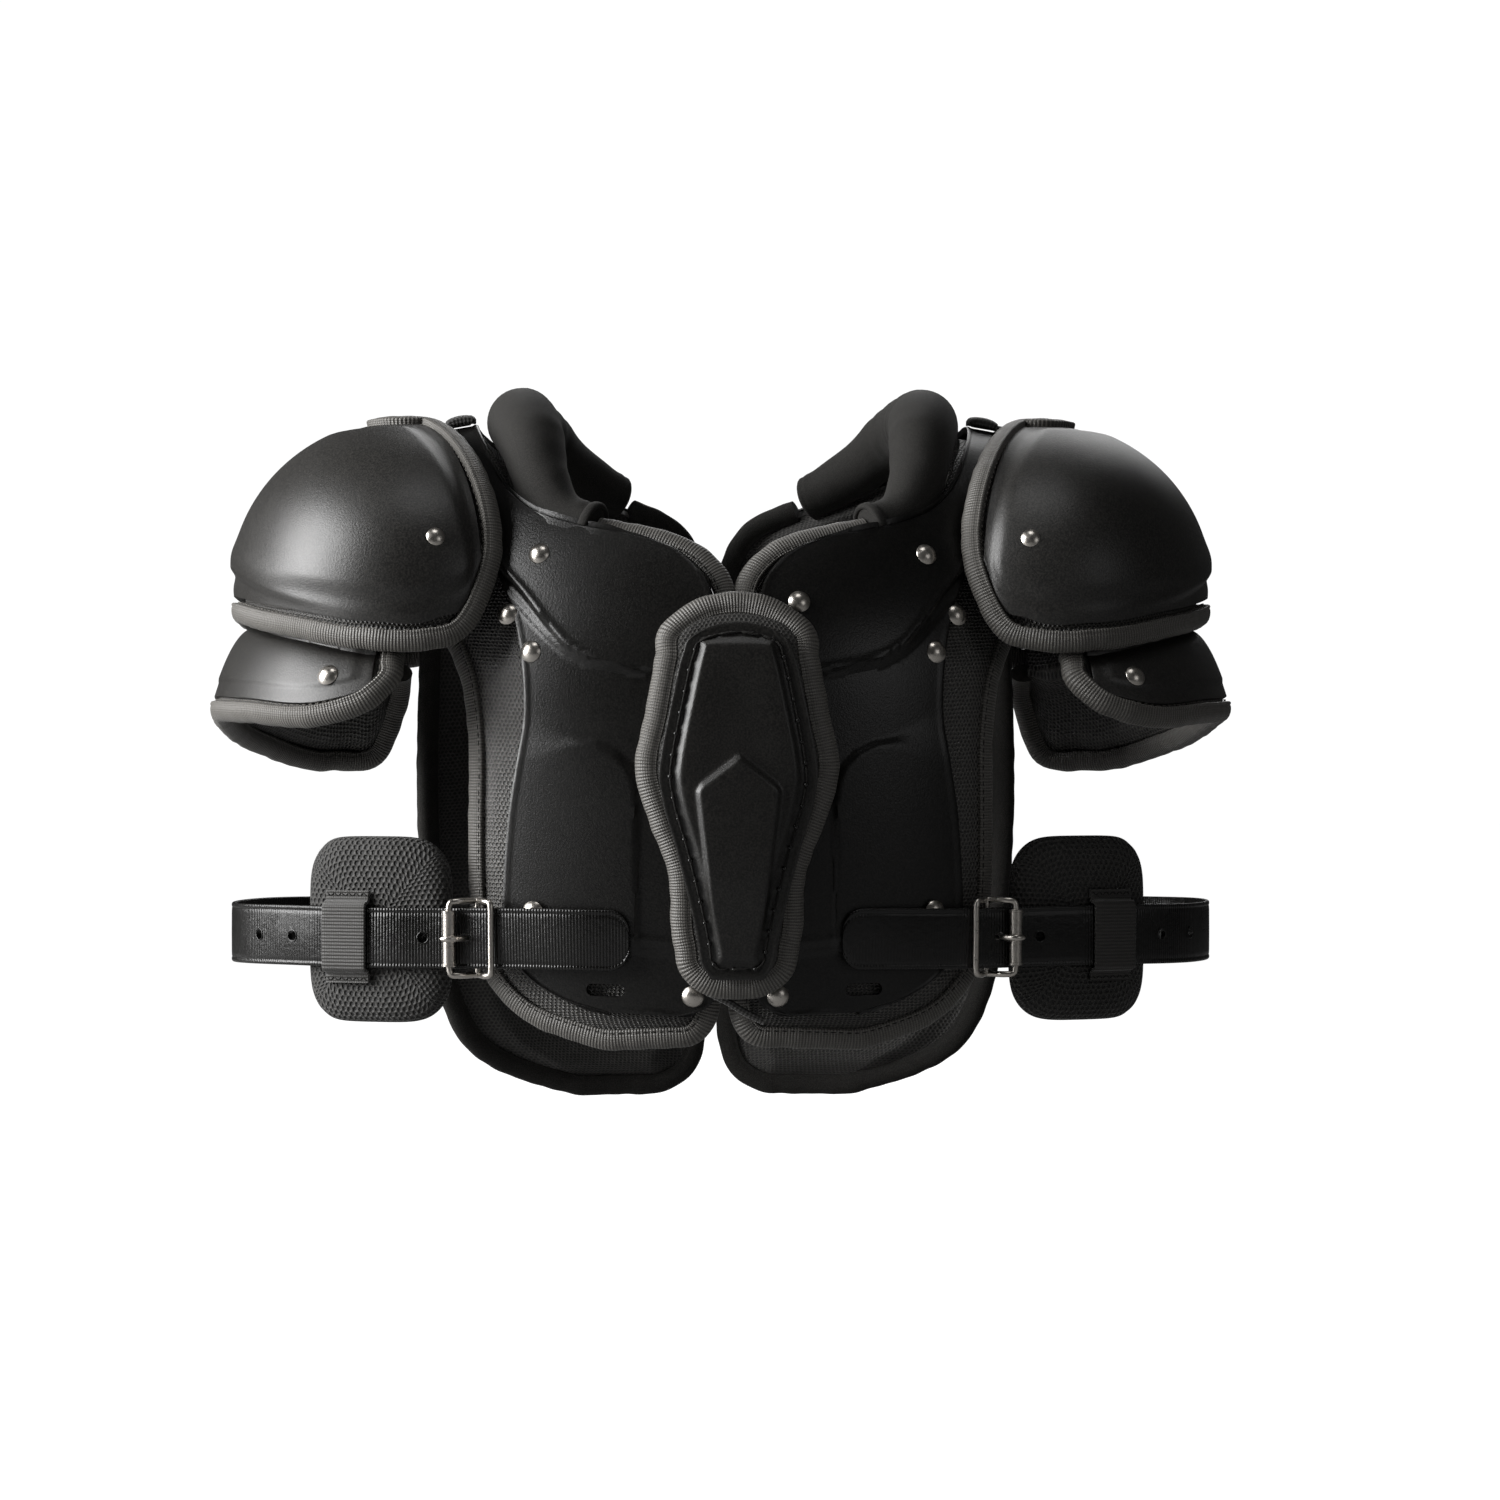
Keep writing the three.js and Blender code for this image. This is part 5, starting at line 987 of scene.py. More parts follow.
def slot_cutter(sign):
    point, up, side, out = plate_seat(sign, *SLOT_PLACE)
    turn = np.linspace(-0.5, 0.5, 9) * math.pi
    half = (SLOT_LENGTH - SLOT_WIDTH) / 2
    ends = np.stack([half + np.cos(turn) * SLOT_WIDTH / 2, np.sin(turn) * SLOT_WIDTH / 2], axis=1)
    ring = np.concatenate([ends, -ends])
    return peg_cutter([point + side * ring[:, :1] + up * ring[:, 1:]], [out], -8, 6)


def arch_plate(name, sign):
    along, across = row_grid(even_rows(PLATE_ENDS), np.linspace(0, 1, PLATE_COLUMNS))
    points, _, _, out = form_seat(sign, along, across, PLATE_WALL + plate_relief(along, across))
    edge = np.minimum.reduce(inside_distance(points))
    points = points + out * (PLATE_LIP * bell(edge - 1.1, 0.9))[..., None]
    obj = sheet_object(f"arch_plate_look_{name}", points, out, PLATE_WALL, PLATE_RIM, PLATE_SHELL,
                       [slot_cutter(sign)])
    keep(obj, [f"arch_plate_{name}"])


on_both_sides(arch_plate)


# Padded body pads and their edgings

# Rows across a front pad below the shoulders: inner reach, inner drop, outer reach, outer drop and how
# far the two pads' meeting line is moved, then the neckline rows
FRONT_PAD_HEM = (
    (0.13, 0.948, 0.48, 0.955, 1),
    (0.085, 0.915, 0.76, 0.915, 1),
    (0.08, 0.85, 0.92, 0.84, 0.8),
    (0.08, 0.7, 0.97, 0.69, 0.4),
    (0.08, 0.5, 0.97, 0.48, 0.1),
    (0.08, 0.38, 1.0, 0.35, 0),
    (0.08, 0.28, 1.09, 0.25, 0),
)
FRONT_PAD_NECK = (
    (0, 1.15, -0.4),
    (1, 1.165, -0.37),
    (2, 1.18, -0.34),
    (3, 1.21, -0.295),
    (4, 1.25, -0.215),
    (5, 1.26, -0.14),
    (6, 1.27, -0.09),
    (7, 1.27, -0.045),
    (8, 1.27, -0.008),
)
BACK_PAD_NECK = (
    (8, 1.27, 0.008),
    (9, 1.27, 0.045),
    (10, 1.27, 0.1),
    (11, 1.26, 0.16),
    (12, 1.24, 0.22),
    (13, 1.22, 0.28),
    (14, 1.2, 0.34),
    (15, 1.18, 0.42),
)
BACK_PAD_HEM = (
    (0.08, 0.36, 1.2, 0.42, 0),
    (0.08, 0.58, 1.19, 0.6, 0),
    (0.08, 0.76, 1.14, 0.77, 0),
    (0.09, 0.9, 1.02, 0.895, 0),
    (0.13, 0.955, 0.84, 0.945, 0),
    (0.24, 0.98, 0.56, 0.98, 0),
)


def pad_ends(sign, half):
    """Rows of a pad from the crown to its hem."""
    neck, hem = (FRONT_PAD_NECK, FRONT_PAD_HEM) if half < 0 else (BACK_PAD_NECK, BACK_PAD_HEM)
    hem_rows = [hem_row(half, a * PAD_REACH + FRONT_SPLIT * s * sign, d, b * PAD_REACH, e)
                for a, d, b, e, s in hem]
    neck_rows = [neck_row(k, 0, b * PAD_REACH, along) for k, b, along in neck]
    rows = neck_rows[::-1] + hem_rows[::-1] if half < 0 else neck_rows + hem_rows
    return np.array(rows, float)


def edge_distance(points):
    """Distance in the cloth from a grid's three free edges: both sides and the last row."""
    from_sides, _, from_hem = inside_distance(points)
    return np.minimum(from_sides, from_hem.mean(axis=1, keepdims=True))


PAD_COLUMNS = 54


def body_pad(name, sign, half):
    ends = pad_ends(sign, half)
    rows = fine_rows(ends, 12 if half < 0 else 8)
    along, across = row_grid(rows, np.linspace(0, 1, PAD_COLUMNS))
    base = form_base(along, across)
    edge = edge_distance(base)
    shoulder = 1 - smooth((edge - 1) / 7)
    swell = smooth((edge - 2) / 15)
    face = "front" if half < 0 else "back"
    ripple = 0.25 * np.sin(base[..., 2] * 0.34 + across * 0.11) * swell
    face_lift = -PAD_GAP - 0.4 - 0.9 * shoulder + ripple * 0.4
    lining_lift = -PAD_GAP - mix(PAD_EDGE - 0.4, PAD_THICKNESS, swell) + ripple
    outer, inner = (form_seat(sign, along, across, lift)[0] for lift in (face_lift, lining_lift))
    obj = slab_object(f"{face}_pad_look_{name}", outer, inner, AIR_MESH if half < 0 else BACK_MESH)
    keep(obj, [f"{face}_pad_{name}"])
    return ends


def pad_rim(sign, ends, neck_from):
    """Points and outward directions round a pad's free edge, from its neck end to its arm end."""
    lift = -PAD_GAP - PAD_EDGE / 2
    rows = fine_rows(ends, 2)
    inner = rows[2 * neck_from:]
    hem = rows[-1]
    shares = np.linspace(0, 1, 7)[1:-1]
    along = np.concatenate([inner[:, 2], mix(hem[2], hem[3], shares), rows[::-1, 3]])
    across = np.concatenate([inner[:, 0], mix(hem[0], hem[1], shares), rows[::-1, 1]])
    point, _, _, out = form_seat(sign, along, across, lift)
    return point, out


EDGING_SECTION = np.array([
    (-1.7, 3.2), (-1.5, 3.75), (-0.9, 4.0), (-0.2, 3.7), (0.5, 3.95), (1.6, 4.0), (3.0, 3.85), (4.6, 3.35),
    (6.0, 2.4), (6.9, 1.25), (7.2, 0)])
EDGING_PITCH = 1.6
PUCKER = 0.035
PUCKER_LENGTHS = (9.5, 13.0, 23.0)


def folded_section(width=1.0, height=1.0):
    """A tape folded over an edge, with a stitched dip near the tape's own edge."""
    front = EDGING_SECTION * (width, height)
    back = (EDGING_SECTION * (width, -height))[::-1][1:]
    return np.concatenate([front, back])


def edging(name, points, outs, section=None, closed=False, material=None, seed=3):
    """A sewn edging whose nearer side lies away from the middle of its path."""
    even, up = resample(points, EDGING_PITCH, closed, outs)
    up = unit(up)
    _, side, _ = path_frames(even, up, closed)
    section = folded_section() if section is None else section
    if np.sum((even - even.mean(axis=0)) * side) < 0:
        section = (section * (-1, 1))[::-1]
    rng = np.random.default_rng(seed)
    turn = np.arange(len(even)) * EDGING_PITCH * 2 * math.pi
    waves = sum(np.sin(turn / length + rng.uniform(0, 6.3)) for length in PUCKER_LENGTHS) / 3
    scale = 1 + PUCKER * waves[:, None, None]
    return tube_object(name, even, up, section[None] * scale, material or BINDING, closed)


def shifted(points, outs, side_by, out_by, closed=False):
    """A path moved sideways, away from its own middle, and outward."""
    _, side, out = path_frames(points, unit(outs), closed)
    turn = 1 if np.sum((points - points.mean(axis=0)) * side) > 0 else -1
    return points + side * turn * side_by + out * out_by


def softened(path, times):
    """A path with its corners rounded, whose ends stay in place."""
    for _ in range(times):
        smoothed = (np.roll(path, -1, axis=0) + np.roll(path, 1, axis=0) + path * 2) / 4
        smoothed[0], smoothed[-1] = path[0], path[-1]
        path = smoothed
    return path


NECK_CUFF = 3
NECK_BACK = 13
NECK_SHIFT = 2.4
NECK_LIFT = 2.2
CROWN_STATION = 8


def body_half(name, sign, half):
    """A body pad and its edging, on the chest (-1) or the back (1)."""
    face = "front" if half < 0 else "back"
    ends = body_pad(name, sign, half)
    neck_from = CROWN_STATION - NECK_CUFF if half < 0 else NECK_BACK - CROWN_STATION
    rim, rim_out = pad_rim(sign, ends, neck_from)
    if half < 0:
        shown = smooth((2 * neck_from - np.arange(len(rim))) / 3)[:, None]
        rim = shifted(rim, rim_out, NECK_SHIFT * shown, NECK_LIFT * shown)
    rim, rim_out = resample(rim, EDGING_PITCH, False, rim_out)
    rim = softened(rim, 4)
    piece = edging(f"{face}_binding_look_{name}", rim, rim_out, seed=3 + sign + half,
                   material=BINDING if half < 0 else DARK_BINDING)
    keep(piece, [f"{face}_binding_{name}"])
    if half < 0:
        even, up = resample(rim, 1.2, False, rim_out)
        stitch_line(f"{face}_binding_stitches_{name}", shifted(even, up, -0.2, 3.75), up, 3.4, 2.4, 0.6)


for side_name, side_sign in SIDES.items():
    body_half(side_name, side_sign, -1)
    body_half(side_name, side_sign, 1)


# Collar rolls

ROLL_COLUMNS = ("station", "size", "tip")
ROLL_ROWS = (
    (3.07, 0, 0.9),
    (3.2, 0.05, 1),
    (3.7, 0.15, 1),
    (4.5, 0.45, 1),
    (5.5, 0.8, 1),
    (6.5, 1, 1),
    (7.5, 1, 1),
    (8.5, 1, 1),
    (9.5, 0.9, 1),
    (10.5, 0.7, 1),
    (11.5, 0.45, 1),
    (12.5, 0.2, 1),
    (12.8, 0.1, 0.8),
)
ROLL_TOP_RADIUS = 15
ROLL_CUFF_RADIUS = 9.2
ROLL_RISE = 1
ROLL_TUCK_REACH = 4.2
ROLL_TUCK_DEPTH = 2.6
ROLL_STAND_OFF = 1.2


def neck_place(station):
    k = np.arange(len(NECK))
    return np.interp(station, k, NECK_ALONG), np.interp(station, k, NECK_ACROSS)


def roll_path(sign, stations):
    """Centre line, radius, sideways and outward directions of a collar roll."""
    size_places, sizes = (column(ROLL_ROWS, ROLL_COLUMNS, label) for label in ("station", "size"))
    size = np.interp(stations, size_places, sizes)
    radius = mix(ROLL_CUFF_RADIUS, ROLL_TOP_RADIUS, size)
    point, _, _, out = form_seat(sign, *neck_place(stations), ROLL_RISE * size)
    ahead = form_seat(sign, *neck_place(stations + 0.3), 0)[0]
    behind = form_seat(sign, *neck_place(stations - 0.3), 0)[0]
    run = unit(ahead - behind)
    side = unit(np.cross(run, out))
    side = np.where((side[:, :1] * sign) > 0, -side, side)
    out = unit(np.cross(side, run))
    out = np.where(out[:, 2:3] < 0, -out, out)
    tuck = np.maximum(1 - smooth((stations - stations[0]) / 2.6), smooth((stations - 10) / 2.8))
    away = mix(radius + CLEARANCE + ROLL_STAND_OFF, ROLL_TUCK_REACH, tuck)
    return point + side * away[:, None] - out * (ROLL_TUCK_DEPTH * tuck)[:, None], radius, side, out


def neck_roll(name, sign):
    rows = 120
    stations = np.linspace(ROLL_ROWS[0][0], ROLL_ROWS[-1][0], rows)
    coarse = np.array([row[0] for row in ROLL_ROWS])
    centre_rows, radius_rows, side_rows, out_rows = roll_path(sign, coarse)
    t = np.linspace(0, 1, rows)
    centre = spline(centre_rows, t)
    radius = spline(radius_rows[:, None], t)[:, 0]
    side, out = unit(spline(side_rows, t)), unit(spline(out_rows, t))
    end = np.minimum(np.arange(rows), np.arange(rows)[::-1]) / 5
    radius = radius * np.sqrt(1 - (1 - np.clip(end, 0, 1)) ** 2 * 0.75)
    turn = np.linspace(0, 2 * math.pi, 41)
    crease = 0.25 * np.sin(stations * 9 + np.sin(stations * 3.1) * 2)[:, None] * (np.cos(turn) > 0.2)
    reach = radius[:, None] + crease * 0.6
    ring = centre[:, None] + side[:, None] * (np.cos(turn) * reach)[..., None] \
        + out[:, None] * (np.sin(turn) * reach)[..., None]
    quads = grid_faces(rows, 41)
    faces = quads.tolist() + [list(range(40)), list(range((rows - 1) * 41, (rows - 1) * 41 + 40))]
    obj = mesh_object(f"neck_roll_look_{name}", ring.reshape(-1, 3), faces)
    weld(obj)
    finish_mesh(obj, FLEECE, 70)
    keep(obj, [f"neck_roll_{name}"])
    cuff(name, centre, radius, side, out)


def cuff(name, centre, radius, side, out):
    """The folded end of the roll's cover, with its row of stitches."""
    k = 7
    turn = np.linspace(0, 2 * math.pi, 37)[:-1]
    around = side[k] * np.cos(turn)[:, None] + out[k] * np.sin(turn)[:, None]
    ring = centre[k] + around * (radius[k] + 0.4)
    band = oval(4.2, 2.6, 16, 2.4)
    obj = tube_object(f"neck_cuff_{name}", ring, around, band, FLEECE, closed=True)
    keep(obj, [])
    ring = centre[k + 3] + around * (radius[k + 3] + 0.1)
    stitch_line(f"neck_cuff_stitches_{name}", ring, around, 2.6, 1.8, 0.6, closed=True)


on_both_sides(neck_roll)


# Shoulder caps

CAP_BASE_REACH = 30
CAP_GIRTH_SHARE = 0.7
CAP_CENTRE_X = CAP_BASE_REACH + HALF_GIRTH * CAP_GIRTH_SHARE
CAP_CENTRE_Z = -43
CAP_SIDE_RADIUS = 73.5
CAP_NECK_RADIUS = 85
CAP_LENGTH_RADIUS = 100
CAP_HEIGHT = 70
CAP_WALL = 2.5
CAP_LINING = 6
CAP_BINDING_WIDTH = 7
CAP_BINDING_THICKNESS = 6.5
CAP_HALF_ANGLE = 115
CAP_NOTCH_ANGLE = 78
CAP_HEM_DROP = 26
CAP_LIP = 1.6
CAP_SKIRT = 0.2

# Hem of a cap round the arm: angle and depth as shares
CAP_HEM_COLUMNS = ("angle", "drop")
CAP_HEM = (
    (-1, -0.55),
    (-0.96, 0.3),
    (-0.86, 0.85),
    (-0.7, 1),
    (-0.4, 0.75),
    (0, 0.35),
    (0.4, 0.6),
    (0.7, 0.85),
    (0.86, 0.8),
    (0.96, 0.3),
    (1, -0.55),
)


def table_curve(rows, columns, name, value, at):
    """A column of a table read along another, with an even curve through the rows."""
    keys = column(rows, columns, name)
    values = column(rows, columns, value)
    at = np.clip(np.asarray(at, float), keys[0], keys[-1])
    k = np.clip(np.searchsorted(keys, at, side="right") - 1, 0, len(keys) - 2)
    slopes = np.gradient(values, keys)
    width = keys[k + 1] - keys[k]
    t = (at - keys[k]) / width
    t2, t3 = t * t, t * t * t
    return (2 * t3 - 3 * t2 + 1) * values[k] + (t3 - 2 * t2 + t) * width * slopes[k] \
        + (3 * t2 - 2 * t3) * values[k + 1] + (t3 - t2) * width * slopes[k + 1]


def cap_point(sign, angle, rise, inset):
    a, r = np.radians(angle), np.radians(rise)
    across = np.where(np.cos(a) > 0, CAP_SIDE_RADIUS, CAP_NECK_RADIUS) - inset
    x = CAP_CENTRE_X + across * np.cos(a) * np.cos(r)
    y = -(CAP_LENGTH_RADIUS - inset) * np.sin(a) * np.cos(r)
    z = CAP_CENTRE_Z + (CAP_HEIGHT - inset) * np.sin(r)
    return np.stack(np.broadcast_arrays(sign * x, y, z), axis=-1)


def cap_hem_depth(angle):
    turned_share = np.asarray(angle) / CAP_HALF_ANGLE
    return table_curve(CAP_HEM, CAP_HEM_COLUMNS, "angle", "drop", turned_share) * CAP_HEM_DROP


def cap_at(sign, angle, share, inset):
    """Point of a cap round the arm, from 0 at the hem to 1 at the notch on top."""
    angle, share, inset = np.broadcast_arrays(np.asarray(angle, float), share, inset)
    hem = cap_hem_depth(angle)
    low = np.maximum(hem, 0)
    start = np.where(hem > 0, 0, np.degrees(np.arcsin(np.clip(-hem / CAP_HEIGHT, -1, 1))))
    skirt = np.where(hem > 0, np.clip(1 - share / CAP_SKIRT, 0, 1), 0)
    climb = np.where(hem > 0, np.clip((share - CAP_SKIRT) / (1 - CAP_SKIRT), 0, 1), share)
    point = cap_point(sign, angle, mix(start, CAP_NOTCH_ANGLE, climb), inset)
    point[..., 2] -= low * skirt
    return point


def cap_grid_shares(rows_low, rows_high, low, high):
    """Rows of a cap at an even pitch, with the skirt's rows apart from the dome's."""
    skirt = np.linspace(low, CAP_SKIRT, rows_low)
    dome = np.linspace(CAP_SKIRT, high, rows_high)
    return np.concatenate([skirt, dome[1:]])


def grid_out(points, centre):
    """Outward directions of a grid of points, away from a centre."""
    du = np.gradient(points, axis=1)
    dv = np.gradient(points, axis=0)
    out = unit(np.cross(du, dv))
    away = np.sum(out * (points - centre), axis=-1, keepdims=True)
    return np.where(away.mean() < 0, -out, out)


def cap_centre(sign):
    return np.array([sign * CAP_CENTRE_X, 0, CAP_CENTRE_Z], float)


PANEL_EDGE = 12
CAP_PANEL_STEP = 1.8
SIDE_CREASE = 2.2
HANGER_BEND = 80
CAP_SHELL_TRIM = 4.4
CAP_SHELL_REACH = 0.975


def drawn_in(points, cut):
    """The same grid with its first and last rows drawn in by a distance in the sheet."""
    _, low, _ = inside_distance(points)
    total = low[-1]
    share = (low / total).mean(axis=1)
    place = cut + (total - 2 * cut) * share[:, None]
    made_in = np.empty_like(points)
    for c in range(points.shape[1]):
        for k in range(3):
            made_in[:, c, k] = np.interp(place[:, c], low[:, c], points[:, c, k])
    return made_in, place


def cap_relief(points, angle, low):
    """Raised middle panel, crease above the skirt and a lip that turns in under the edging."""
    sides, run, high = inside_distance(points)
    front = smooth((np.abs(angle) - 30) / 35)
    edge = np.minimum(sides, high)
    panel = CAP_PANEL_STEP * ramp(edge - PANEL_EDGE, 7) * mix(1, ramp(run - PANEL_EDGE, 9), front * 0.8)
    panel = panel - 0.5 * bell(edge - PANEL_EDGE + 5.5, 2.6)
    below = mix(-35, -53, smooth(np.abs(angle) / 74)) - points[..., 2]
    strength = 1 - smooth((np.abs(angle) - 12) / 62)
    step = -SIDE_CREASE * smooth(below / 4.5) * (1 - 0.8 * smooth((below - 3) / 11))
    swell = 0.9 * bell(below + 5, 5.5)
    return panel + strength * (step + swell) - CAP_LIP * (1 - smooth((low - 1) / 9))


def cap_shell(name, sign):
    angle = np.linspace(-1, 1, 138)
    angle = np.sign(angle) * np.abs(angle) ** 0.9 * CAP_HALF_ANGLE * CAP_SHELL_REACH
    share = cap_grid_shares(22, 70, 0, 1)
    a, s = np.meshgrid(angle, share)
    base, low = drawn_in(cap_at(sign, a, s, 0.0), CAP_SHELL_TRIM)
    out = grid_out(base, cap_centre(sign))
    points = base + out * cap_relief(base, a, low)[..., None]
    points_out = grid_out(points, cap_centre(sign))
    obj = sheet_object(f"cap_shell_look_{name}", points, points_out, CAP_WALL, 0.7, CAP_SHELL)
    keep(obj, [f"cap_shell_{name}"])


def cap_lining(name, sign):
    """Mesh pad under a cap, whose edge shows as a dark band inside the edging."""
    angle = np.linspace(-1, 1, 96) * CAP_HALF_ANGLE * 0.995
    share = cap_grid_shares(10, 40, 0.012, 0.99)
    a, s = np.meshgrid(angle, share)
    base = cap_at(sign, a, s, CAP_WALL + 0.4)
    out = grid_out(base, cap_centre(sign))
    sides, low, high = inside_distance(base)
    edge = np.minimum(np.minimum(sides, low), high)
    soft = smooth(edge / 14)
    lump = 0.35 * np.sin(a * 0.35) * np.sin(s * 30) * soft
    depth = mix(2.4, CAP_LINING, soft) + lump
    lip = CAP_LIP * (1 - smooth((low - 1) / 9))
    outer = base - out * (lip + 0.3)[..., None]
    inner = base - out * (lip + depth)[..., None]
    obj = slab_object(f"cap_pad_look_{name}", outer, inner, AIR_MESH)
    keep(obj, [f"cap_pad_{name}"])


def cap_rim(sign):
    """Points and outward directions round a cap's edge, closed."""
    centre = cap_centre(sign)
    angles = np.linspace(-0.985, 0.985, 28)
    shares = np.linspace(0.06, 0.94, 12)
    lip = np.concatenate([np.full(28, CAP_LIP), CAP_LIP * (1 - smooth(shares / CAP_SKIRT)), np.zeros(28),
                          CAP_LIP * (1 - smooth(shares[::-1] / CAP_SKIRT))])
    a = np.concatenate([angles, np.ones(12), angles[::-1], -np.ones(12)]) * CAP_HALF_ANGLE
    s = np.concatenate([np.zeros(28), shares, np.ones(28), shares[::-1]])
    point = cap_at(sign, a, s, CAP_WALL / 2 + lip)
    out = point - centre
    out[:, 2] = np.maximum(0, out[:, 2])
    return point, unit(out)


def closed_edging(name, node, rim, out, seed, width=1.0, height=1.0):
    section = folded_section(width, height)
    piece = edging(name, rim, out, section=section, closed=True, seed=seed)
    keep(piece, [node])


def rim_stitches(name, rim, out, inward, lift, closed, pitch=3.3, length=2.1):
    even, up = resample(rim, 1.5, closed, out)
    path = shifted(even, unit(up), -inward, lift, closed)
    stitch_line(name, path, unit(up), pitch, length, 0.55, material=PALE_THREAD, closed=closed)


for side_name, side_sign in SIDES.items():
    cap_shell(side_name, side_sign)
    cap_lining(side_name, side_sign)
    cap_edge, cap_edge_out = cap_rim(side_sign)
    closed_edging(f"cap_binding_look_{side_name}", f"cap_binding_{side_name}", cap_edge, cap_edge_out,
                  5 + side_sign)
    rim_stitches(f"cap_stitches_{side_name}", cap_edge, cap_edge_out, 1.9, 1.1, True)


# Epaulets

EPAULET_WALL = 2.5
EPAULET_LINING = 7
EPAULET_HALF_ANGLE = 84
EPAULET_TUCK = 6
EPAULET_TUCK_ROOM = 2.4
EPAULET_FLARE = 10
EPAULET_LENGTH = 41
EPAULET_REAR_EXTRA = 16
TUCK_SHARE = 0.75

EPAULET_COLUMNS = ("angle", "drop", "extra")
EPAULET_HEM = (
    (-1, 0.5, 0.6),
    (-0.94, 0.85, 1),
    (-0.8, 1, 1),
    (-0.4, 1, 0.7),
    (0, 1, 0.1),
    (0.4, 1, 0),
    (0.8, 0.95, 0),
    (0.94, 0.78, 0),
    (1, 0.62, 0),
)


def epaulet_at(sign, angle, share, inset):
    angle, share, inset = np.broadcast_arrays(np.asarray(angle, float), share, inset)
    at = angle / EPAULET_HALF_ANGLE
    hem = cap_hem_depth(angle)
    top = hem - EPAULET_TUCK
    length = table_curve(EPAULET_HEM, EPAULET_COLUMNS, "angle", "drop", at) * EPAULET_LENGTH \
        + table_curve(EPAULET_HEM, EPAULET_COLUMNS, "angle", "extra", at) * EPAULET_REAR_EXTRA
    bottom = np.maximum(hem, 0) * 0.35 + 6 + length
    tucked = CAP_WALL / 2 + CAP_LIP + CAP_BINDING_THICKNESS / 2 + EPAULET_TUCK_ROOM
    clear = CAP_BINDING_WIDTH + 2
    depth = np.where(share > TUCK_SHARE, mix(hem + clear, top, (share - TUCK_SHARE) / (1 - TUCK_SHARE)),
                     mix(bottom, hem + clear, share / TUCK_SHARE))
    below = np.clip((depth - hem - clear) / (EPAULET_LENGTH - clear), 0, None)
    outward = mix(-tucked, EPAULET_FLARE, np.sqrt(below + 0.0004))
    point = cap_point(sign, angle, 0, inset - outward)
    point[..., 2] -= depth
    return point


def epaulet_grid(sign, inset, columns, rows, low=0.0, high=1.0, reach=1.0):
    angle = np.linspace(-1, 1, columns) * EPAULET_HALF_ANGLE * reach
    share = np.linspace(low, high, rows)
    a, s = np.meshgrid(angle, share)
    return epaulet_at(sign, a, s, inset), a, s


def epaulet_centre(sign):
    return np.array([sign * CAP_CENTRE_X, 0, -75], float)


def epaulet_shell(name, sign):
    points, _, _ = epaulet_grid(sign, 0.0, 112, 42, low=0.09, reach=0.955)
    out = grid_out(points, epaulet_centre(sign))
    sides, low, _ = inside_distance(points)
    edge = np.minimum(sides, low)
    relief = 0.7 * ramp(edge - 7, 2.5)
    points = points + out * (relief - 0.7)[..., None]
    obj = sheet_object(f"epaulet_shell_look_{name}", points, out, EPAULET_WALL - 0.2, 0.65, CAP_SHELL)
    keep(obj, [f"epaulet_shell_{name}"])


def epaulet_pad(name, sign):
    base, a, _ = epaulet_grid(sign, EPAULET_WALL + 0.3, 90, 30, reach=0.99)
    out = grid_out(base, epaulet_centre(sign))
    sides, low, high = inside_distance(base)
    soft = smooth(np.minimum(np.minimum(sides, low), high) / 12)
    depth = mix(3.4, EPAULET_LINING, soft) + 0.3 * np.sin(a * 0.5) * soft
    obj = slab_object(f"epaulet_pad_look_{name}", base - out * 0.3, base - out * depth[..., None], AIR_MESH)
    keep(obj, [f"epaulet_pad_{name}"])


def epaulet_rim(sign):
    inset = (EPAULET_WALL + EPAULET_LINING) / 2
    angles = np.linspace(-0.985, 0.985, 30)
    shares = np.linspace(0.08, 0.72, 8)
    a = np.concatenate([-np.ones(8), angles, np.ones(8)]) * EPAULET_HALF_ANGLE
    s = np.concatenate([shares[::-1], np.zeros(30), shares])
    point = epaulet_at(sign, a, s, inset)
    out = point - epaulet_centre(sign)
    out[:, 2] = 0
    return point, unit(out)


for side_name, side_sign in SIDES.items():
    epaulet_shell(side_name, side_sign)
    epaulet_pad(side_name, side_sign)
    arm_edge, arm_edge_out = epaulet_rim(side_sign)
    arm_piece = edging(f"epaulet_binding_look_{side_name}", arm_edge, arm_edge_out,
                       section=folded_section(1.0, 1.15), seed=9 + side_sign)
    keep(arm_piece, [f"epaulet_binding_{side_name}"])
    rim_stitches(f"epaulet_stitches_{side_name}", arm_edge, arm_edge_out, 2.2, 2.3, False)


# Webbing hangers that hold the caps to the arches

HANGER_ALONG = -0.035
HANGER_LENGTH = 33
HANGER_WIDTH = 16


def hanger(name, sign):
    start = NECK_HALF_WIDTH + NECK_MARGIN + 2
    across = np.linspace(start - 1, start + HANGER_LENGTH, 60)
    point, _, side, out = form_seat(sign, HANGER_ALONG, np.minimum(across, PLATE_CROWN_REACH), PLATE_WALL)
    point = point + side * np.maximum(0, across - PLATE_CROWN_REACH)[:, None]
    from_end = across - across[0]
    fold = 1.4 * np.sqrt(1 - (1 - np.clip(from_end / 5, 0, 1)) ** 2)
    thick = np.maximum(0.25, 1.3 * np.minimum(1, fold)) + 1.1 * (from_end < 12) * np.sqrt(
        np.clip(1 - ((from_end - 6) / 6) ** 2, 0, 1))
    centre = point + out * (CLEARANCE + 0.3 + thick)[:, None]
    section = oval(1, 1, 24, 5)
    rings = np.stack([section * (HANGER_WIDTH, 2 * h) for h in thick])
    rings[..., 1] -= rings[..., 0] ** 2 / (2 * HANGER_BEND)
    obj = tube_object(f"cap_hanger_look_{name}", centre, out, rings, WEBBING)
    keep(obj, [f"cap_hanger_{name}"])


on_both_sides(hanger)


# Belts

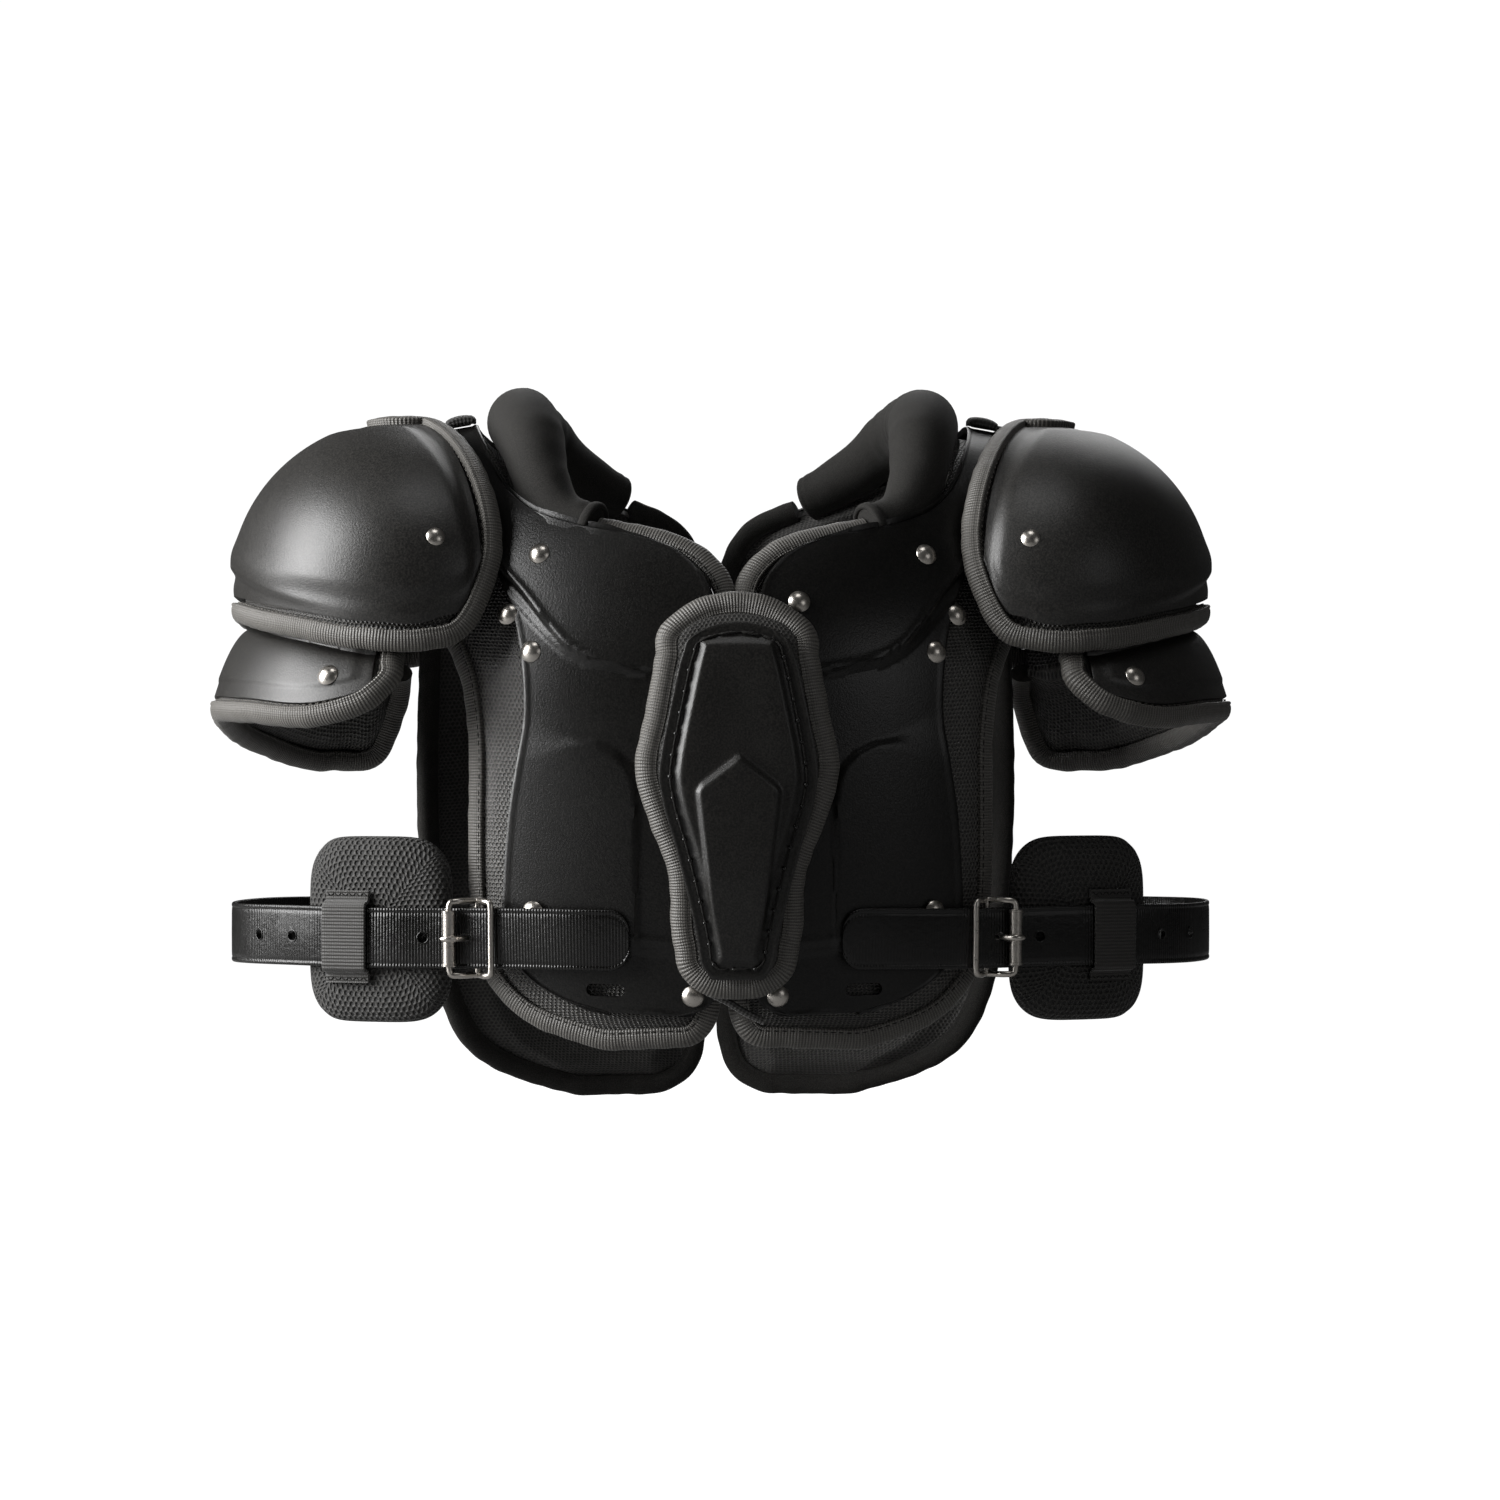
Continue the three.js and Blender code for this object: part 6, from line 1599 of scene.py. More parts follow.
BELT_WIDTH = 25
BELT_THICKNESS = 2
BELT_HEIGHT = -190
BELT_HOLE = 4.2
BELT_HOLE_PITCH = 20
BELT_HOLES = (0.17, 1.1, 3.1, 4.1, 5.1)
BELT_SIDE_REACH = 208
BELT_FREE_END = 42
BACK_ANCHOR = 64
BACK_OVERLAP = 24
HEM_RAISE = 1.2
TAB_THICKNESS = 1.6
TAB_WIDTH = 24
RIVET_RISE = 1.8
BUCKLE_ACROSS = 106
TAB_LIFT = PLATE_WALL + HEM_RAISE + CLEARANCE
BELT_LIFT = TAB_LIFT + TAB_THICKNESS + CLEARANCE + RIVET_RISE + 3 * CLEARANCE
BELT_END_LIFT = TAB_LIFT + 1.2
BELT_BACK_LIFT = PLATE_WALL + CLEARANCE + 1
BELT_CORNER = 8.5

# Belt route round the side: shares of the side reach, of the chest depth and of the back depth
BELT_ROUTE = (
    (0.56, 0.76, 0),
    (0.69, 0.69, 0),
    (0.82, 0.57, 0),
    (0.93, 0.39, 0),
    (0.99, 0.16, 0),
    (0.99, 0, 0.12),
    (0.92, 0, 0.42),
    (0.79, 0, 0.66),
    (0.64, 0, 0.81),
)


class BeltLine:
    """The belt's route on one side, measured along its own length."""

    def __init__(self, sign):
        def on_form(half, across, lift):
            point = form_seat(sign, along_at_height(BELT_HEIGHT, across, half), across, lift)[0]
            return (point[0], point[1], BELT_HEIGHT)

        points = [on_form(-1, BELT_FREE_END, BELT_END_LIFT),
                  on_form(-1, mix(BELT_FREE_END, PLATE_REACH, 0.4), mix(BELT_END_LIFT, BELT_LIFT, 0.7)),
                  on_form(-1, mix(BELT_FREE_END, PLATE_REACH, 0.85), BELT_LIFT)]
        for side, chest, back in BELT_ROUTE:
            toward_back = back * BACK_DEPTH - chest * CHEST_DEPTH
            points.append((sign * side * BELT_SIDE_REACH, toward_back, BELT_HEIGHT))
        points.append(on_form(1, BACK_ANCHOR, BELT_BACK_LIFT))
        points.append(on_form(1, BACK_ANCHOR - BACK_OVERLAP, BELT_BACK_LIFT))
        self.sign = sign
        self.line = spline(points, np.linspace(0, 1, 3001))
        step = np.linalg.norm(np.diff(self.line, axis=0), axis=1)
        self.run = np.concatenate([[0], np.cumsum(step)])
        self.length = self.run[-1]

    def point(self, distance):
        return np.stack([np.interp(distance, self.run, self.line[:, k]) for k in range(3)], axis=-1)

    def at(self, distance):
        """Point on the inner face, run, upward and outward directions at distances along the belt."""
        distance = np.asarray(distance, float)
        point = self.point(distance)
        run = unit(self.point(distance + 0.6) - self.point(distance - 0.6))
        x = np.minimum(np.abs(point[..., 0]), PLATE_REACH)
        front = point[..., 1] < 0
        along = np.where(front, along_at_height(BELT_HEIGHT, x, -1), along_at_height(BELT_HEIGHT, x, 1))
        lean = form_frame(along, x)[0] * np.array([self.sign, 1, 1])
        on_plate = 1 - np.clip((np.abs(point[..., 0]) - PLATE_REACH) / 20, 0, 1)
        rise = lean * np.where(front, 1, -1)[..., None]
        up = unit(mix(np.array([0, 0, 1.0]), rise, on_plate[..., None]))
        out = unit(np.cross(run, up))
        flat = point * np.array([1, 1, 0])
        out = np.where(np.sum(out * flat, axis=-1, keepdims=True) < 0, -out, out)
        return point, run, unit(np.cross(out, run)) * self.sign, out

    def distance_at(self, across):
        half = len(self.run) // 2
        return float(np.interp(across, np.abs(self.line[:half, 0]), self.run[:half]))


BELT_SECTION_HALF = ((0, 0), (11.9, 0), (12.4, 0.25), (12.5, 0.9), (12.45, 1.55), (12.1, 1.9), (11.5, 2.0),
                     (10.9, 1.9), (10.5, 1.72), (10.1, 1.86), (8.6, 1.95), (0, 2.0))


def belt_section(half):
    """A strap's section with creased edge lines, at a half width."""
    grown = half - BELT_WIDTH / 2
    right = [(x + grown if x > 8 else x, y) for x, y in BELT_SECTION_HALF]
    right = [(max(x, 0.02 * k), y) for k, (x, y) in enumerate(right)]
    left = [(-x, y) for x, y in right[::-1][1:-1]]
    return right + left


def hole_cutter(stations, diameter, depth):
    """Round pegs through a strap, in one mesh."""
    points, faces = [], []
    turn = np.arange(20) / 20 * 2 * math.pi
    for point, run, up, out in zip(*stations):
        start = len(points)
        ring = run * np.cos(turn)[:, None] + up * np.sin(turn)[:, None]
        for lift in (-depth, depth * 2):
            points.extend(point + out * lift + ring * diameter / 2)
        faces.append(list(range(start, start + 20)))
        faces.append(list(range(start + 20, start + 40)))
        far_ring = start + 20
        faces += [[start + k, start + (k + 1) % 20, far_ring + (k + 1) % 20, far_ring + k] for k in range(20)]
    return weld(mesh_object("cutter", np.array(points), faces))


def cut_holes(obj, cutter, material, sharp=60):
    cut = obj.modifiers.new("cut", "BOOLEAN")
    cut.operation = "DIFFERENCE"
    cut.object = cutter
    cut.solver = "EXACT"
    applied(obj)
    bpy.data.objects.remove(cutter)
    return finish_mesh(obj, material, sharp)


turn_eyelet = np.linspace(0, 2 * math.pi, 9)
EYELET_PROFILE = np.stack([2.35 + 0.32 * np.cos(turn_eyelet), 0.3 * np.sin(turn_eyelet)], axis=1)
EYELET_SHAPE = lathe_shape("shape_eyelet", EYELET_PROFILE, 24)


def belt_strap(name, line):
    tip = np.array([0, 0.12, 0.45, 1.0, 1.8, 2.8, 4.0, 5.6, 7.2, BELT_CORNER])
    distance = np.concatenate([tip, np.arange(BELT_CORNER + 1.5, line.length - 0.5, 1.5), [line.length]])
    from_corner = BELT_CORNER - np.minimum(distance, BELT_CORNER)
    inset = BELT_CORNER - np.sqrt(np.maximum(0, BELT_CORNER ** 2 - from_corner ** 2))
    point, _, up, out = line.at(distance)
    wave = 0.25 * np.sin(distance / 17 + line.sign)
    sections = np.array([belt_section(BELT_WIDTH / 2 - i) for i in inset])
    ring = point[:, None] + up[:, None] * (sections[..., :1] + wave[:, None, None])
    ring = ring + out[:, None] * sections[..., 1:]
    rows, columns = ring.shape[0], ring.shape[1] + 1
    ring = np.concatenate([ring, ring[:, :1]], axis=1)
    about = np.concatenate([[0], np.cumsum(np.linalg.norm(np.diff(sections[20], axis=0), axis=1)), [0]])
    about[-1] = about[-2] + 0.5
    uv = np.stack(np.broadcast_arrays(distance[:, None], about[None]), axis=-1).reshape(-1, 2) * MM
    quads = grid_faces(rows, columns)
    caps = [list(range(columns - 1)), list(range((rows - 1) * columns, rows * columns - 1))]
    corner = np.concatenate([uv[quads.ravel()], uv[caps[0]], uv[caps[1]]])
    obj = mesh_object(f"belt_strap_look_{name}", ring.reshape(-1, 3), quads.tolist() + caps, corner)
    weld(obj)
    start = line.distance_at(BUCKLE_ACROSS)
    stations = line.at(start + np.array(BELT_HOLES) * BELT_HOLE_PITCH)
    cut_holes(obj, hole_cutter(stations, BELT_HOLE, BELT_THICKNESS), VINYL)
    keep(obj, [f"belt_strap_{name}"])
    shown = [part[1:] for part in stations]
    rim_points = shown[0] + shown[3] * (BELT_THICKNESS + 0.02)
    rims = place_shapes(f"belt_holes_{name}", EYELET_SHAPE, rim_points, shown[3],
                        shown[1], np.ones(3), VINYL, uneven=0.0)
    keep(rims, [])


# Buckles

BUCKLE_WIRE = 2.6
BUCKLE_LENGTH = 18
BUCKLE_HEIGHT = 33
ROLLER_DIAMETER = 5.4
ROLLER_LENGTH = 25
PRONG_WIRE = 1.6
WIRE_HALF = BUCKLE_WIRE / 2
ROLLER_BAR_LIFT = BELT_THICKNESS + 2 * CLEARANCE + ROLLER_DIAMETER / 2
PLAIN_BAR_LIFT = BELT_THICKNESS + 2 * CLEARANCE + WIRE_HALF
MIDDLE_BAR_LIFT = -CLEARANCE - TAB_THICKNESS - CLEARANCE - WIRE_HALF
BUCKLE_HALF = BUCKLE_LENGTH / 2
RAIL_RISE = (BUCKLE_HEIGHT - BUCKLE_WIRE) / 2
BAR_REACH = ROLLER_LENGTH / 2 + 0.5
PRONG_TURN = WIRE_HALF + CLEARANCE + PRONG_WIRE / 2


def buckle(name, line):
    sign = line.sign
    origin, run, up, out = line.at(line.distance_at(BUCKLE_ACROSS))
    away = run if run[0] * sign > 0 else -run

    def at(along, rise, lift):
        along, rise, lift = np.broadcast_arrays(np.asarray(along, float), rise, lift)
        return origin + away * along[..., None] + up * rise[..., None] + out * lift[..., None]

    half = [(BUCKLE_HALF, 6, ROLLER_BAR_LIFT), (BUCKLE_HALF, BAR_REACH - 0.8, ROLLER_BAR_LIFT),
            (BUCKLE_HALF * 0.92, RAIL_RISE - 0.5, ROLLER_BAR_LIFT * 0.93),
            (BUCKLE_HALF * 0.62, RAIL_RISE, ROLLER_BAR_LIFT * 0.6), (0, RAIL_RISE, MIDDLE_BAR_LIFT),
            (-BUCKLE_HALF * 0.62, RAIL_RISE, PLAIN_BAR_LIFT * 0.6),
            (-BUCKLE_HALF * 0.94, RAIL_RISE - 0.6, PLAIN_BAR_LIFT * 0.95),
            (-BUCKLE_HALF, BAR_REACH - 1.4, PLAIN_BAR_LIFT), (-BUCKLE_HALF, 6, PLAIN_BAR_LIFT)]
    loop = np.array(half + [(a, -r, l) for a, r, l in half[::-1]])
    path = resample(at(*loop.T), 0.7, True)
    frame_wire = tube_object(f"buckle_frame_look_{name}", path, np.broadcast_to(out, path.shape),
                             oval(BUCKLE_WIRE, BUCKLE_WIRE, 14), NICKEL, closed=True)
    keep(frame_wire, [f"buckle_frame_{name}"])
    rise = np.linspace(-RAIL_RISE, RAIL_RISE, 12)
    bar = at(0, rise, MIDDLE_BAR_LIFT)
    bar_out = np.broadcast_to(out, bar.shape)
    keep(tube_object(f"buckle_bar_{name}", bar, bar_out, oval(BUCKLE_WIRE, BUCKLE_WIRE, 12),
                     NICKEL), [])
    end = ROLLER_LENGTH / 2 - 1
    rise = np.array([-end, -end + 0.15, -end + 1.1, -end + 1.25, 0, end - 1.25, end - 1.1, end - 0.15, end])
    size = np.array([5.2, 5.9, 5.9, ROLLER_DIAMETER, ROLLER_DIAMETER, ROLLER_DIAMETER, 5.9, 5.9, 5.2])
    bar = at(BUCKLE_HALF, rise, ROLLER_BAR_LIFT)
    rings = np.stack([oval(s, s, 24) for s in size])
    bar_out = np.broadcast_to(out, bar.shape)
    keep(tube_object(f"buckle_roller_look_{name}", bar, bar_out, rings, NICKEL, sharp=35),
         [f"buckle_roller_{name}"])
    turn = np.radians([170, 230, 290, 350])
    over = ROLLER_BAR_LIFT + ROLLER_DIAMETER / 2 + PRONG_WIRE / 2 + CLEARANCE
    route = [(math.cos(a) * PRONG_TURN, MIDDLE_BAR_LIFT + math.sin(a) * PRONG_TURN) for a in turn]
    route += [(PRONG_TURN + 0.7, BELT_THICKNESS / 2), (BUCKLE_HALF * 0.48, BELT_THICKNESS + PRONG_WIRE * 2),
              (BUCKLE_HALF * 0.8, over + 0.1), (BUCKLE_HALF * 1.22, over)]
    route = np.array(route)
    path = resample(at(route[:, 0], 0, route[:, 1]), 0.6)
    share = np.linspace(0, 1, len(path))
    narrowing = np.sqrt(1 - np.clip((share - 0.9) / 0.115, 0, 1) ** 2)
    width = mix(1.7, 2.5, smooth((share - 0.35) / 0.3)) * narrowing
    rings = np.stack([oval(w, min(w, PRONG_WIRE), 12) for w in width])
    prong_out = np.broadcast_to(out, path.shape) + away * 0.01
    keep(tube_object(f"buckle_prong_look_{name}", path, prong_out, rings, NICKEL),
         [f"buckle_prong_{name}"])
    buckle_tab(name, sign, at, out, away)


def buckle_tab(name, sign, at, out, away):
    inner = WIRE_HALF + CLEARANCE
    middle = inner + TAB_THICKNESS / 2
    anchor = 0.815 * PLATE_REACH - 9
    across = np.linspace(anchor, PLATE_REACH + 2, 20)
    strip, _, _, strip_out = form_seat(sign, along_at_height(BELT_HEIGHT, across, -1), across,
                                       TAB_LIFT + TAB_THICKNESS / 2)
    turn = np.radians(np.linspace(-90, 150, 17))
    eye = at(np.cos(turn) * middle, 0, MIDDLE_BAR_LIFT + np.sin(turn) * middle)
    eye_out = -(away * np.cos(turn)[:, None] + out * np.sin(turn)[:, None])
    path, outs = resample(np.vstack([strip, eye]), 0.9, False, np.vstack([strip_out, eye_out]))
    share = np.arange(len(path)) * 0.9
    width = TAB_WIDTH - 2 * (5 - np.sqrt(25 - (5 - np.minimum(share, 5)) ** 2))
    section = oval(1, 1, 24, 7)
    rings = np.stack([section * (w, TAB_THICKNESS) for w in width])
    tab = tube_object(f"buckle_tab_look_{name}", path, unit(outs), rings, VINYL)
    keep(tab, [f"buckle_tab_{name}"])


# Side pads and their elastic keepers

SIDE_PAD_LENGTH = 66
SIDE_PAD_HEIGHT = 76
SIDE_PAD_THICKNESS = 13
SIDE_PAD_CLIP = 0.27
KEEPER_WIDTH = 20
KEEPER_THICKNESS = 1.5
KEEPER_PLACE = 43


def side_pad(name, line):
    start = line.distance_at(PAD_REACH + BINDING_WIDTH + 3)
    u, v = np.meshgrid(np.linspace(-1, 1, 56), np.linspace(-1, 1, 64))
    box = np.maximum(np.abs(u), np.abs(v))
    slant = (np.abs(u) + np.abs(v)) / (2 - SIDE_PAD_CLIP)
    power = 14
    eight = (np.abs(u) ** power + np.abs(v) ** power + slant ** power) ** (1 / power) + 1e-9
    scale = box / eight * 1.01
    u, v = u * scale, v * scale
    edge = (1 - box) * 33
    full = np.sqrt(1 - (1 - np.clip(edge / 9, 0, 1)) ** 2)
    lump = 0.5 * np.sin(u * 5 + 1) * np.cos(v * 4 - 0.6) * full
    point, _, _, out = line.at(start + (u + 1) / 2 * SIDE_PAD_LENGTH)
    spot = point + np.array([0, 0, 1.0]) * (v * SIDE_PAD_HEIGHT / 2 + 3)[..., None]
    back = CLEARANCE + KEEPER_THICKNESS
    middle = -back - SIDE_PAD_THICKNESS / 2
    half = SIDE_PAD_THICKNESS / 2 * mix(0.12, 1, full)
    outer = spot + out * (middle + half + np.minimum(0, lump))[..., None]
    inner = spot + out * (middle - half + lump)[..., None]
    if line.sign < 0:
        outer, inner = outer[:, ::-1], inner[:, ::-1]
    obj = slab_object(f"side_pad_look_{name}", outer, inner, CHUNKY_MESH, sharp=80)
    keep(obj, [f"side_pad_{name}"])


def keeper(name, line):
    start = line.distance_at(PAD_REACH + BINDING_WIDTH + 3) + KEEPER_PLACE
    point, run, up, out = line.at(start)
    route = np.array([
        (19, -0.72), (17, -0.72), (15.2, -0.55), (14.3, 0.1), (14.0, 1.2), (13.7, 2.3),
        (12.7, 2.95), (10, 3.05), (5, 3.1), (0, 3.1)])
    route = np.vstack([route, route[::-1][1:] * (-1, 1)])
    slope = np.gradient(route, axis=0)
    turned = unit(np.stack([slope[:, 1], -slope[:, 0]], axis=1))
    path = point + up * route[:, :1] + out * route[:, 1:]
    outs = up * turned[:, :1] + out * turned[:, 1:]
    path, outs = resample(path, 0.8, False, outs)
    section = oval(KEEPER_WIDTH, KEEPER_THICKNESS, 28, 8)
    loop = tube_object(f"keeper_loop_look_{name}", path, unit(outs), section, ELASTIC)
    keep(loop, [f"keeper_loop_{name}"])
    for label, rise in (("top", 17.4), ("bottom", -17.4)):
        spots = np.array([point + run * a + up * rise + out * 0.12 for a in (-8.5, -3, 3, 8.5)])
        spots_out = np.broadcast_to(out, spots.shape)
        stitch_line(f"keeper_stitches_{label}_{name}", spots, spots_out, 1.7, 1.9, 0.5,
                    zigzag=0.9)


for side_name, side_sign in SIDES.items():
    belt = BeltLine(side_sign)
    belt_strap(side_name, belt)
    buckle(side_name, belt)
    side_pad(side_name, belt)
    keeper(side_name, belt)


# Breastbone bumper

STERNUM_TOP = -49
STERNUM_LENGTH = 164
STERNUM_HALF_WIDTH = 40.5
STERNUM_PAD_THICKNESS = 10
STERNUM_PLATE_HALF_WIDTH = 32
STERNUM_PLATE_WALL = 3
STERNUM_FIELD_RAISE = 1.8
STERNUM_EMBOSS_RAISE = 2.3
PANEL_RAISE = 2.4
STERNUM_BACK_LIFT = PLATE_WALL + PANEL_RAISE + CLEARANCE + 0.4
STERNUM_CURL = 0.55
STERNUM_RIM = 6.6
STERNUM_TOP_BOW = 0.028

STERNUM_COLUMNS = ("down", "half")
STERNUM_PAD_ROWS = (
    (0.045, 0.44),
    (0.075, 0.58),
    (0.16, 0.64),
    (0.3, 0.74),
    (0.445, 0.84),
    (0.56, 0.7),
    (0.67, 0.53),
    (0.87, 0.45),
    (0.935, 0.36),
    (0.96, 0.2),
)
STERNUM_PLATE_ROWS = (
    (0.075, 0.5),
    (0.1, 0.63),
    (0.14, 0.69),
    (0.27, 0.84),
    (0.4, 0.97),
    (0.42, 0.985),
    (0.46, 1.0),
    (0.5, 0.97),
    (0.65, 0.76),
    (0.84, 0.53),
    (0.87, 0.5),
    (0.92, 0.45),
    (0.955, 0.33),
)
COFFIN = ((0, -115.5), (15, -127), (16.6, -129.5), (16.3, -133), (9.8, -188), (9.4, -194))


def sternum_point(across, down, lift):
    across, down, lift = np.broadcast_arrays(np.asarray(across, float), down, lift)
    height = STERNUM_TOP - down * STERNUM_LENGTH
    y = profile_at(along_at_height(height, 0.0, -1))[0]
    curl = np.sqrt(1 - (across / HALF_GIRTH) ** 2)
    return np.stack([across, y * mix(1, curl, STERNUM_CURL) - STERNUM_BACK_LIFT - lift, height], axis=-1)


def bowed(down, share):
    """The outline's upper edge rises in the middle."""
    return down + STERNUM_TOP_BOW * share ** 2 * (1 - smooth((down - 0.04) / 0.16))


def sternum_grid(table, half_width, rows, columns, lift):
    down = np.linspace(table[0][0], table[-1][0], rows)
    half = table_curve(table, STERNUM_COLUMNS, "down", "half", down) * half_width
    share = np.linspace(-1, 1, columns)
    s, d = np.meshgrid(share, down)
    return sternum_point(s * half[:, None], bowed(d, s), lift)


def sternum_pad():
    shape = sternum_grid(STERNUM_PAD_ROWS, STERNUM_HALF_WIDTH, 90, 44, 0.0)
    sides, low, high = inside_distance(shape)
    full = np.sqrt(1 - (1 - np.clip(np.minimum(sides, np.minimum(low, high)) / 6, 0, 1)) ** 2)
    front = np.array([0, -1.0, 0])
    middle = STERNUM_PAD_THICKNESS / 2
    reach = middle * mix(0.55, 1, full)
    obj = slab_object("sternum_pad_look", shape + front * (middle + reach - 0.25)[..., None],
                      shape + front * (middle - reach)[..., None], BACK_MESH)
    keep(obj, ["sternum_pad"])


def sternum_outline():
    down = np.linspace(0.05, 0.95, 46)
    half = table_curve(STERNUM_PAD_ROWS, STERNUM_COLUMNS, "down", "half", down) * STERNUM_HALF_WIDTH
    lift = STERNUM_PAD_THICKNESS / 2 - 0.5
    top = np.linspace(-0.8, 0.8, 7)
    right = sternum_point(half, bowed(down, 1.0), lift)
    base_half = STERNUM_PAD_ROWS[-1][1] * STERNUM_HALF_WIDTH
    base = sternum_point(-top * base_half, 0.961, lift)
    left = sternum_point(-half[::-1], bowed(down[::-1], 1.0), lift)
    head_half = STERNUM_PAD_ROWS[0][1] * STERNUM_HALF_WIDTH
    head = sternum_point(top * head_half, bowed(0.043, top), lift)
    return np.vstack([right, base, left, head])


def sternum_plate():
    shape = sternum_grid(STERNUM_PLATE_ROWS, STERNUM_PLATE_HALF_WIDTH, 122, 78,
                         STERNUM_PAD_THICKNESS + CLEARANCE + STERNUM_PLATE_WALL)
    sides, low, high = inside_distance(shape)
    corner = 5.0
    ends = np.minimum(low, high)
    both = np.where((sides < corner) & (ends < corner),
                    corner - np.hypot(corner - sides, corner - ends), np.minimum(sides, ends))
    field = STERNUM_FIELD_RAISE * ramp(both - STERNUM_RIM - 1.2, 3.0)
    x, z = shape[..., 0], shape[..., 2]
    coffin = line_distance(np.abs(x), z, COFFIN)
    fade = smooth((z + 196) / 34)
    emboss = STERNUM_EMBOSS_RAISE * ramp(-coffin, 2.4) * fade
    dish = 0.9 * smooth((both - 12) / 14) * (1 - ramp(-coffin, 9.0))
    trough = -0.45 * bell(both - STERNUM_RIM + 1.3, 0.9)
    rim = 0.35 * bell(both - 0.9, 0.7)
    points = shape + np.array([0, -1.0, 0]) * (field + emboss - dish * 0.6 + trough + rim)[..., None]
    out = np.broadcast_to(np.array([0, -1.0, 0]), points.shape)
    obj = sheet_object("sternum_plate_look", points, out, STERNUM_PLATE_WALL, 0.7, SHELL)
    keep(obj, ["sternum_plate"])


def plate_path(inset):
    """A closed run round the bumper's hard plate, set in from its edge."""
    top, base = STERNUM_PLATE_ROWS[0][0], STERNUM_PLATE_ROWS[-1][0]
    cut = inset / STERNUM_LENGTH
    down = np.linspace(top + cut, base - cut, 44)
    half = table_curve(STERNUM_PLATE_ROWS, STERNUM_COLUMNS, "down", "half", down) * STERNUM_PLATE_HALF_WIDTH
    half = half - inset * 1.05
    half[[0, -1]] -= (1.6, 2.0)
    lift = STERNUM_PAD_THICKNESS + CLEARANCE + STERNUM_PLATE_WALL + 0.05
    right = sternum_point(half, bowed(down, 1.0), lift)
    left = sternum_point(-half[::-1], bowed(down[::-1], 1.0), lift)
    across = np.array([-0.5, 0, 0.5])
    head = sternum_point(across * half[0], bowed(down[0], across), lift)
    base_row = sternum_point(-across * half[-1], down[-1], lift)
    return np.vstack([right, base_row, left, head])


LACE_PITCH = 8.8

sternum_pad()
sternum_plate()
front_out = np.array([0, -1.0, 0])
outline = sternum_outline()
outline_out = np.broadcast_to(front_out, outline.shape)
closed_edging("sternum_binding_look", "sternum_binding", outline, outline_out, 21, height=1.24)
rim_stitches("sternum_stitches", outline, outline_out, 1.1, 4.6, True, pitch=4.2, length=2.8)
lacing = plate_path(4.3)
lacing_even, lacing_out = resample(lacing, 0.8, True, np.broadcast_to(front_out, lacing.shape))
dip = np.abs(np.cos(np.arange(len(lacing_even)) * 0.8 / LACE_PITCH * math.pi)) ** 14
lacing_path = lacing_even + front_out * (0.35 - 0.9 * dip)[:, None]
lacing_cord = tube_object("sternum_lacing", lacing_path, lacing_out, oval(1.0, 0.9, 10), THREAD, closed=True)
keep(lacing_cord, [])
KNOT_SHAPE = lathe_shape("shape_knot", ((0, 0.5), (0.28, 0.44), (0.5, 0.2), (0.5, 0), (0, 0)), 12)
knots, knots_out = resample(lacing, LACE_PITCH, True, np.broadcast_to(front_out, lacing.shape))
knot_run = path_frames(knots, knots_out, True)[0]
keep(place_shapes("sternum_knots", KNOT_SHAPE, knots + front_out * 0.02, knots_out, knot_run,
                  np.array([1.9, 1.9, 1.5]), VINYL, uneven=0.12), [])


# Lace between the front plates, and the strap that joins the back plates

LACE_THICKNESS = 3
BRIDGE_WIDTH = 44
BRIDGE_HEIGHT = 26
BRIDGE_THICKNESS = 2.5


def front_lace():
    height = -0.905 * FRONT_DROP
    y = profile_at(along_at_height(height, 0.0, -1))[0] - PLATE_WALL - HEM_RAISE - LACE_THICKNESS / 2 - CLEARANCE
    reach = CENTRE_GAP + 5
    points = [(-reach, y, height + 6), (-CENTRE_GAP / 2, y, height + 2), (CENTRE_GAP / 2, y, height - 2),
              (reach, y, height - 6)]
    path = resample(points, 0.7)
    out = np.broadcast_to(front_out, path.shape)
    keep(tube_object("front_lace_look", path, out, oval(LACE_THICKNESS, LACE_THICKNESS - 0.4, 14), WEBBING),
         ["front_lace"])


def back_bridge():
    height = -0.42 * BACK_DROP
    y = profile_at(along_at_height(height, 0.0, 1))[0] + PLATE_WALL + CLEARANCE + BRIDGE_THICKNESS / 2 + 0.3
    across = np.linspace(-BRIDGE_WIDTH / 2, BRIDGE_WIDTH / 2, 30)
    path = np.stack([across, np.full(30, y), np.full(30, height)], axis=1)
    out = np.broadcast_to(-front_out, path.shape)
    end = BRIDGE_WIDTH / 2 - np.abs(across)
    heights = [BRIDGE_HEIGHT - 2 * (3 - math.sqrt(9 - (3 - min(e, 3)) ** 2)) for e in end]
    rings = [oval(height, BRIDGE_THICKNESS, 28, 7) for height in heights]
    keep(tube_object("back_bridge_look", path, out, np.stack(rings), SHELL), ["back_bridge"])


front_lace()
back_bridge()


# Rivets

PLATE_RIVETS = (
    ("clavicle", 0.835, 0.148, (-1, 1)),
    ("armhole_upper", 0.985, 0.243, (-1, 1)),
    ("armhole_lower", 0.885, 0.306, (-1, 1)),
    ("tab", 0.86, 0.744, (-1, 1)),
    ("hem", 0.185, 0.887, (-1, 1)),
    ("sternum", 0.27, 0.23, (1,)),
)
CAP_RIVET_ANGLE = 99
CAP_RIVET_SHARE = 0.34
EPAULET_RIVET_ANGLE = 66
EPAULET_RIVET_SHARE = 0.42


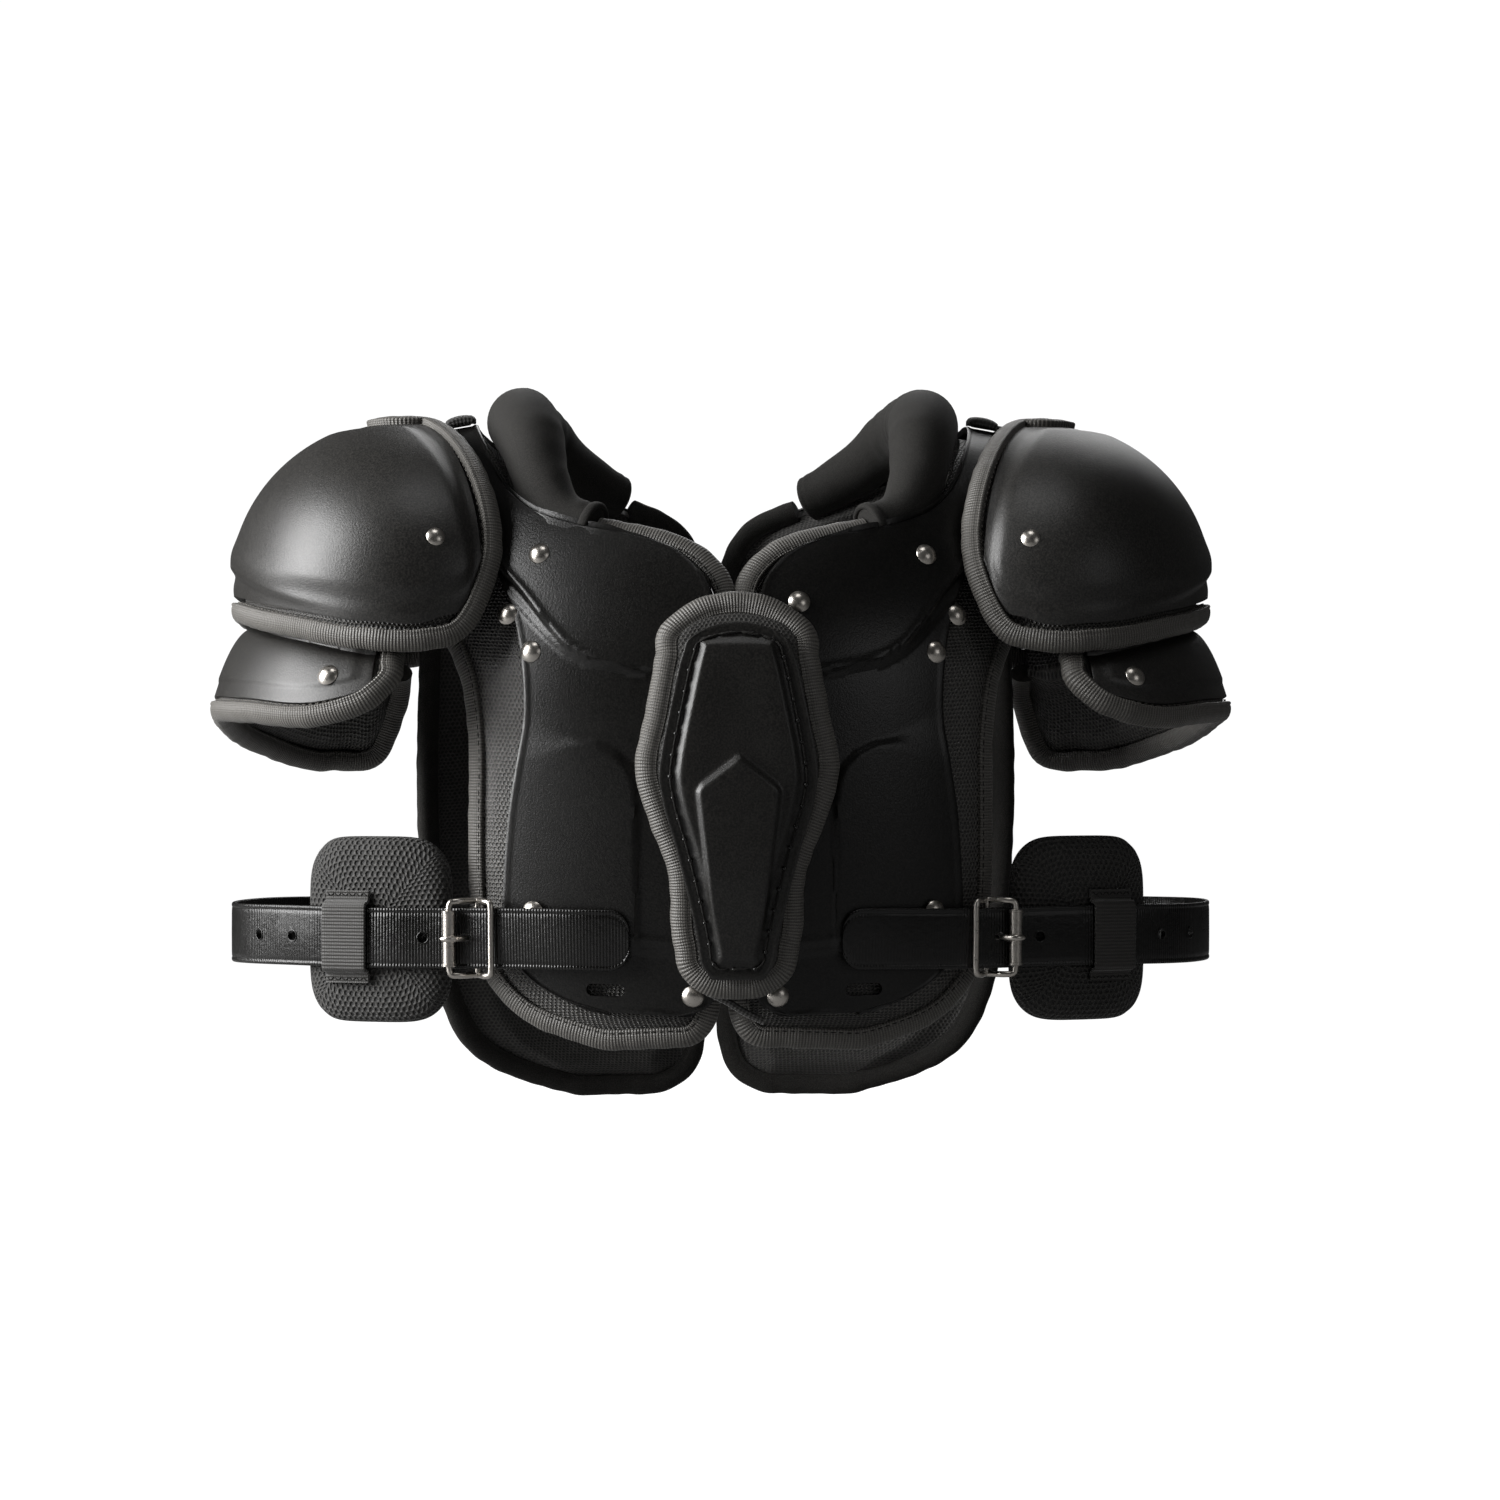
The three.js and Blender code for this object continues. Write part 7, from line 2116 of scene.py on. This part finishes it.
def surface_seat(surface, angle, share, centre):
    """Point and outward direction where a rivet stands on a cap or an epaulet."""
    step = surface(np.array([angle - 1, angle + 1, angle, angle, angle]),
                   np.array([share, share, share - 0.02, share + 0.02, share]))
    out = unit(np.cross(step[1] - step[0], step[3] - step[2]))
    if np.dot(out, step[4] - centre) < 0:
        out = -out
    return step[4], out


for side_name, side_sign in SIDES.items():
    nodes, spots, spots_out = [], [], []
    for label, share_across, share_down, sides in PLATE_RIVETS:
        if side_sign not in sides:
            continue
        proud = TAB_THICKNESS + CLEARANCE if label == "tab" else 0
        spot, _, _, spot_out = plate_seat(side_sign, share_across * PLATE_REACH, -share_down * FRONT_DROP,
                                          CLEARANCE - 0.25 + proud)
        nodes.append(f"{label}_rivet_{side_name}")
        spots.append(spot)
        spots_out.append(spot_out)
    spot, spot_out = surface_seat(lambda a, s: cap_at(side_sign, a, s, 0.0), CAP_RIVET_ANGLE,
                                  CAP_RIVET_SHARE, cap_centre(side_sign))
    spots.append(spot + spot_out * 0.9)
    spots_out.append(spot_out)
    spot, spot_out = surface_seat(lambda a, s: epaulet_at(side_sign, a, s, 0.0), EPAULET_RIVET_ANGLE,
                                  EPAULET_RIVET_SHARE, epaulet_centre(side_sign))
    spots.append(spot + spot_out * 0.1)
    spots_out.append(spot_out)
    nodes += [f"cap_rivet_{side_name}", f"epaulet_rivet_{side_name}"]
    spots, spots_out = np.array(spots), np.array(spots_out)
    runs = unit(np.cross(spots_out, np.array([0.0, 0, 1])) + 1e-6)
    keep(place_shapes(f"rivets_look_{side_name}", RIVET_SHAPE, spots, spots_out, runs, np.ones(3), NICKEL,
                      uneven=0.0), nodes)

for shape in (RIVET_SHAPE, STITCH_SHAPE, EYELET_SHAPE, KNOT_SHAPE):
    bpy.data.objects.remove(shape)


# Stage: pale floor and backdrop, soft studio light, and the photo's camera

FLOOR_HEIGHT = cad_low.z - 0.06


def stage_mesh(name, points, faces, material):
    mesh = bpy.data.meshes.new(name)
    mesh.from_pydata(points, [], faces)
    mesh.materials.append(material)
    obj = bpy.data.objects.new(name, mesh)
    bpy.context.scene.collection.objects.link(obj)
    return obj


floor_material, floor_tree, floor_inputs = start_material("Pale floor", (0.24, 0.24, 0.24), 0.9)
seen = floor_tree.node("ShaderNodeLightPath").outputs["Is Camera Ray"]
floor_inputs["Emission Color"].default_value = (1, 1, 1, 1)
floor_tree.join(seen, floor_inputs["Emission Strength"])
FLOOR_REACH = 12
stage_mesh("floor", [(-FLOOR_REACH, -FLOOR_REACH, FLOOR_HEIGHT), (FLOOR_REACH, -FLOOR_REACH, FLOOR_HEIGHT),
                     (FLOOR_REACH, FLOOR_REACH, FLOOR_HEIGHT), (-FLOOR_REACH, FLOOR_REACH, FLOOR_HEIGHT)],
           [(0, 1, 2, 3)], floor_material)

world = bpy.data.worlds.new("Studio")
world.use_nodes = True
sky = world.node_tree.nodes["Background"]
sky.inputs["Color"].default_value = (1, 1, 1, 1)
AMBIENT = 0.035
BACKDROP = 1.05
sky_tree = Tree(world.node_tree)
sky_seen = sky_tree.node("ShaderNodeLightPath").outputs["Is Camera Ray"]
sky_tree.join(sky_tree.remap(sky_seen, 0.0, 1.0, AMBIENT, BACKDROP), sky.inputs["Strength"])
bpy.context.scene.world = world

LAMP_COLUMNS = ("name", "azimuth", "elevation", "distance", "width", "power")
LAMPS = (
    ("key", -80, 22, 1.5, 1.1, 52),
    ("low", -80, 4, 1.5, 0.5, 10),
    ("fill", 40, 12, 2.0, 0.8, 2.0),
    ("top", 5, 74, 1.4, 0.5, 2.4),
    ("rim", 165, 35, 1.6, 0.9, 6),
)
AIM = Vector((0.0, 0.0, -0.1))

for row in LAMPS:
    lamp = dict(zip(LAMP_COLUMNS, row))
    light = bpy.data.lights.new(lamp["name"], "AREA")
    light.energy = lamp["power"]
    light.size = lamp["width"]
    around, above = math.radians(lamp["azimuth"]), math.radians(lamp["elevation"])
    level = math.cos(above)
    toward = Vector((math.sin(around) * level, -math.cos(around) * level, math.sin(above)))
    holder = bpy.data.objects.new(lamp["name"], light)
    holder.location = AIM + toward * lamp["distance"]
    holder.rotation_euler = (-toward).to_track_quat("-Z", "Y").to_euler()
    bpy.context.scene.collection.objects.link(holder)

CAMERA_DISTANCE = 2.0
CAMERA_TURN = -3.2
CAMERA_AIM = Vector((0.012, 0.0, -0.113))
FRAME_WIDTH = 0.645
SENSOR = 36

camera_data = bpy.data.cameras.new("Camera")
camera_data.sensor_width = SENSOR
camera_data.lens = SENSOR * CAMERA_DISTANCE / FRAME_WIDTH
camera_data.clip_end = 100
camera = bpy.data.objects.new("Camera", camera_data)
turned = math.radians(CAMERA_TURN)
camera_back = Vector((math.sin(turned), -math.cos(turned), 0))
camera.location = CAMERA_AIM + camera_back * CAMERA_DISTANCE
camera.rotation_euler = (-camera_back).to_track_quat("-Z", "Y").to_euler()
bpy.context.scene.collection.objects.link(camera)
bpy.context.scene.camera = camera
bpy.context.scene.view_settings.view_transform = "Standard"
